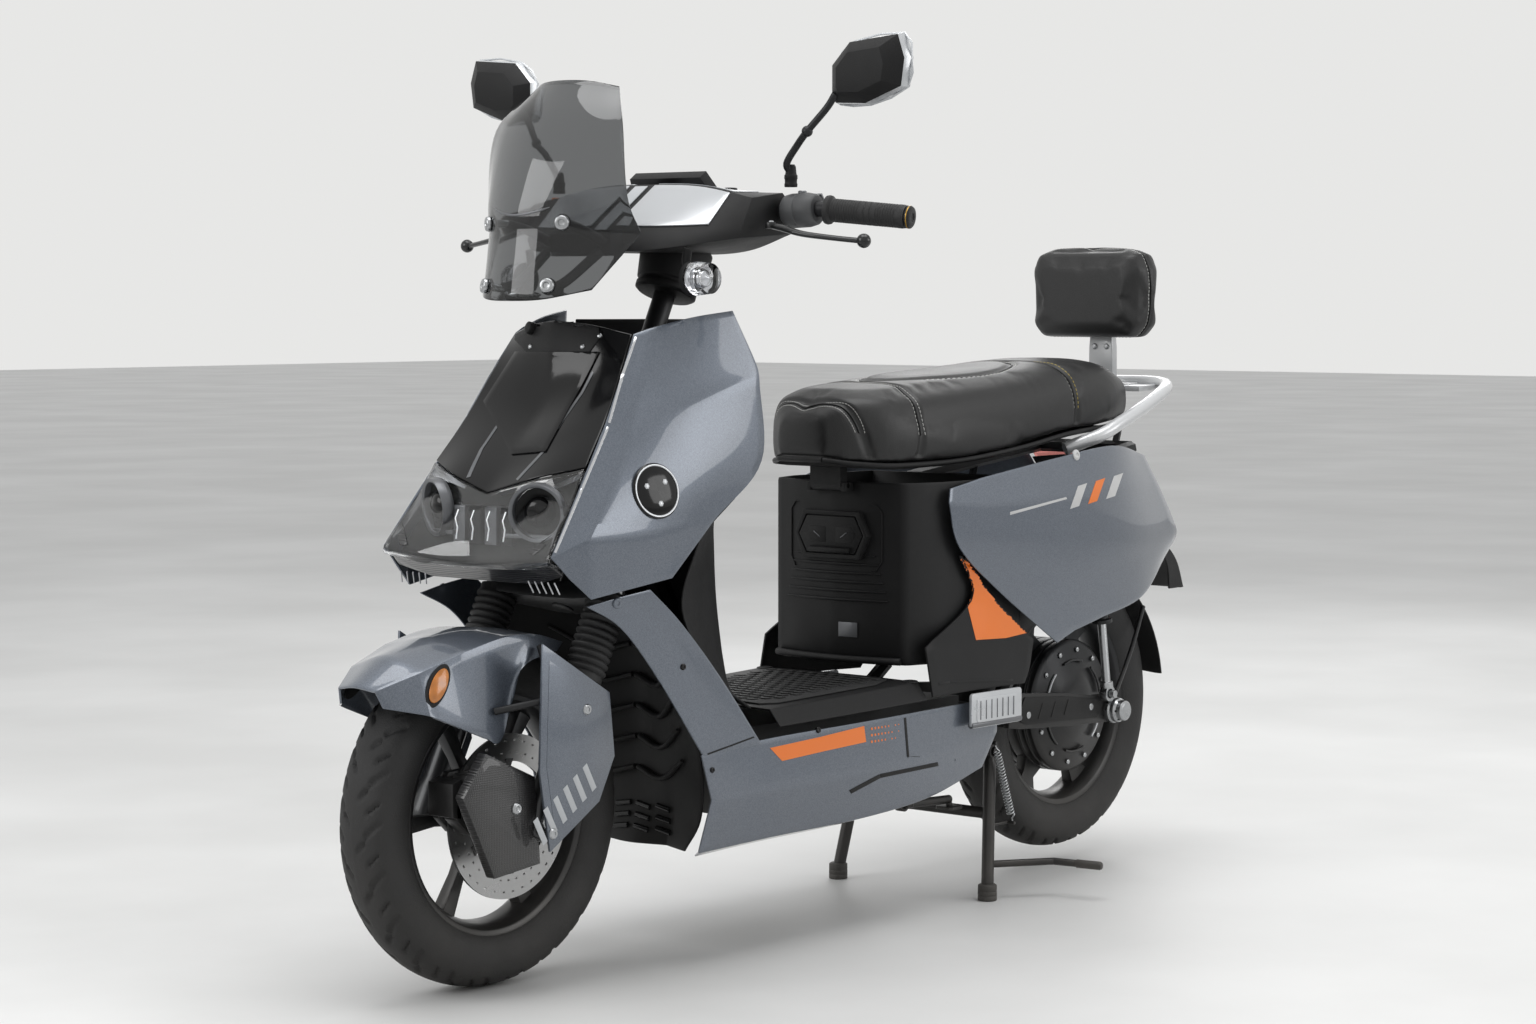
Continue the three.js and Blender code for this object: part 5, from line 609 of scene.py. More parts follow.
LOWER_PANEL = [
    [
        (1.006, 0.84, 0.6), (1.175, 0.85, 0.618), (1.4375, 0.86, 0.624), (1.6875, 0.85, 0.63),
        (1.87, 0.8, 0.63),
    ],
    [
        (1.0275, 0.86, 0.47), (1.2125, 0.88, 0.476), (1.4875, 0.88, 0.48), (1.7125, 0.84, 0.496),
        (1.87, 0.8, 0.524),
    ],
    [
        (1.01, 0.8, 0.324), (1.2125, 0.81, 0.332), (1.4625, 0.81, 0.336), (1.6625, 0.8, 0.36),
        (1.83, 0.78, 0.42),
    ],
    [
        (1.044, 0.64, 0.3), (1.2125, 0.62, 0.306), (1.45, 0.62, 0.312), (1.6375, 0.62, 0.332),
        (1.8, 0.63, 0.38),
    ],
]
LEG_TRIM = [
    [(0.144, 0.8, 1.036), (0.38, 0.835, 1.056), (0.61, 0.85, 1.07)],
    [(0.412, 0.8, 0.968), (0.64, 0.84, 0.97), (0.87, 0.85, 0.964)],
    [(0.672, 0.82, 0.83), (0.94, 0.85, 0.824), (1.065, 0.84, 0.796)],
    [(1.012, 0.845, 0.59), (1.0875, 0.855, 0.596), (1.165, 0.86, 0.6)],
]
REAR_PANEL = [
    [(1.717, 0.8, 1.28), (1.812, 0.82, 1.308), (2.12, 0.835, 1.352), (2.8, 0.8, 1.38), (3.4, 0.59, 1.336)],
    [(1.71, 0.81, 1.236), (1.812, 0.845, 1.22), (2.12, 0.88, 1.23), (2.84, 0.84, 1.244), (3.6, 0.58, 1.224)],
    [(1.74, 0.82, 1.098), (1.837, 0.85, 1.09), (2.2, 0.89, 1.09), (2.96, 0.84, 1.09), (3.8, 0.54, 1.12)],
    [(1.866, 0.815, 0.952), (1.937, 0.835, 0.956), (2.36, 0.87, 0.97), (3.08, 0.8, 0.99), (3.9, 0.5, 1.06)],
    [(2.216, 0.79, 0.766), (2.4, 0.8, 0.8), (2.68, 0.81, 0.83), (3.2, 0.76, 0.88), (3.8, 0.49, 1.0)],
]


def rows_of(table, side=1):
    return [[at(shares, side) for shares in row] for row in table]


panels = {}
for side, word in SIDES:
    panels["fairing", side] = piece(
        "fairing_" + word + "_painted",
        [skin(rows_of(FAIRING, side), BODY_MIDDLE, row_creases=(2, 4), column_creases=(1,))],
        slate, "frame", "fairing_" + word, bevel=0.0012, angle=24,
    )
    panels["lower", side] = piece(
        "lower_panel_" + word + "_painted",
        [
            skin(rows_of(LOWER_PANEL, side), BODY_MIDDLE, row_creases=(1, 2)),
            skin(rows_of(LEG_TRIM, side), BODY_MIDDLE),
        ],
        slate, "frame", "lower_panel_" + word, bevel=0.0012, angle=24,
    )
    panels["rear", side] = piece(
        "rear_panel_" + word + "_painted",
        [skin(rows_of(REAR_PANEL, side), at((2.8, 0, 1)), row_creases=(1,), column_creases=(1,))],
        slate, "frame", "rear_panel_" + word, bevel=0.0012, angle=24,
    )

# Nose, instrument recess and chin
# The bonnet is one moulding in black lacquer with a raised middle facet, screwed down over the steering head.
NOSE = [
    [(0.724, 0.56, 1.752), (0.64, 0.28, 1.778), (0.58, 0, 1.79)],
    [(0.56, 0.62, 1.63), (0.52, 0.31, 1.6), (0.5, 0, 1.57)],
    [(0.412, 0.665, 1.518), (0.31, 0.34, 1.47), (0.228, 0, 1.424)],
    [(0.22, 0.715, 1.4), (0.1, 0.39, 1.37), (0.052, 0, 1.326)],
]


def ring_points(radius, count, phase=0.0):
    turns = [phase + 2 * math.pi * k / count for k in range(count)]
    return [(radius * math.cos(turn), radius * math.sin(turn)) for turn in turns]


def ring_faces(rows, count):
    """The faces between rows of points, each row closed round."""
    faces = []
    for i in range(rows - 1):
        for k in range(count):
            there = (k + 1) % count
            faces.append([i * count + k, i * count + there, (i + 1) * count + there, (i + 1) * count + k])
    return faces


def end_faces(rows, count):
    """The faces that close the first and the last row."""
    return [list(range(count))[::-1], [(rows - 1) * count + k for k in range(count)]]


def lathed(profile, start, toward, count=48):
    """A turned piece: its profile is radius and distance along the axis from start."""
    start, toward = Vector(start), Vector(toward).normalized()
    turn = toward.to_track_quat("Z", "Y").to_matrix()
    points = []
    for radius, along in profile:
        for x, y in ring_points(max(radius, 1e-5), count):
            points.append(start + turn @ Vector((x, y, along)))
    return points, ring_faces(len(profile), count) + end_faces(len(profile), count)


def ring_turned(profile, start, toward, count=64):
    """A turned ring, whose profile closes on itself."""
    points, faces = lathed(profile, start, toward, count)
    faces = faces[:-2]
    last = (len(profile) - 1) * count
    for k in range(count):
        there = (k + 1) % count
        faces.append([last + k, last + there, there, k])
    return points, faces


def swept(path, radius, sides=14, smooth=6, flat=1.0):
    """A tube along a smooth path. radius is one number or one for each point; flat squashes it from above."""
    points = [Vector(p) for p in path]
    radii = [radius] * len(points) if isinstance(radius, (int, float)) else list(radius)
    if smooth > 1:
        line = refined(points, smooth)
        sizes = [p.x for p in refined([Vector((r, 0, 0)) for r in radii], smooth)]
    else:
        line, sizes = points, radii
    normal = None
    up = Vector((0, 0, 1))
    out = []
    for i, place in enumerate(line):
        way = (line[min(i + 1, len(line) - 1)] - line[max(i - 1, 0)]).normalized()
        if normal is None:
            hint = up if abs(way.dot(up)) < 0.95 else Vector((0, 1, 0))
            normal = (hint - way * hint.dot(way)).normalized()
        normal = (normal - way * normal.dot(way)).normalized()
        other = way.cross(normal)
        for x, y in ring_points(sizes[i], sides):
            out.append(place + normal * x * flat + other * y)
    return out, ring_faces(len(line), sides) + end_faces(len(line), sides)


def slab(outline, depth):
    """A flat plate: its outline of places, carried on by a depth vector."""
    points = [Vector(p) for p in outline]
    depth = Vector(depth)
    count = len(points)
    faces = [list(range(count))[::-1], [k + count for k in range(count)]]
    faces += [[k, (k + 1) % count, (k + 1) % count + count, k + count] for k in range(count)]
    return points + [p + depth for p in points], faces


def block(low, high):
    low, high = Vector(low), Vector(high)
    corners = [(low.x, low.y), (high.x, low.y), (high.x, high.y), (low.x, high.y)]
    return slab([(x, y, low.z) for x, y in corners], (0, 0, high.z - low.z))


def tree_of(*carriers):
    """The surface of the carriers, for pieces that are placed on it."""
    bpy.context.view_layer.update()
    points, faces = [], []
    for carrier in carriers:
        first = len(points)
        points += [carrier.matrix_world @ v.co for v in carrier.data.vertices]
        faces += [[k + first for k in face.vertices] for face in carrier.data.polygons]
    return BVHTree.FromPolygons(points, faces)


def seen(tree, spot):
    """Where the line of sight through a point of the photograph meets the carrier, and which way it faces."""
    way = sight(*spot)
    hit, normal, _, _ = tree.ray_cast(camera_place, way)
    if hit is None:
        hit, normal, _, _ = tree.find_nearest(camera_place + way * SCOOTER_DISTANCE)
    if normal.dot(way) > 0:
        normal = -normal
    return hit, normal


SCOOTER_DISTANCE = 4.2
LONGEST_FILM_EDGE = 0.03


def film(tree, outline, lift=0.0004, grain=9.0, thickness=0.0004):
    """A thin piece laid on the carrier inside an outline of photograph points."""
    work = bmesh.new()
    corners = [work.verts.new((u, v, 0)) for u, v in outline]
    work.faces.new(corners)
    bmesh.ops.triangulate(work, faces=work.faces)
    for _ in range(6):
        long = [e for e in work.edges if e.calc_length() > grain]
        if not long:
            break
        bmesh.ops.subdivide_edges(work, edges=long, cuts=1)
        bmesh.ops.triangulate(work, faces=work.faces)
    missed = [v for v in work.verts if tree.ray_cast(camera_place, sight(v.co.x, v.co.y))[0] is None]
    bmesh.ops.delete(work, geom=missed, context="VERTS")
    work.verts.index_update()
    outer, inner = [], []
    for corner in work.verts:
        hit, normal = seen(tree, (corner.co.x, corner.co.y))
        outer.append(hit + normal * lift)
        inner.append(hit + normal * (lift - thickness))
    count = len(outer)
    faces = []
    for face in work.faces:
        loop = [corner.index for corner in face.verts]
        if max((outer[a] - outer[b]).length for a, b in zip(loop, loop[1:] + loop[:1])) > LONGEST_FILM_EDGE:
            continue
        faces += [loop, [k + count for k in reversed(loop)]]
    for edge in work.edges:
        if edge.is_boundary:
            a, b = (corner.index for corner in edge.verts)
            if (outer[a] - outer[b]).length < LONGEST_FILM_EDGE:
                faces.append([a, b, b + count, a + count])
    work.free()
    return outer + inner, faces


def bar_between(first, last, width):
    """The outline of a straight bar between two points of the photograph."""
    (x, y), (p, q) = first, last
    length = math.hypot(p - x, q - y)
    dx, dy = -(q - y) / length * width / 2, (p - x) / length * width / 2
    return [(x + dx, y + dy), (p + dx, q + dy), (p - dx, q - dy), (x - dx, y - dy)]


def ribbon(tree, path, width, lift=0.0006, thickness=0.0006):
    """A thin line laid on the carrier along photograph points."""
    return [film(tree, bar_between(a, b, width), lift, 12.0, thickness) for a, b in zip(path, path[1:])]


steel = finish(
    "bright steel", (0.42, 0.43, 0.44), 0.28, metallic=1.0, texture=brush_group, scale=240, relief=0.04,
    variation=0.2, worn=(0.6, 0.6, 0.6), wear=0.3,
)
silver = finish("silver paint", (0.56, 0.575, 0.59), 0.3, metallic=0.35, coat=0.6, scale=900, relief=0.02,
                variation=0.12, worn=(0.4, 0.4, 0.4), wear=0.25, dust=0.1, flecks=0.1)
# The weave's low threads are darkened in the colour: partly its woven pattern, partly painted shade.
carbon = finish(
    "woven carbon look", (0.03, 0.03, 0.032), 0.34, coat=0.5, texture=weave_group, scale=1500, relief=0.5,
    variation=0.2, worn=(0.1, 0.1, 0.1), wear=0.2, dust=0.12, hollow_shade=0.75,
)
bezel_grey = finish(
    "satin grey", (0.15, 0.155, 0.165), 0.34, metallic=0.5, scale=900, relief=0.04, variation=0.15,
)

nose = piece(
    "nose_bonnet", [skin([whole(row) for row in rows_of(NOSE)], BODY_MIDDLE, column_creases=(2,))],
    gloss_black, "frame", "nose_panel", bevel=0.0012, angle=20,
)
nose_tree = tree_of(nose)
# The raised middle facet, and the recess with its knob and screws under the screen
facet = film(
    nose_tree, [(516, 352), (600, 352), (583, 385), (546, 452), (512, 455), (484, 402)], 0.0022, 8.0, 0.003,
)
recess = film(
    nose_tree, [(519, 318), (597, 318), (600, 338), (590, 352), (528, 353), (515, 340)], 0.0014, 8.0, 0.002,
)
knob = seen(nose_tree, (533, 329))
screws = [seen(nose_tree, spot) for spot in ((531, 347), (583, 347), (600, 336))]
KNOB = [(0.0, 0.011), (0.005, 0.0105), (0.0085, 0.009), (0.009, 0.0)]
SCREW_HEAD = [(0.0, 0.0035), (0.003, 0.003), (0.0038, 0.0005), (0.0038, 0.0)]
nose_bits = in_finish(0, facet) + in_finish(1, recess) + in_finish(1, lathed(KNOB, *knob, 24))
nose_bits += in_finish(2, *[lathed(SCREW_HEAD, *screw, 16) for screw in screws])
piece(
    "nose_facet_and_recess", nose_bits, gloss_black, "frame", (), bevel=0.0004,
    finishes=(matt_black, steel),
)
# A thin grey line down each side of the facet, a painted highlight along its crease
crease_highlight_left = ribbon(nose_tree, [(593, 372), (582, 393), (563, 420), (543, 452), (517, 480)], 2.2)
piece(
    "nose_crease_painted_highlight", crease_highlight_left + [mirrored(s) for s in crease_highlight_left], bezel_grey, "frame", (),
    angle=60,
)

# Headlight
# A clear polycarbonate lens over a black housing. Inside are two round projectors with grey brows,
# and a row of white light guides between them.
HEADLIGHT = [
    [(0.22, 0.715, 1.4), (0.1, 0.39, 1.37), (0.052, 0, 1.326)],
    [(0.09, 0.745, 1.3), (0.03, 0.4, 1.28), (-0.01, 0, 1.25)],
    [(-0.116, 0.795, 1.172), (-0.1, 0.42, 1.172), (-0.06, 0, 1.166)],
    [(-0.03, 0.81, 1.14), (-0.1, 0.42, 1.13), (-0.07, 0, 1.125)],
]


PLASTIC_INDEX = 1.49


def glassy(name, colour, roughness):
    """A clear or smoked plastic with faint streaks in its polish."""
    material = bpy.data.materials.new(name)
    material.use_nodes = True
    tree = material.node_tree
    shader = tree.nodes["Principled BSDF"]
    shader.inputs["Metallic"].default_value = 0.0
    shader.inputs["Transmission Weight"].default_value = 1.0
    shader.inputs["IOR"].default_value = PLASTIC_INDEX
    tone = place_group(tree, tone_group, Colour=(*colour, 1), Amount=0.06, Scale=5.0)
    wire(tree, tone.outputs["Colour"], shader.inputs["Base Color"])
    streaks = place_group(tree, grain_group, Scale=120.0)
    sheen = tree.nodes.new("ShaderNodeMapRange")
    sheen.inputs["To Min"].default_value = roughness
    sheen.inputs["To Max"].default_value = roughness + 0.03
    wire(tree, streaks.outputs["Patches"], sheen.inputs["Value"])
    wire(tree, sheen.outputs["Result"], shader.inputs["Roughness"])
    bump = tree.nodes.new("ShaderNodeBump")
    bump.inputs["Strength"].default_value = 0.004
    bump.inputs["Distance"].default_value = 0.001
    wire(tree, streaks.outputs["Height"], bump.inputs["Height"])
    wire(tree, bump.outputs["Normal"], shader.inputs["Normal"])
    return material


clear = glassy("clear lens plastic", (0.96, 0.97, 0.98), 0.01)
glow = finish("white light guide", (0.86, 0.88, 0.9), 0.25, scale=300, relief=0.03, variation=0.05)
glow_shader = glow.node_tree.nodes["Principled BSDF"]
glow_shader.inputs["Emission Color"].default_value = (1, 1, 1, 1)
glow_shader.inputs["Emission Strength"].default_value = 0.35
reflector = finish(
    "chromed reflector", (0.6, 0.61, 0.63), 0.12, metallic=1.0, scale=400, relief=0.02, variation=0.1,
)

light_rows = [whole(row) for row in rows_of(HEADLIGHT)]
headlight_lens = piece(
    "headlight_lens", [skin(light_rows, BODY_MIDDLE, column_creases=(2,), thickness=0.0025)],
    clear, "frame", "headlight", bevel=0.0008, angle=30,
)


def behind_lens(p):
    """A place of the housing behind the lens, drawn in at the sides."""
    drawn_in = math.copysign(0.006, p.y) if abs(p.y) > 0.02 else 0
    return p - Vector((0.030, 0, 0.004)) - Vector((0, drawn_in, 0))


back_rows = [[behind_lens(p) for p in row] for row in light_rows]
housing = skin(back_rows, BODY_MIDDLE, column_creases=(2,), thickness=0.002)
lamp_parts = [(*housing, 0)]
forward = Vector((1, 0, -0.12)).normalized()
for side in (1, -1):
    eye = Vector((0.690, 0.098 * side, 0.640))
    way = (forward + Vector((0, 0.42 * side, 0))).normalized()
    back = eye - way * 0.012
    lamp_parts += [
        (
            *ring_turned(
                [(0.0335, 0.0), (0.0345, 0.012), (0.0395, 0.014), (0.0405, 0.002), (0.038, -0.004)], back,
                way,
            ),
            1,
        ),
        (
            *lathed(
                [(0.024, -0.006), (0.033, 0.0), (0.0325, 0.004), (0.022, -0.003), (0.0, -0.004)][::-1], back,
                way,
            ),
            0,
        ),
        (
            *lathed(
                [(0.0205, -0.004), (0.0205, 0.003), (0.017, 0.0085), (0.011, 0.0115), (0.0, 0.0128)], back,
                way,
            ),
            3,
        ),
    ]
    # A grey brow above the projector, and the shelf under it
    brow = [(0.640, 0.055, 0.664), (0.655, 0.135, 0.688), (0.640, 0.140, 0.694), (0.622, 0.055, 0.672)]
    lamp_parts += in_finish(4, slab([(x, y * side, z) for x, y, z in brow], (0.004, 0, -0.007)))
    shelf = [(0.700, 0.050, 0.606), (0.668, 0.146, 0.604), (0.655, 0.146, 0.604), (0.686, 0.050, 0.606)]
    lamp_parts += in_finish(4, slab([(x, y * side, z) for x, y, z in shelf], (0, 0, 0.005)))
# Four bent light guides in the middle
GUIDE_X = 0.698
for k in range(4):
    y = 0.045 - 0.030 * k
    x = GUIDE_X
    guide = [
        (x - 0.004, y, 0.640), (x, y - 0.002, 0.628), (x + 0.002, y + 0.005, 0.616),
        (x + 0.002, y + 0.002, 0.600),
    ]
    lamp_parts += in_finish(5, swept(guide, 0.0011, 8, 1))
    lamp_parts += in_finish(
        4 if k % 2 else 0, block((x - 0.022, y - 0.011, 0.594), (x - 0.006, y + 0.011, 0.645)),
    )
piece(
    "headlight_projectors", lamp_parts, matt_black, "frame", (), bevel=0.0006,
    finishes=(bezel_grey, clear, gloss_black, bezel_grey, glow),
)

# Chin
# A wing with a woven-carbon look under the lens, and silver teeth at its ends.
wing = []
for side in (1, -1):
    wing.append(
        (
            *slab(
                [
                    Vector((0.712, 0.0, 0.566)), Vector((0.722, 0.085 * side, 0.567)),
                    Vector((0.718, 0.150 * side, 0.574)), Vector((0.700, 0.156 * side, 0.560)),
                    Vector((0.690, 0.10 * side, 0.546)), Vector((0.684, 0.0, 0.545)),
                ],
                (0.002, 0, 0.006),
            ),
            0,
        )
    )
    grid_low = [Vector((0.706, (0.098 + 0.012 * k) * side, 0.552)) for k in range(5)]
    wing += [(*swept([p, p + Vector((-0.006, 0.004 * side, -0.016))], 0.0012, 6, 1), 1) for p in grid_low]
piece("chin_wing", wing, carbon, "frame", (), bevel=0.0012, finishes=(silver,))

# Inner leg shield, lower grille and floor
# Matt black mouldings: the shield faces the rider and the ribbed grille the wheel.
# The floor has a rubber mat with slanted studs.
LEG_SHIELD = [
    [(1.11, 0.74, 1.79), (1.144, 0.55, 1.79), (1.181, 0.3, 1.79), (1.194, 0, 1.79)],
    [(1.134, 0.86, 1.676), (1.1525, 0.625, 1.676), (1.185, 0.3, 1.676), (1.1975, 0, 1.676)],
    [(1.1325, 0.935, 1.4), (1.14, 0.675, 1.4), (1.1825, 0.325, 1.4), (1.1975, 0, 1.4)],
    [(0.96, 0.91, 1.2), (1.0625, 0.7, 1.2), (1.175, 0.35, 1.2), (1.195, 0, 1.2)],
    [(0.9, 0.81, 1.0), (1.05, 0.65, 1.0), (1.1775, 0.375, 1.0), (1.195, 0, 1.0)],
    [(1.065, 0.78, 0.8), (1.119, 0.625, 0.8), (1.1875, 0.4, 0.8), (1.1975, 0, 0.8)],
    [(1.165, 0.76, 0.7), (1.18, 0.6, 0.706), (1.194, 0.41, 0.71), (1.2, 0, 0.71)],
]
GRILLE = [
    [(0.68, 0.76, 1.0), (1.031, 0.45, 1.0), (1.056, 0, 1.0)],
    [(0.88, 0.77, 0.8), (1.0375, 0.43, 0.8), (1.07, 0, 0.8)],
    [(1.02, 0.78, 0.6), (1.05, 0.4, 0.6), (1.08, 0, 0.6)],
    [(1.035, 0.74, 0.42), (1.06, 0.38, 0.42), (1.065, 0, 0.42)],
    [(1.04, 0.56, 0.31), (1.065, 0.3, 0.31), (1.05, 0, 0.31)],
]
FLOOR = [
    [(1.2125, 0.85, 0.642), (1.2125, 0.75, 0.69), (1.2125, 0.3, 0.694), (1.2125, 0, 0.694)],
    [(1.4375, 0.86, 0.648), (1.4375, 0.75, 0.698), (1.4375, 0.3, 0.702), (1.4375, 0, 0.702)],
    [(1.636, 0.86, 0.654), (1.636, 0.755, 0.708), (1.636, 0.3, 0.712), (1.636, 0, 0.712)],
]
SIDE_COVER = [
    [(1.757, 0.775, 1.075), (1.763, 0.78, 1.072), (1.769, 0.78, 1.065)],
    [(1.79, 0.785, 0.94), (1.826, 0.79, 0.938), (1.862, 0.795, 0.93)],
    [(1.647, 0.79, 0.808), (1.812, 0.815, 0.8), (1.99, 0.79, 0.79)],
    [(1.647, 0.83, 0.724), (1.812, 0.84, 0.724), (1.97, 0.81, 0.704)],
    [(1.647, 0.86, 0.66), (1.812, 0.86, 0.662), (1.95, 0.82, 0.658)],
]
shield_inside = at((0.9, 0, 1.2))
shield_rows = [whole(row) for row in rows_of(LEG_SHIELD)]
shield = piece(
    "leg_shield_inner", [skin(shield_rows, shield_inside, column_creases=(1, 5), row_creases=(3,))],
    matt_black, "frame", "inner_leg_shield", bevel=0.0015, angle=24,
)
# A pocket with a lid, a bag hook and the seams of the moulding on the rider's side
shield_tree = tree_of(shield)


def on_face(tree, start, way):
    hit, normal, _, _ = tree.ray_cast(Vector(start), Vector(way).normalized())
    if normal.dot(Vector(way)) > 0:
        normal = -normal
    return hit, normal


RIDER_X = -0.3
POCKET = [(0.032, 0.700), (0.098, 0.706), (0.110, 0.800), (0.100, 0.812), (0.032, 0.812)]
HOOK = [(0.002, 0), (-0.022, -0.002), (-0.034, 0.012), (-0.036, 0.024)]
pocket = []
for side in (1, -1):
    face = [
        on_face(shield_tree, (RIDER_X, y * side, z), (1, 0, 0))[0] - Vector((0.0005, 0, 0))
        for y, z in POCKET
    ]
    pocket.append(slab(face, (-0.004, 0, 0)))
hook_base = on_face(shield_tree, (RIDER_X, 0, 0.842), (1, 0, 0))[0]
hook = swept([hook_base + Vector((x, 0, z)) for x, z in HOOK], 0.0045, 12, 5)
key_base = on_face(shield_tree, (RIDER_X, -0.075, 0.852), (1, 0, 0))
key = lathed(
    [(0.016, -0.002), (0.016, 0.004), (0.0135, 0.007), (0.006, 0.0075), (0.0, 0.0075)], key_base[0],
    key_base[1], 32,
)
piece(
    "shield_pocket_and_hook", in_finish(0, *pocket, hook) + in_finish(1, key), matt_black, "frame", (),
    bevel=0.002, finishes=(bezel_grey,),
)

grille_rows = [whole(row) for row in rows_of(GRILLE)]
grille = piece(
    "grille_shell", [skin(grille_rows, at((1.3, 0, 0.6)), column_creases=(1, 3))],
    matt_black, "frame", "lower_grille", bevel=0.0015, angle=24,
)
grille_tree = tree_of(grille)
chevrons = []
for k in range(5):
    z = 0.262 + 0.044 * k
    for side in (1, -1):
        bends = ((0.004, 0), (0.060, -0.010), (0.112, 0.022))
        met = [on_face(grille_tree, (0.9, y * side, z + rise), (-1, 0, 0)) for y, rise in bends]
        path = [p + n * 0.003 for p, n in met]
        chevrons.append(swept(path, [0.0055, 0.006, 0.0035], 10, 4, flat=0.7))
vents = []
for row in range(3):
    for side in (1, -1):
        for column in range(2):
            y = (0.018 + 0.040 * column) * side
            z = 0.176 + 0.016 * row
            p, n = on_face(grille_tree, (0.9, y + 0.014 * side, z), (-1, 0, 0))
            q, _ = on_face(grille_tree, (0.9, y - 0.012 * side, z + 0.004), (-1, 0, 0))
            vents.append(swept([p + n * 0.0006, q + n * 0.0006], 0.0042, 8, 1))
piece(
    "grille_ribs", in_finish(0, *chevrons) + in_finish(1, *vents), matt_black, "frame", (),
    angle=50, finishes=(gloss_black,),
)

floor_inside = at((1.4, 0, 0.4))
deck_rows = [whole(row) for row in rows_of(FLOOR)]
deck = piece(
    "floor_deck", [skin(deck_rows, floor_inside, column_creases=(1, 2, 4, 5))],
    matt_black, "frame", "floorboard", bevel=0.002, angle=24,
)
deck_tree = tree_of(deck)
rubber = finish("black rubber", (0.012, 0.012, 0.0125), 0.62, scale=700, relief=0.3, variation=0.3,
                worn=(0.07, 0.07, 0.07), wear=0.3, dust=0.3)
mat_parts = []
outline = [(-0.036, 0.055), (-0.036, 0.112), (0.010, 0.128), (0.232, 0.128), (0.258, 0.112), (0.258, 0.055)]
ring = outline + [(x, -y) for x, y in reversed(outline)]
mat_face = [on_face(deck_tree, (x, y, 0.6), (0, 0, -1))[0] + Vector((0, 0, 0.0004)) for x, y in ring]
mat_parts += in_finish(0, slab(mat_face, (0, 0, 0.0022)))
STUD = [(-0.0058, -0.004, 0), (0.0058, -0.0075, 0), (0.0058, 0.004, 0), (-0.0058, 0.0075, 0)]
for row in range(15):
    for column in range(11):
        x = -0.022 + 0.0185 * row
        y = (column - 5) * 0.0205 + (0.01 if row % 2 else 0)
        if abs(y) > 0.112 or (x > 0.235 and abs(y) > 0.1):
            continue
        p = on_face(deck_tree, (x, y, 0.6), (0, 0, -1))[0] + Vector((0, 0, 0.0026))
        mat_parts += in_finish(0, slab([p + Vector(corner) for corner in STUD], (0, 0, 0.0014)))
for x, y in ((-0.052, 0.142), (-0.052, -0.142)):
    p, n = on_face(deck_tree, (x, y, 0.6), (0, 0, -1))
    mat_parts += in_finish(
        1,
        lathed(
            [(0.0125, -0.001), (0.0125, 0.001), (0.0105, 0.0016), (0.0095, 0.0006), (0.0, 0.0006)], p, n, 32,
        ),
    )
piece("floor_mat", mat_parts, rubber, "frame", (), bevel=0.0006, finishes=(matt_black,))

for side, word in SIDES:
    panels["cover", side] = piece(
        "side_cover_" + word + "_moulding",
        [skin(rows_of(SIDE_COVER, side), BODY_MIDDLE, row_creases=(2,))],
        matt_black, "frame", "side_cover_" + word, bevel=0.002, angle=24,
    )

# Seat box
# A deep black moulding under the seat that holds the bin and carries the charge flap, ribs and seat hinge.
BOX_FRONT, BOX_SHOULDER, BOX_REAR = station(1.639), station(1.715), station(1.9625)
BOX_LOW, BOX_HIGH = 0.375, 0.648
BULGE = 0.020


def box_outline(drawn=0.0):
    """The plan of the seat box: a bulged front, shoulders and straight sides."""
    half = [
        Vector((BOX_FRONT - drawn + BULGE, 0, 0)), Vector((BOX_FRONT - drawn + 0.72 * BULGE, 0.062, 0)),
        Vector((BOX_FRONT - drawn, 0.124 - drawn / 2, 0)),
    ]
    front = refined(half, 6)
    corner = [
        Vector((BOX_FRONT - drawn - 0.006, 0.129 - drawn / 2, 0)),
        Vector((BOX_SHOULDER - drawn / 2, 0.146 - drawn, 0)), Vector((BOX_REAR + drawn, 0.146 - drawn, 0)),
    ]
    side = front + corner
    return side + [Vector((p.x, -p.y, 0)) for p in reversed(side[1:])]


outer_plan, inner_plan = box_outline(), box_outline(PANEL)
levels_outside = [
    (BOX_LOW, -0.004), (BOX_LOW + 0.006, 0.0), (0.44, 0.0), (BOX_HIGH - 0.004, 0.0), (BOX_HIGH, -0.001),
]
points = []
count = len(outer_plan)
middle = Vector(((BOX_FRONT + BOX_REAR) / 2, 0, 0))
for z, grow in levels_outside:
    for p in outer_plan:
        points.append(p + (p - middle).normalized() * grow + Vector((0, 0, z)))
for z in (BOX_HIGH, BOX_LOW + PANEL):
    points += [p + Vector((0, 0, z)) for p in inner_plan]
box_rows = len(levels_outside) + 2
box_shell = (points, ring_faces(box_rows, count) + end_faces(box_rows, count))


def front_x(y, lift=0.0):
    """The box's front face at a place across it."""
    share = min(abs(y) / 0.124, 1)
    return BOX_FRONT + BULGE * (1 - share ** 2) + lift


details = [(*box_shell, 0)]
# Horizontal ribs low on the front, a raised line round the flap, a foot flange and a bare plate
for k in range(6):
    z = 0.470 + 0.0135 * k
    half = 0.098 - 0.004 * k
    path = [Vector((front_x(y, 0.0002), y, z)) for y in (-half, -half / 2, 0, half / 2, half)]
    details += in_finish(0, swept(path, [0.0012, 0.0024, 0.0024, 0.0024, 0.0012], 8, 3))
FLAP_FIELD = [
    (-0.088, 0.530), (-0.078, 0.515), (0.078, 0.515), (0.088, 0.530),
    (0.088, 0.603), (0.078, 0.615), (-0.078, 0.615), (-0.088, 0.603),
]
frame_line = [Vector((front_x(y, 0.0003), y, z)) for y, z in FLAP_FIELD + FLAP_FIELD[:1]]
details += in_finish(0, swept(frame_line, 0.0011, 8, 1))
foot = [Vector((front_x(0.03 * k, 0.004), 0.03 * k, BOX_LOW + 0.006)) for k in range(-4, 5)]
details += in_finish(0, swept(foot, 0.0055, 10, 2))
plate = []
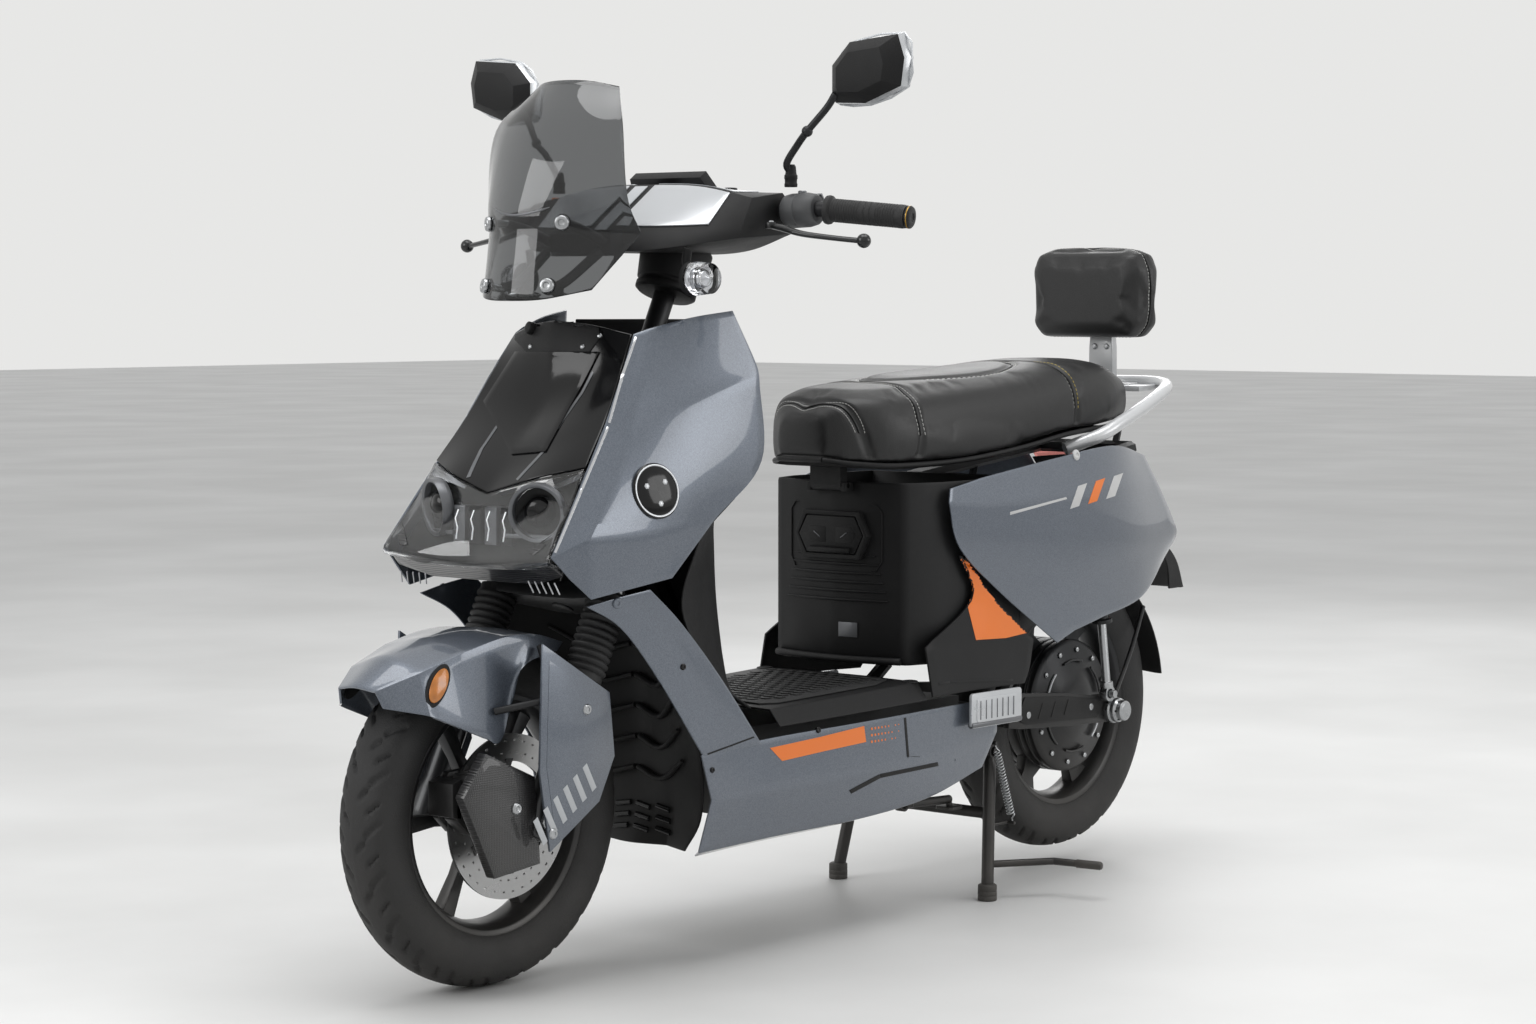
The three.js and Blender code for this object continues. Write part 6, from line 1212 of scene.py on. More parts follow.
for dy, dz in ((-0.017, -0.011), (0.017, -0.011), (0.017, 0.011), (-0.017, 0.011)):
    plate.append(Vector((front_x(0.03 + dy, 0.0004), 0.03 + dy, 0.425 + dz)))
details += in_finish(1, slab(plate, (0.0008, 0, 0)))
# Hinge lugs and pin of the seat, at the top of the front
hinge = Vector((-0.03415, 0, 0.643))
lug = [
    (hinge.x + 0.007, 0.634), (hinge.x + 0.007, 0.647), (hinge.x - 0.012, 0.647), (BOX_FRONT + 0.010, 0.634),
]
for side in (1, -1):
    details += in_finish(0, slab([(x, 0.030 * side, z) for x, z in lug], (0, 0.008 * side, 0)))
details += in_finish(2, lathed([(0.004, 0), (0.004, 0.076)], hinge + Vector((0, -0.038, 0)), (0, 1, 0), 20))
piece(
    "seat_box_moulding", details, matt_black, "frame", "seat_box", bevel=0.0015, angle=40,
    finishes=(bezel_grey, steel),
)

# Charge flap
# A hexagonal lid over the charging socket. It tips down on a pin along its lower edge.
# Two clips hold it shut.
FLAP_Z = 0.5675
flap_x = BOX_FRONT + BULGE + 0.0004


def hexagon(half, tall):
    """The outline of the flap across and up, with a point at each side."""
    flat = half - 0.0155
    signs = ((half, 0), (flat, tall), (-flat, tall), (-half, 0), (-flat, -tall), (flat, -tall))
    return [(y, FLAP_Z + rise) for y, rise in signs]


rim_out, rim_in = hexagon(0.070, 0.036), hexagon(0.0632, 0.0292)
rim_points = [Vector((x, y, z)) for x in (flap_x + 0.004, BOX_FRONT) for y, z in rim_out + rim_in]
rim_faces = []
for k in range(6):
    there = (k + 1) % 6
    rim_faces += [
        [k, there, 6 + there, 6 + k], [12 + k, 18 + k, 18 + there, 12 + there],
        [k, 12 + k, 12 + there, there], [6 + k, 6 + there, 18 + there, 18 + k],
    ]
floor_of_socket = slab([(flap_x - 0.001, y, z) for y, z in rim_in], (-0.002, 0, 0))
piece(
    "charge_flap_surround", [(rim_points, rim_faces), floor_of_socket], matt_black, "frame", (),
    bevel=0.0012, angle=30,
)
lid_back = flap_x + 0.0003
lid = slab([(lid_back, y, z) for y, z in hexagon(0.0615, 0.0275)], (0.0036, 0, 0))
PAD = [(0.010, 0.012), (0.040, 0.012), (0.049, 0), (0.040, -0.012), (0.010, -0.012)]
pads = [slab([(lid_back + 0.0034, y * s, FLAP_Z + rise) for y, rise in PAD], (0.0007, 0, 0)) for s in (1, -1)]
slots = [
    swept(
        [(lid_back + 0.0042, y * s, FLAP_Z + dz) for y, dz in ((0.020, -0.004), (0.032, 0.004))], 0.0011, 8,
        1,
    )
    for s in (1, -1)
]
knuckle = lathed([(0.0046, 0), (0.0046, 0.078)], (flap_x + 0.0050, -0.039, FLAP_Z - 0.0231), (0, 1, 0), 20)
piece(
    "charge_flap_lid", in_finish(0, lid, *pads, knuckle) + in_finish(1, *slots), matt_black, "charge_flap",
    "charge_flap", bevel=0.0007, angle=30, finishes=(bezel_grey,),
)

# Tail
# A red-tinted lens between the rear panels, over a black plate holder that carries a small flap.
TAIL_LIGHT = [
    [(3.4, 0.55, 1.336), (3.48, 0.3, 1.345), (3.52, 0, 1.35)],
    [(3.6, 0.54, 1.224), (3.72, 0.29, 1.235), (3.76, 0, 1.24)],
    [(3.8, 0.5, 1.12), (3.93, 0.27, 1.13), (3.97, 0, 1.13)],
    [(3.9, 0.46, 1.06), (4.04, 0.25, 1.06), (4.08, 0, 1.06)],
]
PLATE_HOLDER = [
    [(3.86, 0.32, 1.035), (3.96, 0.3, 1.04), (3.98, 0, 1.04)],
    [(4.02, 0.3, 0.95), (4.16, 0.28, 0.96), (4.18, 0, 0.96)],
    [(4.1, 0.26, 0.86), (4.3, 0.24, 0.86), (4.32, 0, 0.86)],
]
tail_red = glassy("tinted tail lens", (0.80, 0.30, 0.27), 0.04)
tail_rows = [whole(row) for row in rows_of(TAIL_LIGHT)]
tail_inside = at((2.8, 0, 1))
tail = piece(
    "tail_light_lens", [skin(tail_rows, tail_inside, thickness=0.0025)], tail_red, "frame", "tail_light",
    bevel=0.0008,
)
# The low parts of its pattern are darkened in the colour: partly the pattern, partly painted shade.
deep_red = finish(
    "red reflector", (0.42, 0.035, 0.03), 0.25, scale=300, texture=weave_group, relief=0.4, variation=0.2,
    hollow_shade=0.3, coat=0.5,
)
tray_rows = [[p + (tail_inside - p).normalized() * 0.014 for p in row] for row in tail_rows]
tray = skin(tray_rows, tail_inside, thickness=0.002)
tail_tree = tree_of(tail)
tail_bits = [(*tray, 1)]
for z, reach in ((0.640, 0.088), (0.605, 0.080), (0.570, 0.074)):
    strip = []
    for y in (-reach, -reach * 0.55, 0, reach * 0.55, reach):
        p, n = on_face(tail_tree, (-1.4, y, z), (1, 0, 0))
        strip.append(p - n * 0.008)
    tail_bits += in_finish(0, swept(strip, 0.0042, 10, 4))
piece(
    "tail_light_inside", tail_bits, deep_red, "frame", (), bevel=0.0006, finishes=(matt_black,),
)
holder_rows = [whole(row) for row in rows_of(PLATE_HOLDER)]
holder = piece(
    "plate_holder_moulding", [skin(holder_rows, tail_inside, column_creases=(1, 3))], matt_black, "frame",
    "plate_holder", bevel=0.0015, angle=24,
)
holder_tree = tree_of(holder)
plate_at = [on_face(holder_tree, (-1.4, y, z), (1, 0, 0)) for y, z in ((-0.034, 0.452), (0.034, 0.452))]
lamp_at = on_face(holder_tree, (-1.4, 0, 0.492), (1, 0, 0))
bits = [
    (*lathed([(0.0065, -0.001), (0.0065, 0.002), (0.005, 0.0034), (0.0, 0.0036)], p, n, 20), 1)
    for p, n in plate_at
]
bits += in_finish(
    0, lathed([(0.015, -0.001), (0.015, 0.003), (0.012, 0.0045), (0.0, 0.0052)], lamp_at[0], lamp_at[1], 36),
)
piece("plate_holder_reflector", bits, deep_red, "frame", (), bevel=0.0004, finishes=(steel,))

# Wheels
# Tubeless tyres with directional feather grooves, on a dark cast front rim with a drilled disc
# and on the hub motor behind.
BEAD = 0.163
GROOVE_DEPTH = 0.0042
GROOVE_PITCHES = 21


def tyre(axle):
    """A tyre turned from its section, its grooves pressed in and its shoulders ribbed."""
    section = refined(
        [
            Vector((r, y, 0))
            for r, y in (
                (BEAD - 0.001, 0.026), (BEAD, 0.0325), (0.176, 0.0405), (0.1945, 0.0445), (0.212, 0.0425),
                (0.2225, 0.036), (0.2285, 0.0255), (0.2322, 0.0125), (0.2335, 0.0),
            )
        ],
        5,
    )
    half = [(p.x, p.y) for p in section]
    outline = half + [(r, -y) for r, y in reversed(half[:-1])]
    inner = [
        (BEAD + 0.006, -0.026), (0.205, -0.034), (0.222, -0.012), (0.222, 0.012), (0.205, 0.034),
        (BEAD + 0.006, 0.026),
    ]
    count = 420
    points, faces = [], []
    total = len(outline) + len(inner)
    for k in range(count):
        turn = 2 * math.pi * k / count
        for r, y in outline:
            depth = 0.0
            if r > 0.2185:
                reach = abs(y) / 0.042
                side_shift = 0.5 if y > 0 else 0.0
                phase = (turn * GROOVE_PITCHES / (2 * math.pi) + side_shift) % 1.0
                # The main groove sweeps back from near the middle to the shoulder, with a kink half way
                sweep = 0.06 + 0.62 * reach + (0.10 if reach > 0.48 else 0.0)
                for start, stop, shift, width in ((0.10, 0.98, 0.0, 0.075), (0.42, 0.92, 0.42, 0.05)):
                    if start < reach < stop:
                        gap = (phase - sweep - shift) % 1.0
                        gap = min(gap, 1.0 - gap)
                        taper = min((reach - start) / 0.12, (stop - reach) / 0.10, 1.0)
                        depth = max(depth, taper * max(0.0, 1.0 - (gap / width) ** 4))
            if 0.196 < r < 0.199 or 0.1805 < r < 0.182:
                depth = -0.16
            radius = r - GROOVE_DEPTH * depth
            points.append(axle + Vector((radius * math.cos(turn), y, radius * math.sin(turn))))
        for r, y in inner:
            points.append(axle + Vector((r * math.cos(turn), y, r * math.sin(turn))))
    for k in range(count):
        there = (k + 1) % count
        for j in range(total):
            nxt = (j + 1) % total
            faces.append([k * total + j, there * total + j, there * total + nxt, k * total + nxt])
    return points, faces


def rim_ring(axle, sides=96):
    profile = [
        (BEAD - 0.0005, -0.033), (BEAD + 0.002, -0.031), (BEAD - 0.002, -0.028), (BEAD - 0.004, -0.022),
        (BEAD - 0.012, -0.014), (BEAD - 0.012, 0.014), (BEAD - 0.004, 0.022), (BEAD - 0.002, 0.028),
        (BEAD + 0.002, 0.031), (BEAD - 0.0005, 0.033), (BEAD - 0.008, 0.030), (BEAD - 0.014, 0.020),
        (BEAD - 0.018, 0.010), (BEAD - 0.018, -0.010), (BEAD - 0.014, -0.020), (BEAD - 0.008, -0.030),
    ]
    return ring_turned(profile, axle, (0, 1, 0), sides)


def wheel_place(axle, turn, radius, y):
    return axle + Vector((radius * math.cos(turn), y, radius * math.sin(turn)))


def wheel_spoke(axle, turn, inner, outer, width, y0, y1):
    """A cast spoke: broad at the hub, waisted, and broad again where it runs into the rim."""
    rows = []
    for radius, half, lift in (
        (inner, width, 0.0), ((inner + outer) / 2, width * 0.62, -0.003), (outer, width * 0.95, 0.002),
    ):
        ring = []
        for side, y in ((-1, y0), (1, y0), (1, y1 + lift), (-1, y1 + lift)):
            swing = side * math.asin(min(half / radius, 0.9))
            ring.append(wheel_place(axle, turn + swing, radius, y))
        rows.append(ring)
    return [p for ring in rows for p in ring], end_faces(3, 4) + ring_faces(3, 4)


tyre_black = finish("tyre rubber", (0.010, 0.010, 0.0105), 0.66, scale=500, relief=0.35, variation=0.35,
                    worn=(0.03, 0.03, 0.03), wear=0.3, dust=0.1)
wheel_dark = finish("dark cast alloy", (0.02, 0.021, 0.023), 0.36, metallic=0.6, scale=600, relief=0.08,
                    variation=0.2, worn=(0.2, 0.2, 0.2), wear=0.3, dust=0.25)
disc_steel = finish(
    "ground disc steel", (0.40, 0.40, 0.40), 0.3, metallic=1.0, texture=brush_group, scale=500, relief=0.05,
    variation=0.3, worn=(0.6, 0.6, 0.6), wear=0.2,
)
brass = finish("yellow cap", (0.62, 0.42, 0.05), 0.35, metallic=0.4, scale=800, relief=0.05)
piece(
    "front_tyre_rubber", [tyre(FRONT_AXLE)], tyre_black, "front_wheel", "front_tyre", angle=50,
)
piece("rear_tyre_rubber", [tyre(REAR_AXLE)], tyre_black, "rear_wheel", "rear_tyre", angle=50)
rim_parts = [(*rim_ring(FRONT_AXLE), 0)]
hub_profile = [
    (0.0085, -0.048), (0.024, -0.048), (0.026, -0.044), (0.038, -0.034), (0.040, -0.028), (0.040, 0.028),
    (0.038, 0.034), (0.030, 0.044), (0.0285, 0.048), (0.0085, 0.048),
]
rim_parts += in_finish(0, ring_turned(hub_profile, FRONT_AXLE, (0, 1, 0), 48))
for k in range(6):
    turn = 2 * math.pi * k / 6
    rim_parts += in_finish(0, wheel_spoke(FRONT_AXLE, turn, 0.037, BEAD - 0.013, 0.0125, -0.010, 0.010))
valve = wheel_place(FRONT_AXLE, math.radians(195), BEAD - 0.016, 0.006)
inward = (FRONT_AXLE - valve).normalized()
rim_parts += in_finish(2, lathed([(0.004, 0), (0.004, 0.020), (0.0032, 0.022)], valve, inward, 14))
rim_parts += in_finish(1, lathed([(0.0048, 0.018), (0.0048, 0.028), (0.003, 0.030)], valve, inward, 14))
piece(
    "front_rim_cast", rim_parts, wheel_dark, "front_wheel", "front_rim", bevel=0.0012,
    angle=34, finishes=(brass, matt_black),
)

DISC_THICKNESS = 0.004
disc_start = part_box("brake_disc")[0].y
disc_y = disc_start, disc_start + DISC_THICKNESS


def drilled_disc(axle, y0, y1, inner, outer):
    """A disc with two rows of small holes, made from one sheet of fine fields."""
    work = bmesh.new()
    count = 144
    radii = [inner + (outer - inner) * k / 14 for k in range(15)]
    grid = [
        [work.verts.new(wheel_place(axle, 2 * math.pi * k / count, r, y1)) for k in range(count)]
        for r in radii
    ]
    for i in range(14):
        for k in range(count):
            there = (k + 1) % count
            work.faces.new((grid[i][k], grid[i][there], grid[i + 1][there], grid[i + 1][k]))
    fields = list(work.faces)
    holes = [
        fields[i * count + k]
        for k in range(count)
        for i, shift in ((4, 0), (10, 2))
        if (k + shift) % 4 == 0
    ]
    bmesh.ops.delete(work, geom=holes, context="FACES_ONLY")
    work.verts.index_update()
    points = [v.co.copy() for v in work.verts]
    loops = [[v.index for v in f.verts] for f in work.faces]
    edges = [[v.index for v in e.verts] for e in work.edges if e.is_boundary]
    work.free()
    total = len(points)
    faces = loops + [[k + total for k in reversed(loop)] for loop in loops]
    for a, b in edges:
        faces.append([a, b, b + total, a + total])
    return points + [p - Vector((0, y1 - y0, 0)) for p in points], faces


disc_parts = [(*drilled_disc(FRONT_AXLE, disc_y[0], disc_y[1], 0.074, 0.111), 0)]
carrier_y = disc_y[0] + 0.0005, disc_y[1] - 0.0005
carrier_ring = [(0.030, carrier_y[0]), (0.046, carrier_y[0]), (0.046, carrier_y[1]), (0.030, carrier_y[1])]
carrier = [(*ring_turned(carrier_ring, FRONT_AXLE, (0, 1, 0), 64), 1)]
for k in range(6):
    turn = 2 * math.pi * (k + 0.5) / 6
    carrier += in_finish(1, wheel_spoke(FRONT_AXLE, turn, 0.044, 0.078, 0.0075, *carrier_y))
    bolt_at = wheel_place(FRONT_AXLE, turn, 0.036, disc_y[1] - 0.001)
    carrier += in_finish(
        2, lathed([(0.0055, 0), (0.0055, 0.003), (0.004, 0.0042), (0, 0.0042)], bolt_at, (0, 1, 0), 12),
    )
piece(
    "brake_disc_drilled", disc_parts + carrier, disc_steel, "front_wheel", "brake_disc",
    angle=40, finishes=(wheel_dark, steel),
)

# Rear hub motor
# A finned drum with the motor inside, its covers bolted on, cast in one with six short spokes and the rim.
motor_parts = [(*rim_ring(REAR_AXLE), 0)]
drum_profile = [
    (0.009, -0.054), (0.050, -0.054), (0.056, -0.050), (0.100, -0.046), (0.108, -0.040), (0.108, -0.030),
    (0.104, -0.028), (0.108, -0.026), (0.108, -0.014), (0.104, -0.012), (0.108, -0.010), (0.108, 0.010),
    (0.104, 0.012), (0.108, 0.014), (0.108, 0.026), (0.104, 0.028), (0.108, 0.030), (0.108, 0.040),
    (0.100, 0.046), (0.056, 0.050), (0.050, 0.054), (0.009, 0.054),
]
motor_parts += in_finish(0, ring_turned(drum_profile, REAR_AXLE, (0, 1, 0), 96))
for k in range(12):
    turn = 2 * math.pi * (k + 0.25) / 12
    for y, way in ((0.0475, 1), (-0.0475, -1)):
        motor_parts += in_finish(
            1,
            lathed(
                [(0.0045, -0.002), (0.0045, 0.002), (0.003, 0.0028), (0, 0.0028)],
                wheel_place(REAR_AXLE, turn, 0.092, y), (0, way, 0), 12,
            ),
        )
for k in range(6):
    turn = 2 * math.pi * k / 6
    motor_parts += in_finish(0, wheel_spoke(REAR_AXLE, turn, 0.104, BEAD - 0.013, 0.024, -0.010, 0.010))
    for y in (0.051, -0.051):
        arc = [wheel_place(REAR_AXLE, turn + math.radians(a), 0.075, y) for a in (8, 18, 28, 38, 48)]
        motor_parts += in_finish(2 if k % 3 == 0 else 0, swept(arc, 0.0022, 8, 3))
piece(
    "rear_hub_motor_cast", motor_parts, wheel_dark, "rear_wheel", "rear_hub_motor",
    bevel=0.001, angle=34, finishes=(steel, silver),
)

# Fork
# Two painted alloy legs on the front axle, with ribbed rubber gaiters above them
# that cover the stanchions.
CASTER = math.radians(26)


def on_fork(u, y, w):
    """A place given ahead of the fork legs, across, and up along them from the front axle."""
    return FRONT_AXLE + Vector(
        (u * math.cos(CASTER) - w * math.sin(CASTER), y, u * math.sin(CASTER) + w * math.cos(CASTER))
    )


LEG_SIDE = 0.104
up_fork = on_fork(0, 0, 1) - on_fork(0, 0, 0)
fork_alloy = finish(
    "painted fork legs", (0.035, 0.037, 0.04), 0.34, metallic=0.7, scale=700, relief=0.06, variation=0.25,
    worn=(0.25, 0.25, 0.25), wear=0.35, dust=0.2, coat=0.2,
)
leg_parts = []
for side in (1, -1):
    foot = on_fork(0, LEG_SIDE * side, -0.026)
    profile = [
        (0.012, 0), (0.019, 0.002), (0.021, 0.006), (0.022, 0.014), (0.022, 0.045), (0.0195, 0.060),
        (0.0195, 0.205), (0.022, 0.215), (0.022, 0.243), (0.0155, 0.245),
    ]
    leg_parts += in_finish(0, lathed(profile, foot, up_fork, 36))
    nut = FRONT_AXLE + Vector((0, 0.118 * side, 0))
    leg_parts += in_finish(
        1,
        lathed(
            [(0.013, 0), (0.013, 0.010), (0.011, 0.0125), (0.0055, 0.013), (0.0055, 0.016), (0, 0.0165)], nut,
            (0, side, 0), 6,
        ),
    )
    stop = FRONT_AXLE + Vector((0, 0.050 * side, 0))
    leg_parts += in_finish(1, lathed([(0.012, 0), (0.012, 0.034)], stop, (0, side, 0), 28))
leg_parts += in_finish(
    1, lathed([(0.0078, 0), (0.0078, 0.236)], FRONT_AXLE - Vector((0, 0.118, 0)), (0, 1, 0), 24),
)
piece(
    "fork_legs_cast", leg_parts, fork_alloy, "fork_lower", "fork_legs", bevel=0.001, angle=34,
    finishes=(steel,),
)
for side, name in SIDES:
    foot = on_fork(0, LEG_SIDE * side, 0.198)
    profile = [(0.0215, 0), (0.0262, 0.001), (0.0262, 0.008)]
    for k in range(10):
        low = 0.011 + 0.0101 * k
        profile += [(0.0246, low), (0.0285, low + 0.0034), (0.0288, low + 0.0052), (0.0285, low + 0.0068)]
    profile += [(0.0262, 0.1125), (0.0262, 0.1215), (0.0180, 0.1225)]
    piece(
        "fork_boot_" + name + "_ribbed", [lathed(profile, foot, up_fork, 56)], rubber, "steering",
        "fork_boot_" + name, angle=40,
    )

# Steering stem and yoke
# A tube that runs up through the steering head, and the cast yoke below it that clamps the two stanchions.
yoke_low = on_fork(-0.026, 0, 0.306)
STEM_HEIGHT = 0.975
stem_top = Vector((0.7832 - 0.48773 * STEM_HEIGHT, 0, STEM_HEIGHT))
YOKE = [
    (0.018, 0.115), (0.024, 0.100), (0.012, 0.050), (0.010, 0), (0.012, -0.050), (0.024, -0.100),
    (0.018, -0.115), (-0.018, -0.115), (-0.030, -0.085), (-0.050, -0.030), (-0.052, 0), (-0.050, 0.030),
    (-0.030, 0.085), (-0.018, 0.115),
]
yoke_points = [on_fork(u, y, 0.3085) for u, y in YOKE]
stem_parts = [(*slab(yoke_points, up_fork * 0.025), 0)]
for side in (1, -1):
    stem_parts += in_finish(
        1,
        lathed(
            [(0.014, 0), (0.014, 0.128), (0.0185, 0.130), (0.0185, 0.141), (0.012, 0.143)],
            on_fork(0, LEG_SIDE * side, 0.195), up_fork, 32,
        ),
    )
stem_parts += in_finish(
    0, lathed([(0.0155, 0), (0.0155, (stem_top - yoke_low).length)], yoke_low, stem_top - yoke_low, 36),
)
carrier_black = finish("satin black steel", (0.018, 0.0185, 0.02), 0.42, metallic=0.5, scale=600, relief=0.08,
                       variation=0.25, worn=(0.12, 0.12, 0.12), wear=0.3, dust=0.25)
piece(
    "steering_stem_and_yoke", stem_parts, carrier_black, "steering", "steering_stem",
    bevel=0.0012, angle=34, finishes=(steel,),
)

# Front fender
# A slate mudguard in folded facets over the wheel, its own grey guard plates bolted to the fork below.
FENDER = [
    [(37, 1.16, 0.2), (39.5, 1.25, 0.17), (39.5, 1.28, 0)],
    [(41, 1.0, 0.44), (50, 1.16, 0.32), (52, 1.225, 0)],
    [(55, 0.6, 0.45), (66, 1.08, 0.38), (68, 1.125, 0)],
    [(66, 0.52, 0.45), (82, 1.055, 0.39), (84, 1.075, 0)],
    [(86, 0.85, 0.44), (96, 1.05, 0.385), (98, 1.066, 0)],
    [(108, 0.98, 0.375), (111, 1.045, 0.35), (112, 1.066, 0)],
]


def round_axle(degrees, radius, side):
    turn = math.radians(degrees)
    return wheel_place(FRONT_AXLE, turn, TYRE_RADIUS * radius, HALF_BODY * side)


def beside_wheel(x, y, z):
    """A place by the front wheel: ahead and up in tyre radii, across in metres."""
    return FRONT_AXLE + Vector((TYRE_RADIUS * x, y, TYRE_RADIUS * z))


fender_rows = [whole([round_axle(*share) for share in row]) for row in FENDER]
fender = piece(
    "front_fender_painted",
    [skin(fender_rows, FRONT_AXLE, row_creases=(1, 2), column_creases=(1, 3), thickness=0.0028)], slate,
    "fork_lower", (), bevel=0.0012, angle=26,
)
GUARD = [(0.09, 1.02), (-0.45, 0.7), (-0.49, 0.33), (-0.36, 0.08), (0.04, -0.16), (0.12, 0.3)]
pale = finish("pale stripe film", (0.52, 0.54, 0.56), 0.4, scale=400, relief=0.05, variation=0.2, coat=0.3)
GUARD_SIDE = 0.1346
guard_parts = []
for side in (1, -1):
    outline = [beside_wheel(x, GUARD_SIDE * side, z) for x, z in GUARD]
    guard_parts += in_finish(0, slab(outline, (0, 0.0038 * side, 0)))
    inner = [
        FRONT_AXLE + Vector((TYRE_RADIUS * x * 0.86 - 0.008, 0.1383 * side, TYRE_RADIUS * z * 0.84 + 0.016))
        for x, z in GUARD
    ]
    guard_parts += in_finish(0, slab(inner, (0, 0.0006 * side, 0)))
    for x, z in ((-0.26, 0.62), (0.02, -0.06)):
        place = beside_wheel(x, 0.138 * side, z)
        guard_parts += in_finish(
            1,
            lathed(
                [
                    (0.0075, 0), (0.0075, 0.0014), (0.006, 0.0034), (0.003, 0.0036), (0.0028, 0.0022),
                    (0, 0.0022),
                ],
                place, (0, side, 0), 24,
            ),
        )
    # The plate stands on two arms from the leg, below the gaiter even when the fork is pressed in.
    for x, z in ((-0.235, 0.48), (0.02, -0.06)):
        arm = beside_wheel(x, 0.119 * side, z)
        guard_parts += in_finish(2, lathed([(0.0065, 0), (0.0065, 0.017)], arm, (0, side, 0), 20))
    for k in range(6):
        x0, z0 = -0.335 + 0.080 * k, 0.165 - 0.052 * k
        bar = [(x0, z0), (x0 + 0.035, z0 - 0.022), (x0 + 0.115, z0 + 0.125), (x0 + 0.08, z0 + 0.147)]
        strip = [beside_wheel(x, 0.13895 * side, z) for x, z in bar]
        guard_parts += in_finish(3, slab(strip, (0, 0.0002 * side, 0)))
    for start, stop in (((0.27, 0.64), (0.05, 0.7)), ((-0.1, 0.98), (-0.02, 0.72))):
        a = beside_wheel(start[0], 0.089 * side, start[1])
        b = beside_wheel(stop[0], 0.134 * side, stop[1])
        guard_parts += in_finish(2, lathed([(0.005, 0), (0.005, (b - a).length)], a, b - a, 16))
piece(
    "fender_guard_plates", guard_parts, slate, "fork_lower", "front_fender", bevel=0.0006,
    angle=30, finishes=(steel, carrier_black, pale),
)
fender_tree = tree_of(fender)
# The low parts of its pattern are darkened in the colour: partly the pattern, partly painted shade.
amber = finish(
    "amber reflector", (0.62, 0.20, 0.015), 0.22, scale=260, texture=weave_group, relief=0.5, variation=0.25,
    hollow_shade=0.3, coat=0.6,
)
for side, name in SIDES:
    p, n = on_face(fender_tree, FRONT_AXLE + Vector((0.152, 0.2 * side, 0.190)), (0, -side, 0))
    long_way = Vector((0.6, 0, -0.8))
    long_way = (long_way - n * long_way.dot(n)).normalized()
    short_way = n.cross(long_way)
    rims, lens = [], []
    for k in range(24):
        turn = 2 * math.pi * k / 24
        way = long_way * math.cos(turn) * 0.026 + short_way * math.sin(turn) * 0.0115
        rims.append(p + way * 1.28 - n * 0.003)
        lens.append(p + way + n * 0.0035)
    piece(
        "fender_reflector_" + name, [(*slab(rims, n * 0.0062), 0), (*slab(lens, n * 0.002), 1)], matt_black,
        "fork_lower", (), bevel=0.0008, finishes=(amber,),
    )

# Brake caliper
# A two-piston caliper ahead of the left fork leg, bolted on under a five-sided cover of woven carbon
# with one silver screw.
def on_wheel(x, y, z):
    """A place ahead of, beside and above the front axle, in metres."""
    return FRONT_AXLE + Vector((x, y, z))


cal_parts = []
body_line = [
    (0.028, 0.030), (0.060, 0.072), (0.104, 0.070), (0.123, 0.040), (0.123, 0.012), (0.100, -0.010),
    (0.050, -0.012),
]
for low, high in ((0.0555, 0.080), (0.0335, 0.0455)):
    cal_parts += in_finish(0, slab([on_wheel(x, low, z) for x, z in body_line], (0, high - low, 0)))
bridge = [(0.108, 0.012), (0.124, 0.016), (0.124, 0.060), (0.106, 0.066)]
cal_parts += in_finish(0, slab([on_wheel(x + 0.0065, 0.034, z) for x, z in bridge], (0, 0.046, 0)))
for x, z in ((0.064, 0.050), (0.098, 0.046)):
    cal_parts += in_finish(
        1,
        lathed(
            [(0.0135, 0), (0.0135, 0.006), (0.011, 0.008), (0.004, 0.0085), (0, 0.0085)],
            on_wheel(x, 0.079, z), (0, 1, 0), 28,
        ),
    )
COVER = [(0.44, 0.43), (0.06, 0.26), (0.02, -0.24), (0.38, -0.28), (0.62, 0.2)]
cover_line = [beside_wheel(x, 0.0988, z) for x, z in COVER]
cover_middle = sum(cover_line, Vector()) / 5
step_line = [cover_middle.lerp(p, 0.86) + Vector((0, 0.0205, 0)) for p in cover_line]
cover_points = cover_line + [p + Vector((0, 0.0165, 0)) for p in cover_line] + step_line
cover_faces = [[4, 3, 2, 1, 0], [10, 11, 12, 13, 14]]
for k in range(5):
    there = (k + 1) % 5
    cover_faces += [[k, there, 5 + there, 5 + k], [5 + k, 5 + there, 10 + there, 10 + k]]
cal_parts.append((cover_points, cover_faces, 2))
screw = cover_middle + Vector((-0.018, 0.0205, 0.006))
cal_parts += in_finish(
    1,
    lathed(
        [
            (0.0085, -0.001), (0.0085, 0.0015), (0.0065, 0.0042), (0.0034, 0.0044), (0.003, 0.0022),
            (0, 0.0022),
        ],
        screw, (0, 1, 0), 28,
    ),
)
for x, z in ((0.050, 0.030), (0.090, 0.010)):
    cal_parts += in_finish(0, lathed([(0.008, 0), (0.008, 0.022)], on_wheel(x, 0.079, z), (0, 1, 0), 20))
piece(
    "brake_caliper_and_cover", cal_parts, carrier_black, "fork_lower", "brake_caliper",
    bevel=0.0012, angle=30, finishes=(steel, carbon),
)

# Handlebar
# A bent steel tube with rubber grips, the throttle turning on its right end.
# Pods, levers and mirrors clamp to it.
HEAD_FOOT = 0.78325
HEAD_SLOPE = 0.48773


def level(up):
    """A height above the deck from its share."""
    return DECK_LEVEL + 0.5 * (up - 1)


def on_bar(ahead, side, up):
    """A place on the bodywork that turns with the bars."""
    z = level(up)
    return Vector((HEAD_FOOT - HEAD_SLOPE * z + ZONE * ahead, HALF_BODY * side, z))


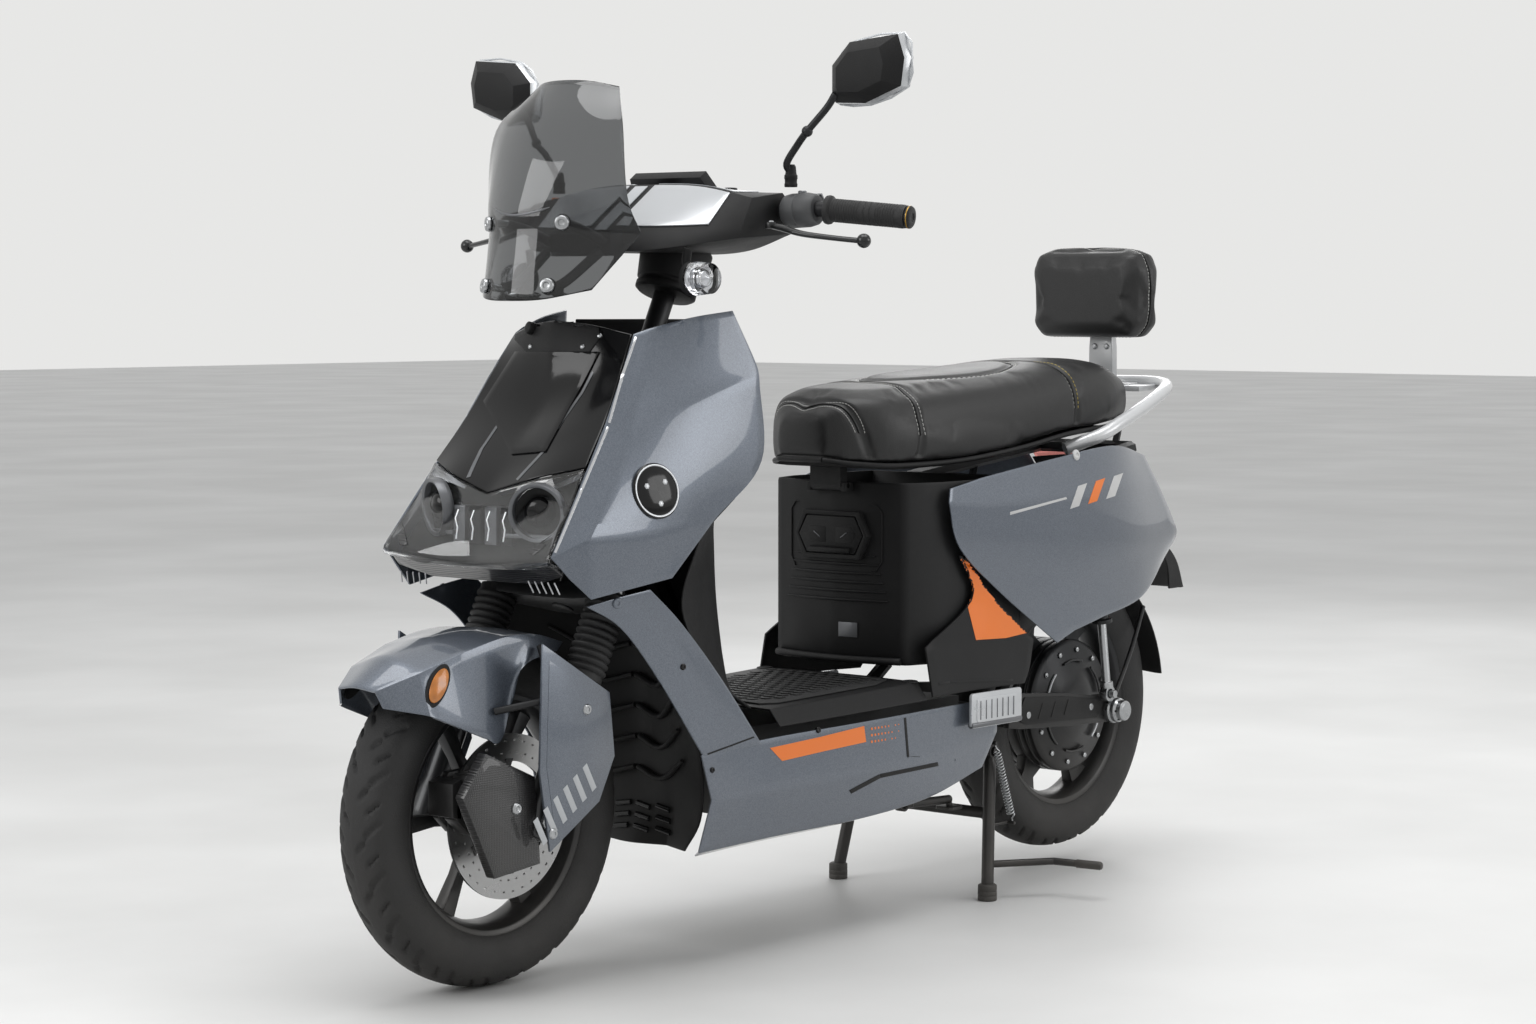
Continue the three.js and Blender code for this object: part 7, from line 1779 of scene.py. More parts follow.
BAR = [(0, 0, 2.008), (0.094, 0.55, 2.036), (0.157, 1.0, 2.084), (0.127, 1.325, 2.09), (-0.04, 1.94, 2.066)]
bar_half = [on_bar(*share) for share in BAR]
bar_line = [Vector((p.x, -p.y, p.z)) for p in reversed(bar_half[1:])] + bar_half
piece(
    "handlebar_tube", [swept(bar_line, 0.011, 24, 8)], carrier_black, "steering", "handlebar",
    angle=50,
)
gold = finish(
    "gilt ring", (0.45, 0.27, 0.05), 0.3, metallic=0.9, texture=brush_group, scale=500, relief=0.04,
    variation=0.2,
)
outer = bar_half[-1]
grip_way = (bar_half[-1] - bar_half[-2]).normalized()


def grip_shape(side, length):
    """A grip turned about the end of the bar, with fine rings in two bands and a flange at its inner end."""
    way = Vector((grip_way.x, grip_way.y * side, grip_way.z))
    end = Vector((outer.x, outer.y * side, outer.z))
    profile = [(0.0112, 0), (0.0195, 0.0005), (0.0202, 0.004), (0.0195, 0.007), (0.0160, 0.010)]
    place = 0.012
    while place < length - 0.012:
        profile += [
            (0.0162, place), (0.0156, place + 0.0008), (0.0156, place + 0.0020), (0.0162, place + 0.0028),
        ]
        place += 0.0038 if not 0.4 * length < place < 0.6 * length else 0.009
    profile += [(0.0163, length - 0.006), (0.0155, length - 0.001), (0.0112, length)]
    return lathed(profile, end - way * length, way, 40)


for side, name, body, stands in (
    (1, "left", "steering", "grip_left"), (-1, "right", "throttle_grip", "throttle_grip"),
):
    low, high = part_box(stands)
    reach = abs((high.y if side > 0 else low.y)) - abs((low.y if side > 0 else high.y))
    way = Vector((grip_way.x, grip_way.y * side, grip_way.z))
    end = Vector((outer.x, outer.y * side, outer.z))
    piece(
        "grip_" + name + "_ribbed", [grip_shape(side, reach * 0.985)], rubber, body, stands,
        angle=36,
    )
    cap = [
        (0.0152, 0.0), (0.0155, 0.0012), (0.0155, 0.0048), (0.0136, 0.0068), (0.006, 0.0075),
        (0.0058, 0.0062), (0, 0.006),
    ]
    cap_foot = end + way * 0.0005
    cap_shape = (*lathed(cap, cap_foot, way, 36), 0)
    ring = (*lathed([(0.0157, 0.0022), (0.0157, 0.0038)], cap_foot, way, 36), 1)
    piece(
        "bar_end_" + name, [cap_shape, ring], carrier_black, "steering", (), bevel=0.0003,
        angle=36, finishes=(gold,),
    )

# Switch pods
# Clam-shell moulded boxes either side of the column, each with a sliding button and two rockers.
pod_grey = finish(
    "grey pod moulding", (0.075, 0.077, 0.08), 0.5, scale=900, relief=0.12, variation=0.2,
    worn=(0.2, 0.2, 0.2), wear=0.2, dust=0.2,
)
for side, name in SIDES:
    low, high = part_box("switch_pod_" + name)
    inner_y, outer_y = (low.y, high.y) if side > 0 else (high.y, low.y)
    ends = []
    for y in (inner_y, outer_y):
        for i in range(len(bar_half) - 1):
            a, b = bar_half[i], bar_half[i + 1]
            if a.y <= abs(y) <= b.y:
                spot = a.lerp(b, (abs(y) - a.y) / (b.y - a.y))
        ends.append(Vector((spot.x, y, spot.z)))
    way = (ends[1] - ends[0]).normalized()
    length = (ends[1] - ends[0]).length * 0.99
    profile = [
        (0.0115, 0), (0.0195, 0.0), (0.0222, 0.003), (0.0238, 0.012), (0.0238, length * 0.45),
        (0.0230, length * 0.46), (0.0230, length * 0.475), (0.0238, length * 0.485), (0.0238, length - 0.014),
        (0.0215, length - 0.003), (0.0190, length), (0.0115, length),
    ]
    shapes = [(*lathed(profile, ends[0], way, 48), 0)]
    back = Vector((-0.8, 0, 0.6))
    across_way = way.cross(back).normalized()
    for share, wide, tall in ((0.62, 0.008, 0.006), (0.80, 0.005, 0.009)):
        middle = ends[0] + way * length * share + back * 0.0228
        corners = [
            middle + way * wide * a + across_way * tall * b
            for a, b in ((-1, -1), (1, -1), (1, 1), (-1, 1))
        ]
        shapes += in_finish(1, slab(corners, back * 0.0028))
        shapes += in_finish(2, slab([middle.lerp(c, 0.45) + back * 0.0029 for c in corners], back * 0.0004))
    piece(
        "switch_pod_" + name + "_moulding", shapes, carrier_black if side < 0 else pod_grey, "steering",
        "switch_pod_" + name, bevel=0.0009, angle=34, finishes=(bezel_grey, pale),
    )
    button_low, button_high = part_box("switch_button_" + name)
    middle = (button_low + button_high) / 2
    half = (button_high - button_low) / 2
    foot = Vector((middle.x, middle.y, button_low.z))
    radius = min(half.x, half.y)
    top = button_high.z - button_low.z
    button = lathed(
        [
            (radius, 0), (radius, top - 0.0012), (radius - 0.0012, top - 0.0001),
            (radius - 0.0028, top - 0.0007), (0, top - 0.0011),
        ],
        foot, (0, 0, 1), 28,
    )
    piece(
        "switch_button_" + name + "_cap", [button], orange if side < 0 else bezel_grey,
        "switch_button_" + name, "switch_button_" + name, angle=40,
    )

# Levers
# Cast black levers on pivots at the pods, bowed forward and ending in a ball.
lever_black = finish(
    "black cast lever", (0.014, 0.0145, 0.015), 0.3, metallic=0.4, scale=700, relief=0.05, variation=0.25,
    worn=(0.22, 0.22, 0.22), wear=0.3, coat=0.3,
)
for side, name in SIDES:
    line = [
        on_bar(*share)
        for share in (
            (0.322, 1.14, 2.044), (0.335, 1.27, 2.036), (0.33, 1.45, 2.02), (0.275, 1.68, 2.008),
            (0.22, 1.87, 2.0),
        )
    ]
    line = [Vector((p.x, p.y * side, p.z)) for p in line]
    blade = swept(line, [0.0062, 0.0066, 0.0058, 0.0052, 0.0052], 16, 6, flat=0.72)
    ball = line[-1] + Vector((0, 0.004 * side, 0))
    sphere = lathed(
        [(0, -0.0098)] + [
            (0.0098 * math.sin(math.pi * k / 14), -0.0098 * math.cos(math.pi * k / 14))
            for k in range(1, 14)
        ] + [(0, 0.0098)],
        ball, (0, 1, 0), 28,
    )
    eye = lathed(
        [(0.0045, 0), (0.0088, 0), (0.0088, 0.0085), (0.0045, 0.0085)], line[0] - Vector((0, 0, 0.00425)),
        (0, 0, 1), 28,
    )
    screw = lathed(
        [(0.0044, 0), (0.0044, 0.002), (0.0025, 0.0026), (0, 0.0018)], line[0] + Vector((0, 0, 0.0042)),
        (0, 0, 1), 20,
    )
    piece(
        "brake_lever_" + name + "_cast", [(*blade, 0), (*sphere, 0), (*eye, 0), (*screw, 1)], lever_black,
        "brake_lever_" + name, "brake_lever_" + name, bevel=0.0004, angle=44,
        finishes=(steel,),
    )

# Mirrors
# Faceted black housings with a silver rim round the glass, on jointed stems with a rubber boot at the foot.
mirror_glass = finish(
    "mirror glass", (0.62, 0.64, 0.66), 0.03, metallic=1.0, scale=200, relief=0.0, variation=0.02,
)
MIRROR = [
    (1.415, 2.39), (1.415, 2.48), (1.58, 2.545), (2.03, 2.56), (2.09, 2.49), (2.06, 2.41), (1.73, 2.365),
    (1.45, 2.37),
]
for side, name in SIDES:
    face_x = on_bar(0.49, 0, 2.45).x
    mirror_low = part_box("mirror_" + name)[0]
    outline = [Vector((0, HALF_BODY * s * side, level(u))) for s, u in MIRROR]
    middle = sum(outline, Vector()) / len(outline)
    outline = [middle.lerp(p, 0.968) for p in outline]
    rear_x = face_x - 0.0165
    rings = [(rear_x, 1.0), (rear_x + 0.005, 1.0), (rear_x + 0.016, 0.955), (rear_x + 0.0325, 0.62)]
    points = []
    count = len(outline)
    for x, size in rings + [(rear_x, 0.93), (rear_x + 0.003, 0.93)]:
        for p in outline:
            q = middle.lerp(p, size)
            points.append(Vector((x, q.y, q.z)))
    faces = ring_faces(len(rings), count)
    shell_faces, faces = faces[:2 * count], faces[2 * count:]
    faces.append([k + 3 * count for k in range(count)])
    for k in range(count):
        there = (k + 1) % count
        faces.append([k, there, 4 * count + there, 4 * count + k])
        faces.append([4 * count + k, 4 * count + there, 5 * count + there, 5 * count + k])
    faces.append([5 * count + k for k in range(count)])
    glass = slab([middle.lerp(p, 0.925) + Vector((rear_x + 0.0022, 0, 0)) for p in outline], (0.0009, 0, 0))
    rim_line = [middle.lerp(p, 0.992) + Vector((rear_x + 0.0035, 0, 0)) for p in outline]
    rim_band = swept(rim_line + [rim_line[0]], 0.0016, 8, 2)
    stem_line = [
        on_bar(*share)
        for share in (
            (0.27, 1.11, 2.19), (0.33, 1.11, 2.215), (0.375, 1.2, 2.262), (0.42, 1.3, 2.3),
            (0.44, 1.43, 2.362), (0.47, 1.50, 2.40),
        )
    ]
    stem_line = [Vector((p.x, p.y * side, p.z)) for p in stem_line]
    foot = Vector((stem_line[0].x, stem_line[0].y, mirror_low.z))
    boot_profile = [
        (0.0088, 0), (0.0092, 0.004), (0.0085, 0.0055), (0.0085, 0.010), (0.0092, 0.0115), (0.0092, 0.016),
        (0.0078, 0.018), (0.0068, 0.028), (0.0052, 0.031), (0, 0.031),
    ]
    boot = lathed(boot_profile, foot, (0, 0, 1), 28)
    ball = stem_line[3]
    joint = lathed(
        [(0, -0.0078)] + [
            (0.0078 * math.sin(math.pi * k / 10), -0.0078 * math.cos(math.pi * k / 10))
            for k in range(1, 10)
        ] + [(0, 0.0078)],
        ball, (0, 0, 1), 24,
    )
    shapes = [
        (points, shell_faces, 2), (points, faces, 0), (*glass, 1), (*rim_band, 2),
        (*swept(stem_line, 0.005, 18, 6), 3), (*boot, 0), (*joint, 3),
    ]
    piece(
        "mirror_" + name + "_assembly", shapes, matt_black, "mirror_" + name, "mirror_" + name,
        bevel=0.0009, angle=28, finishes=(mirror_glass, silver, carrier_black),
    )

# Handlebar cover
# A moulded black box over the middle of the bars, with a pale upper plate on each side
# and the instrument facing the rider.
COVER_SECTIONS = [
    (0, [(0.7, 1.98), (0.712, 2.03), (0.471, 2.164), (0.159, 2.152), (-0.131, 2.08), (-0.218, 1.97)]),
    (0.5, [(0.739, 1.976), (0.684, 2.026), (0.44, 2.158), (0.171, 2.144), (-0.071, 2.08), (-0.153, 1.98)]),
    (1.02, [(0.437, 2.01), (0.45, 2.04), (0.444, 2.12), (0.203, 2.136), (0.051, 2.09), (0.014, 2.024)]),
]
sections = [(-out, ring) for out, ring in reversed(COVER_SECTIONS[1:])] + COVER_SECTIONS
columns = []
for k in range(6):
    columns.append(refined([on_bar(ring[k][0], out, ring[k][1]) for out, ring in sections], 8))
total = len(columns[0])
points = [columns[k][i] for i in range(total) for k in range(6)]
faces = ring_faces(total, 6) + [list(range(6)), [(total - 1) * 6 + k for k in reversed(range(6))]]
cover_shell = (points, faces)


def on_cover(share, ring):
    """A place on the cover: share runs from right to left, ring counts its lengthwise edges."""
    place = share * (total - 1)
    i = min(int(place), total - 2)
    k = min(int(ring), 4)
    low = columns[k][i].lerp(columns[k][i + 1], place - i)
    high = columns[k + 1][i].lerp(columns[k + 1][i + 1], place - i)
    return low.lerp(high, ring - k)


def cover_plate(first, last, low, high, lift, thickness):
    """A plate laid over the cover between two shares across it and two places round it."""
    outer_points, normals = [], []
    rows, wide = 8, 14
    for i in range(rows + 1):
        for j in range(wide + 1):
            ring = low + (high - low) * i / rows
            share = first + (last - first) * j / wide
            here = on_cover(share, ring)
            along = on_cover(min(share + 0.01, 1), ring) - on_cover(max(share - 0.01, 0), ring)
            up = on_cover(share, min(ring + 0.05, 5)) - on_cover(share, max(ring - 0.05, 0))
            normal = up.cross(along).normalized()
            if normal.dot(here - on_bar(0.25, 0, 2.05)) < 0:
                normal = -normal
            outer_points.append(here + normal * lift)
            normals.append(normal)
    count = len(outer_points)
    all_points = [p + n * thickness for p, n in zip(outer_points, normals)] + outer_points
    made = []
    for i in range(rows):
        for j in range(wide):
            a, b = i * (wide + 1) + j, i * (wide + 1) + j + 1
            c, d = b + wide + 1, a + wide + 1
            made += [[a, b, c, d], [count + d, count + c, count + b, count + a]]
    edge = list(range(wide + 1)) + [(i + 1) * (wide + 1) - 1 for i in range(1, rows + 1)]
    edge += [rows * (wide + 1) + j for j in reversed(range(wide))] + [
        i * (wide + 1)
        for i in reversed(range(1, rows))
    ]
    for a, b in zip(edge, edge[1:] + edge[:1]):
        made.append([b, a, count + a, count + b])
    return all_points, made


cover_shapes = [(*cover_shell, 0)]
for first, last in ((0.56, 0.90), (0.44, 0.10)):
    cover_shapes += in_finish(1, cover_plate(first, last, 1.12, 1.96, 0.0002, 0.0018))
    cover_shapes += in_finish(1, cover_plate(first * 0.98 + 0.01, last, 2.06, 2.9, 0.0002, 0.0014))
cover_shapes += in_finish(2, cover_plate(0.47, 0.53, 0.25, 1.95, 0.0002, 0.0014))
column_low, column_high = on_bar(0, 0, 1.856), on_bar(0.02, 0, 1.985)
column_way = (column_high - column_low).normalized()
reach = (column_high - column_low).length
column = [
    (0.017, 0), (0.040, 0.0), (0.044, 0.003), (0.044, 0.010), (0.0425, 0.012), (0.0425, 0.016),
    (0.045, 0.018), (0.052, reach - 0.004), (0.052, reach),
]
cover_shapes += in_finish(0, lathed(column, column_low, column_way, 56))
# The instrument is a black visor box on top. Its display tilts to the rider and has two round marks.
back = Vector((-0.82, 0, 0.57))
wide_way = Vector((0, 1, 0))
tall_way = Vector((0.57, 0, 0.82))
meter = on_bar(0.18, 0, 2.125)
frame_corners = [
    meter + wide_way * 0.078 * a + tall_way * 0.036 * b
    for a, b in ((-0.8, -1), (0.8, -1), (1, -0.2), (0.86, 1), (-0.86, 1), (-1, -0.2))
]
cover_shapes += in_finish(0, slab(frame_corners, back * 0.016))
display = [meter + back * 0.0162 + (p - meter) * 0.84 for p in frame_corners]
cover_shapes += in_finish(3, slab(display, back * 0.0012))
for y, r in ((-0.012, 0.008), (0.022, 0.005)):
    spot = meter + back * 0.0172 + wide_way * y - tall_way * 0.016
    cover_shapes += in_finish(
        2, ring_turned([(r, 0), (r + 0.001, 0), (r + 0.001, 0.0008), (r, 0.0008)], spot, back, 32),
    )
for side in (1, -1):
    spot = on_cover(0.5 + 0.33 * side, 2.45)
    cover_shapes += in_finish(
        0,
        lathed(
            [(0.0095, -0.004), (0.0095, 0.002), (0.0085, 0.0032), (0.005, 0.0030), (0, 0.0024)], spot,
            (0, 0, 1), 32,
        ),
    )
    cover_shapes += in_finish(
        2,
        ring_turned(
            [(0.005, 0.0032), (0.0062, 0.0032), (0.0062, 0.0036), (0.005, 0.0036)], spot, (0, 0, 1), 32,
        ),
    )
display_glass = finish(
    "instrument glass", (0.008, 0.01, 0.012), 0.06, scale=200, relief=0.0, variation=0.15, coat=1.0,
)
piece(
    "handlebar_cover_moulding", cover_shapes, matt_black, "steering", "handlebar_cover",
    bevel=0.0014, angle=26, finishes=(silver, pale, display_glass),
)

# Windshield
# One bent sheet of smoked acrylic on four chromed bolts, carried by a black U-shaped bracket.
SCREEN = [
    [(1.26, 0.4, 2.42), (1.36, 0.22, 2.436), (1.4, 0, 2.44)],
    [(1.3, 0.6, 2.31), (1.42, 0.32, 2.31), (1.47, 0, 2.31)],
    [(1.13, 0.66, 2.12), (1.35, 0.35, 2.12), (1.43, 0, 2.12)],
    [(0.95, 0.69, 2.02), (1.26, 0.36, 2.02), (1.36, 0, 2.02)],
    [(1.05, 0.52, 1.87), (1.19, 0.28, 1.845), (1.24, 0, 1.84)],
]
screen_rows = [whole([on_bar(*share) for share in row]) for row in SCREEN]
smoke = glassy("smoked acrylic", (0.15, 0.155, 0.16), 0.02)
screen = piece(
    "windshield_sheet",
    [skin(screen_rows, on_bar(0, 0, 2.12), row_creases=(3,), inset=0.0, thickness=0.0036)], smoke, "steering",
    "windshield", bevel=0.0009, angle=40,
)
screen_tree = tree_of(screen)
high_middle, low_middle = on_bar(1.35, 0.35, 2.12), on_bar(1.19, 0.28, 1.845)
lean = (high_middle - low_middle).normalized()
screen_out = Vector((lean.z, 0, -lean.x))
bracket_shapes = []
for ahead, side_share, up in ((1.27, 0.34, 2.046), (1.21, 0.29, 1.88)):
    for side in (1, -1):
        bolt = on_bar(ahead, side_share * side, up)
        hit, normal = on_face(screen_tree, bolt + screen_out * 0.2, -screen_out)
        bracket_shapes += in_finish(
            1,
            lathed(
                [
                    (0.0105, 0.0002), (0.0105, 0.003), (0.0092, 0.0065), (0.0045, 0.0072), (0.004, 0.0052),
                    (0, 0.0052),
                ],
                hit, normal, 36,
            ),
        )
        bracket_shapes += in_finish(
            2, lathed([(0.0105, -0.0085), (0.0115, -0.006), (0.0115, -0.0042)], hit, normal, 36),
        )
        bracket_shapes += in_finish(1, lathed([(0.0055, -0.026), (0.0055, 0.0)], hit, normal, 20))
        inner = hit - normal * 0.022
        mid = Vector((inner.x - 0.035, inner.y * 0.92, inner.z + (0.012 if up < 2 else -0.008)))
        root = on_bar(0.86, 0.25 * side, 2.0 if up > 2 else 1.972)
        bracket_shapes += in_finish(0, swept([inner, mid, root], [0.0065, 0.0068, 0.0072], 16, 8))
block_low, block_high = on_bar(0.66, 0, 1.955), on_bar(0.88, 0, 2.035)
half = [(block_low.x + 0.012, 0.062), (block_high.x - 0.004, 0.056), (block_high.x + 0.004, 0.030)]
outline = half + [(x, -y) for x, y in reversed(half)]
bracket_shapes += in_finish(0, slab([(x, y, 0.981) for x, y in outline], (0, 0, 0.036)))
bracket_shapes += in_finish(
    2, block((block_high.x - 0.001, -0.045, 0.986), (block_high.x + 0.009, 0.045, 1.012)),
)
piece(
    "windshield_bracket_and_bolts", bracket_shapes, carrier_black, "steering", "windshield_bracket",
    bevel=0.0012, angle=32, finishes=(steel, matt_black),
)
slot_line = []
for k in range(9):
    y = 0.052 - 0.013 * k
    drop = 0.010 * (1 - (k / 4 - 1) ** 2)
    hit, normal = on_face(screen_tree, Vector((0.9, y, 1.045 - drop)), (-1, 0, 0))
    slot_line.append(hit + normal * 0.0001)
piece(
    "windshield_slot", [swept(slot_line, [0.0004] + [0.0016] * 7 + [0.0004], 8, 4)], bezel_grey, "steering",
    (),
)

# Turn signals
# Ribbed clear lamps with a silver reflector behind the lens, on short rods under the handlebar cover.
for side, name in SIDES:
    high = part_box("turn_signal_" + name)[1]
    inner, outer_end = on_bar(0.52, 0.76 * side, 1.9), on_bar(0.52, 1.0 * side, 1.9)
    way = (outer_end - inner).normalized()
    length = (outer_end - inner).length
    profile = [(0.006, 0), (0.0195, 0.0005), (0.0235, 0.004), (0.0235, 0.011)]
    housing = (*lathed(profile, inner, way, 44), 0)
    lens = [(0.0228, 0.011)]
    for k in range(5):
        place = 0.012 + 0.0062 * k
        lens += [
            (0.0232 - 0.0006 * k, place), (0.0218 - 0.0006 * k, place + 0.0022),
            (0.0232 - 0.0006 * k, place + 0.0044),
        ]
    lens += [(0.0175, length - 0.003), (0.012, length - 0.0006), (0, length - 0.0003)]
    bulb = (*lathed([(0.009, 0.010), (0.011, 0.018), (0.008, 0.030), (0, 0.033)], inner, way, 24), 1)
    dish = (*lathed([(0.020, 0.0112), (0.012, 0.0135), (0.004, 0.0150), (0, 0.0150)], inner, way, 36), 1)
    stalk_line = [
        inner + way * 0.006, inner + Vector((0, -0.003 * side, 0.022)),
        Vector((inner.x, inner.y, high.z - 0.002)),
    ]
    stalk = (*swept(stalk_line, 0.0062, 16, 6), 0)
    piece(
        "turn_signal_" + name + "_housing", [housing, stalk, dish, bulb], matt_black, "steering",
        "turn_signal_" + name, bevel=0.0005, angle=36, finishes=(reflector,),
    )
    piece(
        "turn_signal_" + name + "_lens", [lathed(lens, inner, way, 44)], clear, "steering", (),
        angle=30,
    )

# Seat
# Black leather over foam on a plastic pan: a long cushion with a front nose, a padded oval on top
# and stitched cross seams. It is hinged at the front.
SEAT = [
    (1.5225, 0.22, 1.36, 1.5), (1.5625, 0.42, 1.34, 1.556), (1.6375, 0.6, 1.33, 1.574),
    (1.8125, 0.68, 1.335, 1.598), (2.0, 0.69, 1.364, 1.616), (2.5, 0.68, 1.4, 1.636),
    (3.0, 0.64, 1.42, 1.642), (3.34, 0.5, 1.45, 1.6),
]
SECTION = [(0.96, 0.03), (1.0, 0.3), (0.97, 0.66), (0.82, 0.9), (0.45, 0.985), (0, 1)]


def cushion(name, points, faces, grain):
    """A closed soft shape, remeshed finely so that it can be inflated."""
    mesh = bpy.data.meshes.new(name)
    mesh.from_pydata([tuple(p) for p in points], [], faces)
    work = bmesh.new()
    work.from_mesh(mesh)
    bmesh.ops.recalc_face_normals(work, faces=work.faces)
    work.to_mesh(mesh)
    work.free()
    made = bpy.data.objects.new(name, mesh)
    scene.collection.objects.link(made)
    even = made.modifiers.new("even mesh", "REMESH")
    even.mode = "VOXEL"
    even.voxel_size = grain
    settle(made)
    smooth = made.modifiers.new("soft corners", "SMOOTH")
    smooth.factor = 0.5
    smooth.iterations = 4
    settle(made)
    return made


def inflated(made, held, pressure=4.0, most=0.006):
    """Cloth under air pressure, its held points pinned; no point moves further than most."""
    start = [v.co.copy() for v in made.data.vertices]
    # The leather takes this many frames to settle
    frames = 20
    group = made.vertex_groups.new(name="held")
    group.add([i for i, p in enumerate(start) if held(p)], 1.0, "REPLACE")
    cloth = made.modifiers.new("cloth", "CLOTH")
    cloth.settings.use_pressure = True
    cloth.settings.uniform_pressure_force = pressure
    cloth.settings.vertex_group_mass = "held"
    cloth.settings.effector_weights.gravity = 0
    cloth.settings.quality = 4
    cloth.settings.tension_stiffness = 30
    cloth.settings.compression_stiffness = 30
    cloth.collision_settings.use_self_collision = False
    for step in range(1, frames + 1):
        scene.frame_set(step)
    settle(made)
    scene.frame_set(1)
    for vertex, old in zip(made.data.vertices, start):
        moved = vertex.co - old
        if moved.length > most:
            vertex.co = old + moved.normalized() * most


def pressed(made, amount):
    """Draws the surface in along its normals by what amount gives for each point."""
    mesh = made.data
    mesh.update()
    moves = [(v.co.copy(), v.normal.copy()) for v in mesh.vertices]
    for vertex, (place, normal) in zip(mesh.vertices, moves):
        depth = amount(place, normal)
        if depth:
            vertex.co = place - normal * depth


seat_side = []
for along, half, low, high in SEAT:
    foot, rise = level(low), level(high) - level(low)
    reach = half * HALF_BODY
    seat_side.append(
        [(station(along), reach * w * 0.985, foot + rise * (0.08 + 0.915 * h)) for w, h in SECTION]
    )
columns = [refined([Vector(row[k]) for row in seat_side], 6) for k in range(6)]
rows = len(columns[0])
seat_points = []
for i in range(rows):
    ring = whole(refined([columns[k][i] for k in range(6)], 4))
    seat_points += ring
wide = len(ring)
seat = cushion("seat_leather", seat_points, ring_faces(rows, wide) + end_faces(rows, wide), 0.006)
inflated(seat, lambda p: p.z < 0.684 + 0.04 * max(0.0, -0.1 - p.x), 4.0, 0.005)


def subdivided(made):
    """Gives a cushion the finer mesh that its seams need."""
    finer = made.modifiers.new("finer", "SUBSURF")
    finer.levels = 1
    settle(made)


subdivided(seat)
SEAM_FRONT, SEAM_MIDDLE, SEAM_REAR = 0.020, -0.110, -0.485
OVAL_X, OVAL_LONG, OVAL_WIDE = -0.300, 0.165, 0.078


def seam_at(p):
    """Where the three cross seams lie: they lean back as they come down the sides."""
    lean = 0.30 * (0.815 - p.z)
    return (p.x - (SEAM_FRONT - lean), p.x - (SEAM_MIDDLE + 0.25 * lean), p.x - (SEAM_REAR - 0.6 * lean))


def oval_at(p):
    """How far a place lies outside the padded oval on top."""
    across_share, along_share = p.y / OVAL_WIDE, (p.x - OVAL_X) / OVAL_LONG
    return (math.sqrt(across_share ** 2 + along_share ** 2) - 1) * OVAL_WIDE


def seat_depth(p, normal):
    """How deep the seams draw the leather in, with the oval a little raised."""
    depth = 0.0
    for gap in seam_at(p):
        if abs(gap) < 0.011 and normal.z > -0.4:
            depth = max(depth, 0.0042 * (1 - (gap / 0.011) ** 2) ** 2)
    if normal.z > 0.6:
        gap = oval_at(p)
        if abs(gap) < 0.010:
            depth = max(depth, 0.0036 * (1 - (gap / 0.010) ** 2) ** 2)
        if gap < 0:
            depth -= 0.0025 * min(1.0, -gap / 0.02)
    return depth


pressed(seat, seat_depth)
# The leather's creases are darkened in the colour: painted shade in its grain.
leather = finish(
    "black leather", (0.0125, 0.0125, 0.013), 0.43, texture=leather_group, scale=420, relief=0.16,
    variation=0.3, worn=(0.05, 0.05, 0.05), wear=0.2, dust=0.15, hollow_shade=0.8,
)


def upholstered(made, body, stands_for):
    """Gives a cushion its leather and its place in the frame."""
    made.data.materials.append(leather)
    made.data.shade_smooth()
    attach(made, body)
    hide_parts(stands_for)


upholstered(seat, "seat", "seat_cushion")

# Seams: a dark welt in each channel, white thread on both sides of it, yellow behind the rear one
thread = finish("white thread", (0.5, 0.5, 0.48), 0.7, scale=2000, relief=0.1, variation=0.2)
yellow_thread = finish("yellow thread", (0.5, 0.38, 0.06), 0.7, scale=2000, relief=0.1, variation=0.2)
seat_tree = tree_of(seat)


def seam_points(index, offset, count=64):
    """Places along one cross seam, from the left edge over the top to the right edge."""
    out = []
    for k in range(count + 1):
        turn = math.radians(-98 + 196 * k / count)
        way = Vector((0, math.sin(turn), math.cos(turn)))
        base = (SEAM_FRONT, SEAM_MIDDLE, SEAM_REAR)[index]
        factor = (-0.30, 0.075, -0.18)[index]
        middle_z = 0.735 if index < 2 else 0.765
        z_guess = middle_z + 0.07 * way.z
        x = base + factor * (0.815 - z_guess) + offset
        hit, normal, _, _ = seat_tree.ray_cast(Vector((x, 0, middle_z)) + way * 0.4, -way)
        if hit is not None and abs(hit.y) < 0.2:
            out.append((hit, normal))
    return out


def stitches(places):
    """A short thread between each two places."""
    made = []
    for (a, n), (b, m) in zip(places, places[1:]):
        if (b - a).length > 0.03:
            continue
        middle, way = (a + b) / 2, (b - a) * 0.62 / 2
        normal = (n + m).normalized()
        dip, lift = normal * 0.0004, normal * 0.0002
        points = [
            middle - way - dip, middle - way * 0.6 + lift, middle + way * 0.6 + lift, middle + way - dip,
        ]
        made.append(swept(points, 0.0006, 6, 1))
    return made


def oval_line(wider):
    """Places along the padded oval, or that much outside it."""
    line = []
    for k in range(97):
        turn = 2 * math.pi * k / 96
        x, y = (OVAL_LONG + wider) * math.cos(turn), (OVAL_WIDE + wider) * math.sin(turn)
        hit, normal, _, _ = seat_tree.ray_cast(Vector((OVAL_X + x, y, 1.0)), Vector((0, 0, -1)))
        line.append((hit, normal))
    return line


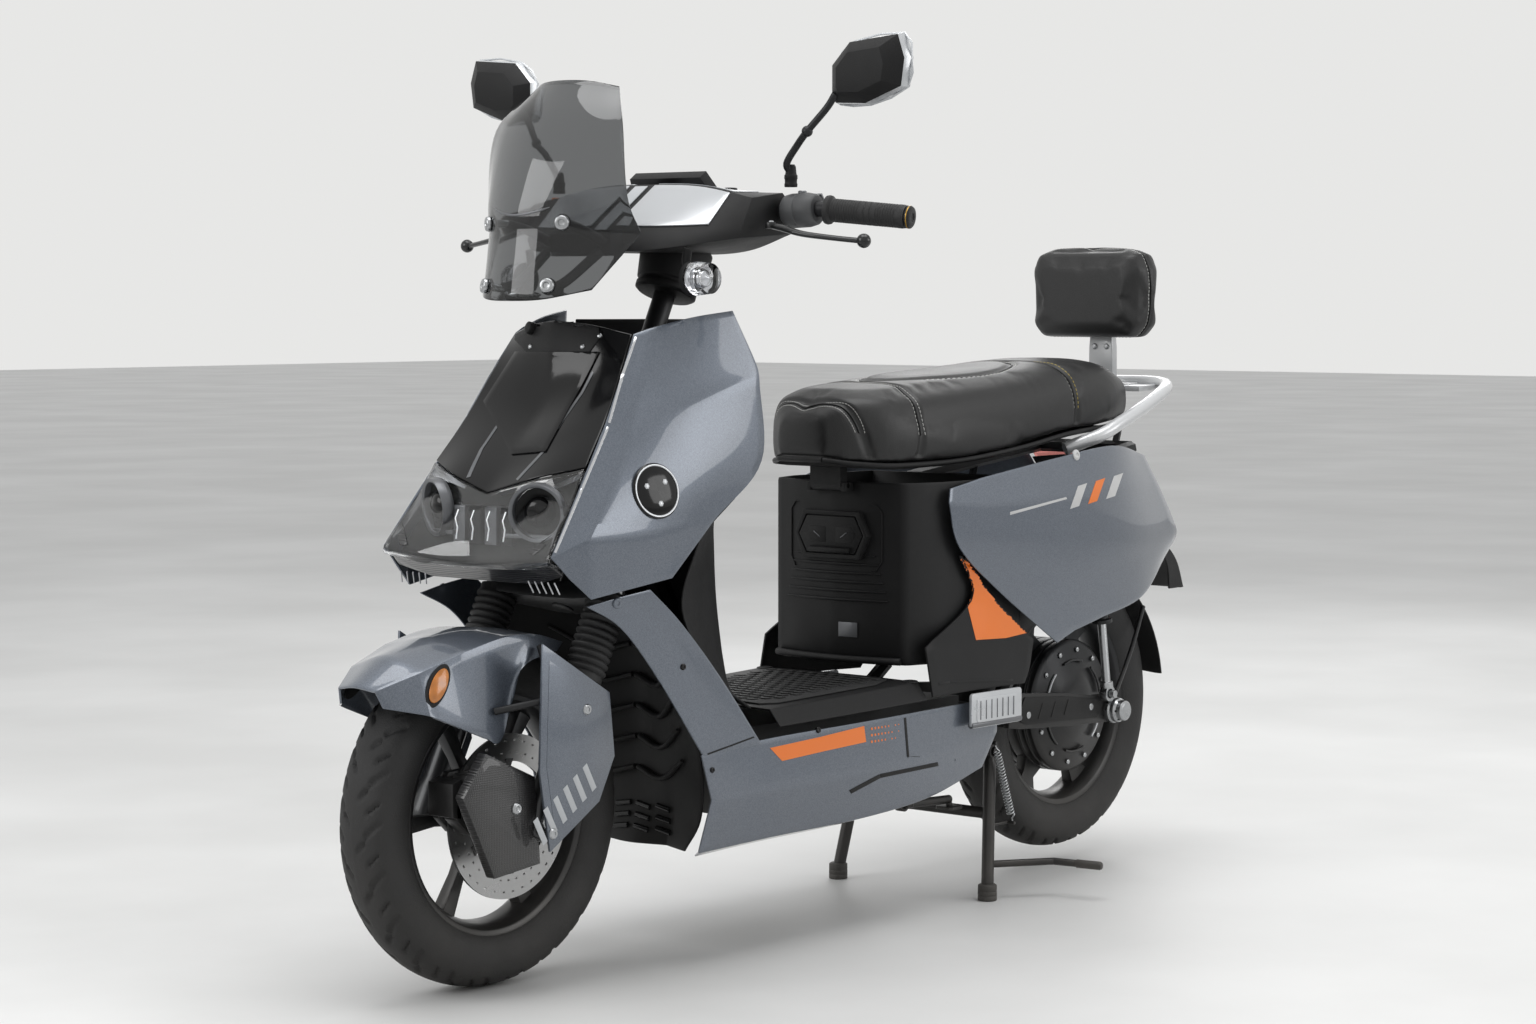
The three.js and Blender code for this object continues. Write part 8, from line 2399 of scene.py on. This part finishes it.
trim = []
for index in range(3):
    line = seam_points(index, 0.0)
    trim += in_finish(0, swept([p + n * 0.0008 for p, n in line], 0.0016 if index < 2 else 0.0032, 8, 1))
    for offset in (0.0065, -0.0065):
        trim += in_finish(1 if index < 2 or offset > 0 else 2, *stitches(seam_points(index, offset)))
trim += in_finish(0, swept([p + n * 0.0006 for p, n in oval_line(0)], 0.0014, 8, 1))
trim += in_finish(1, *stitches(oval_line(0.007)))
piece("seat_seams", trim, leather, "seat", (), angle=60, finishes=(thread, yellow_thread))
rim_line = [Vector((p.x, p.y * 0.985, p.z - 0.004)) for p in columns[0]]
rim_loop = rim_line + [Vector((p.x, -p.y, p.z)) for p in reversed(rim_line)]
piece(
    "seat_pan_edge", [swept(rim_loop + [rim_loop[0]], 0.0042, 10, 1)], matt_black, "seat", (),
    angle=40,
)

# Backrest
# A firm leather block on the rail's post, piped round the middle, with a shallow pressed field.
pad_low, pad_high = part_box("backrest_pad")
pad_middle = (pad_low + pad_high) / 2
pad_half = (pad_high - pad_low) / 2
PAD_PLAN = [
    (-0.80, -1), (0.80, -1), (0.97, -0.72), (1, 0.55), (0.90, 0.92),
    (0.72, 1), (-0.72, 1), (-0.90, 0.92), (-1, 0.55), (-0.97, -0.72),
]
PAD_LAYERS = [(-1, 0.86), (-0.82, 0.96), (-0.4, 0.995), (0.4, 0.995), (0.82, 0.96), (1, 0.86)]
pad_outline = []
for a, b in PAD_PLAN:
    pad_outline.append((a * pad_half.y, b * pad_half.z))
pad_points = []
for x, size in PAD_LAYERS:
    for y, z in pad_outline:
        pad_points.append(
            Vector((pad_middle.x + x * pad_half.x * 0.98, pad_middle.y + y * size, pad_middle.z + z * size))
        )
count = len(PAD_PLAN)
pad_faces = []
for i in range(len(PAD_LAYERS) - 1):
    for k in range(count):
        there = (k + 1) % count
        pad_faces.append([i * count + k, i * count + there, (i + 1) * count + there, (i + 1) * count + k])
pad_faces += [list(range(count))[::-1], [(len(PAD_LAYERS) - 1) * count + k for k in range(count)]]
pad = cushion("backrest_leather", pad_points, pad_faces, 0.005)
inflated(pad, lambda p: p.z < pad_low.z + 0.012, 4.0, 0.004)
subdivided(pad)


def pad_depth(p, normal):
    """How deep the piping draws the pad in round its middle."""
    gap = abs(p.x - pad_middle.x)
    if gap < 0.008 and abs(normal.x) < 0.6:
        return 0.003 * (1 - (gap / 0.008) ** 2) ** 2
    return 0.0


pressed(pad, pad_depth)
upholstered(pad, "frame", "backrest_pad")
pad_tree = tree_of(pad)
welt, row = [], []
for k in range(121):
    turn = 2 * math.pi * k / 120
    way = Vector((0, math.sin(turn), math.cos(turn)))
    hit, normal, _, _ = pad_tree.ray_cast(pad_middle + way * 0.3, -way)
    welt.append((hit, normal))
    hit, normal, _, _ = pad_tree.ray_cast(pad_middle + Vector((0.007, 0, 0)) + way * 0.3, -way)
    row.append((hit, normal))
pad_trim = [(*swept([p + n * 0.0012 for p, n in welt], 0.0018, 8, 1), 0)]
pad_trim += in_finish(1, *stitches(row))
piece("backrest_seams", pad_trim, leather, "frame", (), angle=60, finishes=(thread,))

# Grab rail
# A white-lacquered tube looping round the tail, a shelf between its ends, and the flat post of the backrest.
GRAB = [
    (2.55, 0.55, 1.368), (2.75, 0.72, 1.41), (2.95, 0.76, 1.452), (3.25, 0.735, 1.5), (3.6, 0.62, 1.548),
    (3.84, 0.36, 1.562), (3.88, 0, 1.564),
]
white_lacquer = finish(
    "white silver lacquer", (0.62, 0.63, 0.64), 0.3, metallic=0.25, scale=900, relief=0.04, variation=0.1,
    worn=(0.35, 0.35, 0.35), wear=0.2, coat=0.4, dust=0.15,
)
rail = whole([at(share) for share in GRAB])
rail_shapes = [swept(rail, 0.0108, 24, 10)]
SHELF = ((3.44, 0.5), (3.6, 0.47), (3.78, 0.38), (3.88, 0.28))
shelf = [(station(along), half * HALF_BODY) for along, half in SHELF]
plan = shelf + [(x, -y) for x, y in reversed(shelf)]
rail_shapes.append(slab([(x, y, 0.7695) for x, y in plan], (0, 0, 0.0095)))
for k in range(5):
    x = station(3.50 + 0.07 * k)
    rail_shapes.append(
        swept([(x, 0.07 - 0.008 * k, 0.7793), (x, 0, 0.7797), (x, -0.07 + 0.008 * k, 0.7793)], 0.0022, 8, 4)
    )
post_x = station(3.6)
post = [(-0.024, 0.766), (0.024, 0.766), (0.0235, 0.84), (0.020, 0.874), (-0.020, 0.874), (-0.0235, 0.84)]
rail_shapes.append(slab([(post_x - 0.0068, y, z) for y, z in post], (0.0136, 0, 0)))
screws = []
for y in (-0.012, 0.012):
    screws += in_finish(
        1,
        lathed(
            [(0.005, -0.001), (0.005, 0.0022), (0.003, 0.003), (0, 0.0024)], (post_x + 0.0066, y, 0.842),
            (1, 0, 0), 20,
        ),
    )
piece(
    "grab_rail_lacquered", in_finish(0, *rail_shapes) + screws, white_lacquer, "frame", "grab_rail",
    bevel=0.0012, angle=36, finishes=(steel,),
)

# Rear arm
# A boxed steel swingarm with a moulded cover on each side and silver axle caps.
# It carries the hugger over the tyre on two stays.
PIVOT = Vector((station(1.9375), 0, 0.270))
arm_parts = []
ARM_LINE = [
    (-0.326, 0.2855), (-0.360, 0.3062), (-0.480, 0.296), (-0.6018, 0.2785), (-0.6215, 0.2685),
    (-0.6215, 0.2487), (-0.6018, 0.2387), (-0.480, 0.243), (-0.360, 0.2502), (-0.326, 0.2545),
]
for side in (1, -1):
    arm_parts += in_finish(0, slab([(x, 0.1125 * side, z) for x, z in ARM_LINE], (0, 0.0105 * side, 0)))
    cover_line = [
        (-0.352, 0.281), (-0.366, 0.300), (-0.480, 0.291), (-0.566, 0.279), (-0.574, 0.262), (-0.560, 0.249),
        (-0.372, 0.256), (-0.354, 0.262),
    ]
    arm_parts += in_finish(1, slab([(x, 0.1228 * side, z) for x, z in cover_line], (0, 0.0028 * side, 0)))
    for x in (-0.40, -0.435, -0.47):
        arm_parts += in_finish(
            1, swept([(x, 0.1258 * side, 0.262), (x - 0.012, 0.1258 * side, 0.286)], 0.0011, 8, 1),
        )
    for x, z in ((-0.375, 0.271), (-0.545, 0.268)):
        arm_parts += in_finish(
            2,
            lathed(
                [(0.0055, -0.001), (0.0055, 0.0008), (0.003, 0.0010), (0, 0.0006)], (x, 0.1254 * side, z),
                (0, side, 0), 24,
            ),
        )
    axle = Vector((REAR_AXLE.x, 0.126 * side, REAR_AXLE.z))
    cap = [
        (0.0215, -0.002), (0.0215, 0.006), (0.0195, 0.009), (0.0195, 0.015), (0.0165, 0.019),
        (0.0160, 0.0265), (0.0125, 0.0295), (0.006, 0.0285), (0, 0.0285),
    ]
    arm_parts += in_finish(2, lathed(cap, axle, (0, side, 0), 40))
    for k in range(6):
        turn = 2 * math.pi * k / 6
        spot = axle + Vector((0.0155 * math.cos(turn), 0.017 * side, 0.0155 * math.sin(turn)))
        arm_parts += in_finish(0, lathed([(0.0022, 0), (0.0022, 0.0042)], spot, (0, side, 0), 10))
    arm_parts += in_finish(
        2, lathed([(0.011, 0), (0.011, 0.058)], (REAR_AXLE.x, 0.0545 * side, REAR_AXLE.z), (0, side, 0), 24),
    )
    arm_parts += in_finish(
        2, lathed([(0.006, 0), (0.006, 0.024)], (-0.57700, 0.126 * side, 0.2875), (0, side, 0), 24),
    )
    arm_parts += in_finish(
        0,
        block(
            (-0.590, min(0.112 * side, 0.118 * side), 0.2385),
            (-0.564, max(0.112 * side, 0.118 * side), 0.2845),
        ),
    )
arm_parts += in_finish(0, block((-0.360, -0.1125, 0.2552), (-0.3262, 0.1125, 0.2848)))
arm_parts += in_finish(0, lathed([(0.0158, 0), (0.0158, 0.186)], (PIVOT.x, -0.093, PIVOT.z), (0, 1, 0), 32))
arm_parts += in_finish(0, block((-0.33, -0.089, 0.2625), (-0.302, 0.089, 0.2775)))
arm_parts += in_finish(
    2, lathed([(0.0078, 0), (0.0078, 0.224)], (REAR_AXLE.x, -0.112, REAR_AXLE.z), (0, 1, 0), 24),
)
HUGGER_RADIUS = TYRE_RADIUS + 0.015
hugger_rows = []
for k in range(9):
    turn = math.radians(110 + 62 * k / 8)
    drops = ((0.058, 0.0165 * math.sin(turn)), (0.044, 0.002), (0.020, 0), (0, 0))
    hugger_rows.append(
        whole([wheel_place(REAR_AXLE, turn, HUGGER_RADIUS, y) - Vector((0, 0, drop)) for y, drop in drops])
    )
arm_parts += in_finish(1, skin(hugger_rows, REAR_AXLE, steps=3, inset=0.0, thickness=0.0026))
for side in (1, -1):
    hold = wheel_place(REAR_AXLE, math.radians(141), HUGGER_RADIUS, 0.055 * side) - Vector((0, 0, 0.008))
    root = Vector((REAR_AXLE.x - 0.010, 0.115 * side, REAR_AXLE.z))
    bend = root.lerp(hold, 0.55) + Vector((0, 0.004 * side, 0))
    arm_parts += in_finish(0, swept([root, bend, hold], 0.0038, 12, 6))
piece(
    "swingarm_welded", arm_parts, carrier_black, "swingarm", "swingarm", bevel=0.0012,
    angle=32, finishes=(matt_black, steel),
)

# Shock absorbers
# A black spring over a damper tube; the bright rod slides in it as the arm rises.
for side, name in SIDES:
    top = Vector((station(2.735), 0.134 * side, 0.575))
    foot = Vector((REAR_AXLE.x + 0.02475, 0.134 * side, 0.2875))
    way = (foot - top).normalized()
    body_end = (foot - top).length * 0.6
    tube = [
        (0.0128, 0.013), (0.0165, 0.014), (0.0172, 0.020), (0.0172, 0.026), (0.0105, 0.028),
        (0.0105, body_end - 0.008), (0.0168, body_end - 0.007), (0.0172, body_end - 0.001),
        (0.0078, body_end - 0.0005),
    ]
    square = way.orthogonal().normalized()
    other = way.cross(square)
    coil = []
    turns = 9
    for k in range(turns * 20 + 1):
        angle_now = 2 * math.pi * k / 20
        reach = 0.028 + (body_end - 0.037) * k / (turns * 20)
        coil.append(top + way * reach + (square * math.cos(angle_now) + other * math.sin(angle_now)) * 0.0146)
    eye = ring_turned(
        [(0.0066, -0.0068), (0.0125, -0.0068), (0.0125, 0.0068), (0.0066, 0.0068)], top, (0, 1, 0), 40,
    )
    bolt = lathed([(0.0060, -0.0069), (0.0060, 0.0072), (0.004, 0.0078), (0, 0.0078)], top, (0, side, 0), 6)
    shapes = [(*lathed(tube, top, way, 40), 0), (*swept(coil, 0.0029, 8, 1), 0), (*eye, 1), (*bolt, 1)]
    piece(
        "shock_body_" + name + "_spring", shapes, carrier_black, "frame", "shock_body_" + name,
        bevel=0.0004, angle=44, finishes=(steel,),
    )
    length = (foot - top).length
    rod_top = top + way * length * 0.385
    rod_profile = [
        (0.0068, 0), (0.0068, length * 0.615 - 0.020), (0.0105, length * 0.615 - 0.019),
        (0.0105, length * 0.615 - 0.010),
    ]
    lower_eye = ring_turned(
        [(0.0078, -0.0068), (0.0128, -0.0068), (0.0128, 0.0068), (0.0078, 0.0068)], foot, (0, 1, 0), 40,
    )
    piece(
        "shock_rod_" + name + "_polished", [lathed(rod_profile, rod_top, way, 36), lower_eye], steel,
        "shock_rod_" + name, "shock_rod_" + name, bevel=0.0004, angle=44,
    )

# Stands
# The centre stand holds the rear wheel up on two rubber feet, and a coil spring snaps it up.
# The side stand lies folded.
STAND = Vector((station(1.906), 0, 0.225))
stand_foot = Vector((station(1.859), 0.148, 0))
EYE_SIDE = 0.1238
stand_parts = []
legs = {}
for side in (1, -1):
    top = Vector((STAND.x, EYE_SIDE * side, STAND.z))
    ankle = Vector((stand_foot.x, stand_foot.y * side, 0.013))
    legs[side] = (top, ankle)
    stand_parts += in_finish(
        0,
        ring_turned(
            [(0.0076, -0.0088), (0.0125, -0.0088), (0.0125, 0.0088), (0.0076, 0.0088)], top, (0, 1, 0), 36,
        ),
    )
    way = (ankle - top).normalized()
    stand_parts += in_finish(0, swept([top + way * 0.010, top.lerp(ankle, 0.5), ankle], 0.0096, 20, 4))
    foot_profile = [
        (0.0128, 0.0), (0.0148, 0.001), (0.0148, 0.007), (0.0142, 0.008), (0.0148, 0.009), (0.0148, 0.014),
        (0.0142, 0.015), (0.0148, 0.016), (0.0145, 0.024), (0.0118, 0.0258),
    ]
    stand_parts += in_finish(1, lathed(foot_profile, (stand_foot.x, stand_foot.y * side, 0), (0, 0, 1), 32))
bar_end = legs[1][0].lerp(Vector((stand_foot.x, stand_foot.y, 0)), 0.42)
stand_parts += in_finish(
    0, lathed([(0.0088, 0), (0.0088, 2 * bar_end.y)], (bar_end.x, -bar_end.y, bar_end.z), (0, 1, 0), 24),
)
for side in (1, -1):
    gusset = [
        bar_end + Vector((0, 0, 0.016)), bar_end + Vector((0, 0, -0.016)),
        Vector((bar_end.x, bar_end.y - 0.030, bar_end.z)),
    ]
    stand_parts += in_finish(0, slab([Vector((p.x - 0.002, p.y * side, p.z)) for p in gusset], (0.004, 0, 0)))
tang_root = legs[1][0].lerp(Vector((stand_foot.x, stand_foot.y, 0)), 0.76)
tang_one = Vector((station(1.95) - 0.025, 0.202, tang_root.z))
tang_two = Vector((station(1.965) - 0.025, 0.284, tang_root.z))
stand_parts += in_finish(0, swept([tang_root, tang_one, tang_two], 0.0056, 16, 1))
stand_parts += in_finish(
    1,
    lathed(
        [(0.0062, 0), (0.0066, 0.001), (0.0066, 0.040), (0.0055, 0.042)],
        tang_two - (tang_two - tang_one).normalized() * 0.043, tang_two - tang_one, 20,
    ),
)
hook_foot = Vector((STAND.x - 0.028, 0.1484, STAND.z - 0.113))
hook_root = legs[1][0].lerp(Vector((stand_foot.x, stand_foot.y, 0)), 0.5)
stand_parts += in_finish(
    0,
    swept(
        [
            hook_root, Vector((hook_foot.x, hook_root.y, hook_foot.z)),
            Vector((hook_foot.x, hook_foot.y + 0.0028, hook_foot.z)),
        ],
        0.0028, 12, 1,
    ),
)
piece(
    "centre_stand_welded", stand_parts, carrier_black, "centre_stand", "centre_stand",
    bevel=0.0006, angle=40, finishes=(rubber,),
)
spring_low, spring_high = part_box("stand_spring")
spring_side = (spring_low.y + spring_high.y) / 2
hook_top = Vector((STAND.x + 0.019, spring_side, STAND.z + 0.016))
hook_end = Vector((STAND.x - 0.028, spring_side, STAND.z - 0.113))
way = (hook_end - hook_top).normalized()
span = (hook_end - hook_top).length
square = Vector((0, 1, 0))
other = way.cross(square)
coil = [hook_top + way * 0.0036, hook_top + way * 0.008]
CURLS, CURL_STEPS = 22, 14
for k in range(CURLS * CURL_STEPS + 1):
    turn = 2 * math.pi * k / CURL_STEPS
    reach = 0.014 + (span - 0.028) * k / (CURLS * CURL_STEPS)
    coil.append(hook_top + way * reach + (square * math.cos(turn) + other * math.sin(turn)) * 0.0053)
coil += [hook_end - way * 0.008, hook_end - way * 0.0036]
piece(
    "stand_spring_coil", [swept(coil, 0.0012, 8, 1)], steel, "stand_spring", "stand_spring",
    angle=60,
)
side_pivot = Vector((-0.09175, 0.096, 0.160))
side_end = Vector((side_pivot.x - 0.135 + 0.017, side_pivot.y, side_pivot.z - 0.005))
FOOT_PLAN = [
    (-0.0165, -0.012), (-0.012, -0.0165), (0.012, -0.0165), (0.0165, -0.012),
    (0.0165, 0.012), (0.012, 0.0165), (-0.012, 0.0165), (-0.0165, 0.012),
]
side_parts = [
    ring_turned(
        [(0.0056, -0.0072), (0.0097, -0.0072), (0.0097, 0.0072), (0.0056, 0.0072)], side_pivot, (0, 1, 0), 36,
    ),
    swept([side_pivot + Vector((-0.006, 0, 0)), side_pivot.lerp(side_end, 0.5), side_end], 0.0067, 18, 4),
    slab([(side_end.x + x, side_end.y + y, side_end.z - 0.0148) for x, y in FOOT_PLAN], (0, 0, 0.0046)),
    lathed([(0.0050, 0), (0.0042, 0.012)], side_end + Vector((0, 0, -0.0115)), (0, 0, 1), 20),
]
piece(
    "side_stand_forged", side_parts, carrier_black, "side_stand", "side_stand", bevel=0.0006,
    angle=40,
)

# Footpegs
# Folding passenger pegs: a silver plate with a grooved tread in a black frame on the belly.
for side, name in SIDES:
    low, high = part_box("footpeg_" + name)
    centre = (low + high) / 2
    half = (high - low) / 2
    y_in, y_out = (low.y, high.y) if side > 0 else (high.y, low.y)
    corner = 0.006
    plan = []
    for a, b in ((-1, -1), (1, -1), (1, 1), (-1, 1)):
        cx, cz = centre.x + a * (half.x - corner), centre.z + b * (half.z - corner)
        start = math.atan2(b, a)
        for k in range(-2, 3):
            turn = start + k * math.pi / 8
            plan.append((cx + corner * math.cos(turn), cz + corner * math.sin(turn)))
    shapes = [
        (*slab([(x, y_in + (y_out - y_in) * 0.30, z) for x, z in plan], (0, (y_out - y_in) * 0.52, 0)), 0)
    ]
    inner = [(centre.x + (x - centre.x) * 0.80, centre.z + (z - centre.z) * 0.70) for x, z in plan]
    shapes += in_finish(
        0, slab([(x, y_in + (y_out - y_in) * 0.82, z) for x, z in inner], (0, (y_out - y_in) * 0.10, 0)),
    )
    for k in range(7):
        x = centre.x + (k - 3) * half.x * 0.22
        z0, z1 = centre.z - half.z * 0.55, centre.z + half.z * 0.55
        y = y_in + (y_out - y_in) * 0.925
        shapes += in_finish(1, swept([(x, y, z0), (x, y, z1)], 0.0010, 8, 1))
    shapes += in_finish(
        1,
        lathed(
            [(0.0048, 0), (0.0048, 2 * half.x * 0.99)], (low.x + 0.005 * half.x, 0.1805 * side, 0.2813),
            (1, 0, 0), 20,
        ),
    )
    piece(
        "footpeg_" + name + "_plate", shapes, silver, "footpeg_" + name, "footpeg_" + name,
        bevel=0.0007, angle=34, finishes=(bezel_grey,),
    )

# Kept frame pieces
# The tubes, battery and seat pan stay as built; they get their own finishes.
battery_grey = finish(
    "battery case", (0.045, 0.047, 0.05), 0.55, scale=800, relief=0.12, variation=0.25, dust=0.35,
    worn=(0.12, 0.12, 0.12), wear=0.2,
)
for node, used in (("main_frame", carrier_black), ("battery_pack", battery_grey), ("seat_pan", matt_black)):
    for part_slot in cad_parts[node].material_slots:
        part_slot.material = used

# Panel graphics and fittings
# Films cut to shape and laid on the paint, with the boss, seams, screw caps and bright edge strips. The
# bright strips are a painted highlight along the nose edges, and dark strips paint shade along a fin and a
# facet.
film_white = finish("white film", (0.6, 0.6, 0.6), 0.35, scale=300, relief=0.03, variation=0.1, coat=0.4)
faces_left = tree_of(*[panels[(kind, 1)] for kind in ("fairing", "lower", "rear", "cover")])


films, metal_bits = [], []
# An orange stripe along the top of the belly that breaks up into squares towards the back
stripe = ((770, 748), (820, 737), (864, 726), (866, 742), (825, 751), (782, 761))
films += in_finish(0, *both(film(faces_left, stripe, grain=5.0)))
for k in range(9):
    for j in range(3):
        if (k + 2 * j) % 3 == 0 and k > 4:
            continue
        u, v = 871 + 3.4 * k, 727.5 + 6.5 * j - 0.45 * k
        size = 1.5 - 0.10 * k
        films += in_finish(
            0,
            *both(film(faces_left, ((u, v), (u + size, v), (u + size, v + size * 1.6), (u, v + size * 1.6))))
        )
# Fine orange line down the leg trim, and slanted stripes on the rear panel
line = [(690, 622), (705, 645), (722, 668), (741, 694)]
films += [(*s, 0) for strip in ribbon(faces_left, line, 2.4) for s in both(strip)]
for k, (u, v) in enumerate(((1078, 486), (1096, 481), (1114, 476))):
    slanted = ((u, v), (u + 9, v - 3), (u + 1, v + 20), (u - 8, v + 23))
    films += in_finish(0 if k == 1 else 1, *both(film(faces_left, slanted)))
long_line = ((1010, 512), (1066, 497), (1067, 499), (1010, 515))
films += in_finish(1, *both(film(faces_left, long_line)))
insert = ((958, 556), (974, 566), (1026, 622), (1030, 632), (1006, 638), (976, 640), (966, 600))
films += [(*s, 0) for s in both(film(tree_of(panels[("cover", 1)]), insert, grain=3.0))]
piece("panel_films", films, orange, "frame", (), finishes=(film_white,))

# The fairing's boss of black plastic with a bright ring, the rear knob, screw caps, and chromed strips along
# the nose edges that paint a highlight there
hit, normal = seen(faces_left, (656, 491))
for shape in both(
    lathed(
        [
            (0.037, -0.003), (0.038, 0.001), (0.0365, 0.0028), (0.033, 0.0022), (0.031, 0.0032),
            (0.012, 0.0042), (0, 0.0044),
        ],
        hit, normal, 56,
    )
):
    metal_bits += in_finish(0, shape)
for shape in both(
    ring_turned([(0.0335, 0.0020), (0.0358, 0.0024), (0.0358, 0.0034), (0.0335, 0.0032)], hit, normal, 72)
):
    metal_bits += in_finish(1, shape)
for k in range(3):
    turn = 2 * math.pi * k / 3 + 0.4
    square = normal.orthogonal().normalized()
    other = normal.cross(square)
    spot = hit + normal * 0.0036 + (square * math.cos(turn) + other * math.sin(turn)) * 0.018
    for shape in both(lathed([(0.0042, 0), (0.0042, 0.0006), (0, 0.0007)], spot, normal, 6)):
        metal_bits += in_finish(1, shape)
for (u, v), radius, kind in (
    ((1076, 455), 0.0085, 2), ((617, 603), 0.0075, 3), ((818, 730), 0.0045, 0), ((927, 702), 0.0045, 0),
    ((712, 770), 0.004, 0),
):
    place, out = seen(faces_left, (u, v))
    for shape in both(
        lathed(
            [
                (radius, -0.001), (radius, 0.0014), (radius * 0.8, 0.0026), (radius * 0.4, 0.0027),
                (radius * 0.36, 0.0016), (0, 0.0016),
            ],
            place, out, 28,
        )
    ):
        metal_bits += in_finish(kind, shape)
# Chromed strips along the nose edges: a painted highlight on the edges.
for path in ([(636, 337), (623, 374), (609, 423)], [(608, 427), (582, 489), (555, 553)]):
    metal_bits += [(*s, 4) for strip in ribbon(faces_left, path, 2.6) for s in both(strip)]
piece(
    "panel_fittings_and_edge_highlights", metal_bits, gloss_black, "frame", (), bevel=0.0003, angle=34,
    finishes=(silver, film_white, slate, reflector),
)

# Seams and painted shade: a dark strip at the joint between the leg trim and the belly, and black strips that
# paint the shade along the belly's raised fin and round the facet at the footpeg
relief = []
for path, width in (
    ([(700, 757), (730, 746), (762, 734)], 1.6), ([(850, 792), (880, 776), (938, 764)], 4.0),
    ([(905, 690), (950, 682), (1013, 680)], 2.2), ([(903, 694), (908, 757), (955, 760)], 2.2),
):
    relief += [(*s, 0) for strip in ribbon(faces_left, path, width) for s in both(strip)]
piece("panel_seams_and_painted_shade", relief, matt_black, "frame", (), bevel=0.0003)

# Side strips under the headlight's corners, in woven carbon look
strip_line = [(385, 462), (394, 500), (404, 545)]
strips = [s for strip in ribbon(tree_of(headlight_lens, nose), strip_line, 7.0) for s in both(strip)]
piece("chin_side_strips", strips, carbon, "frame", (), bevel=0.0003)
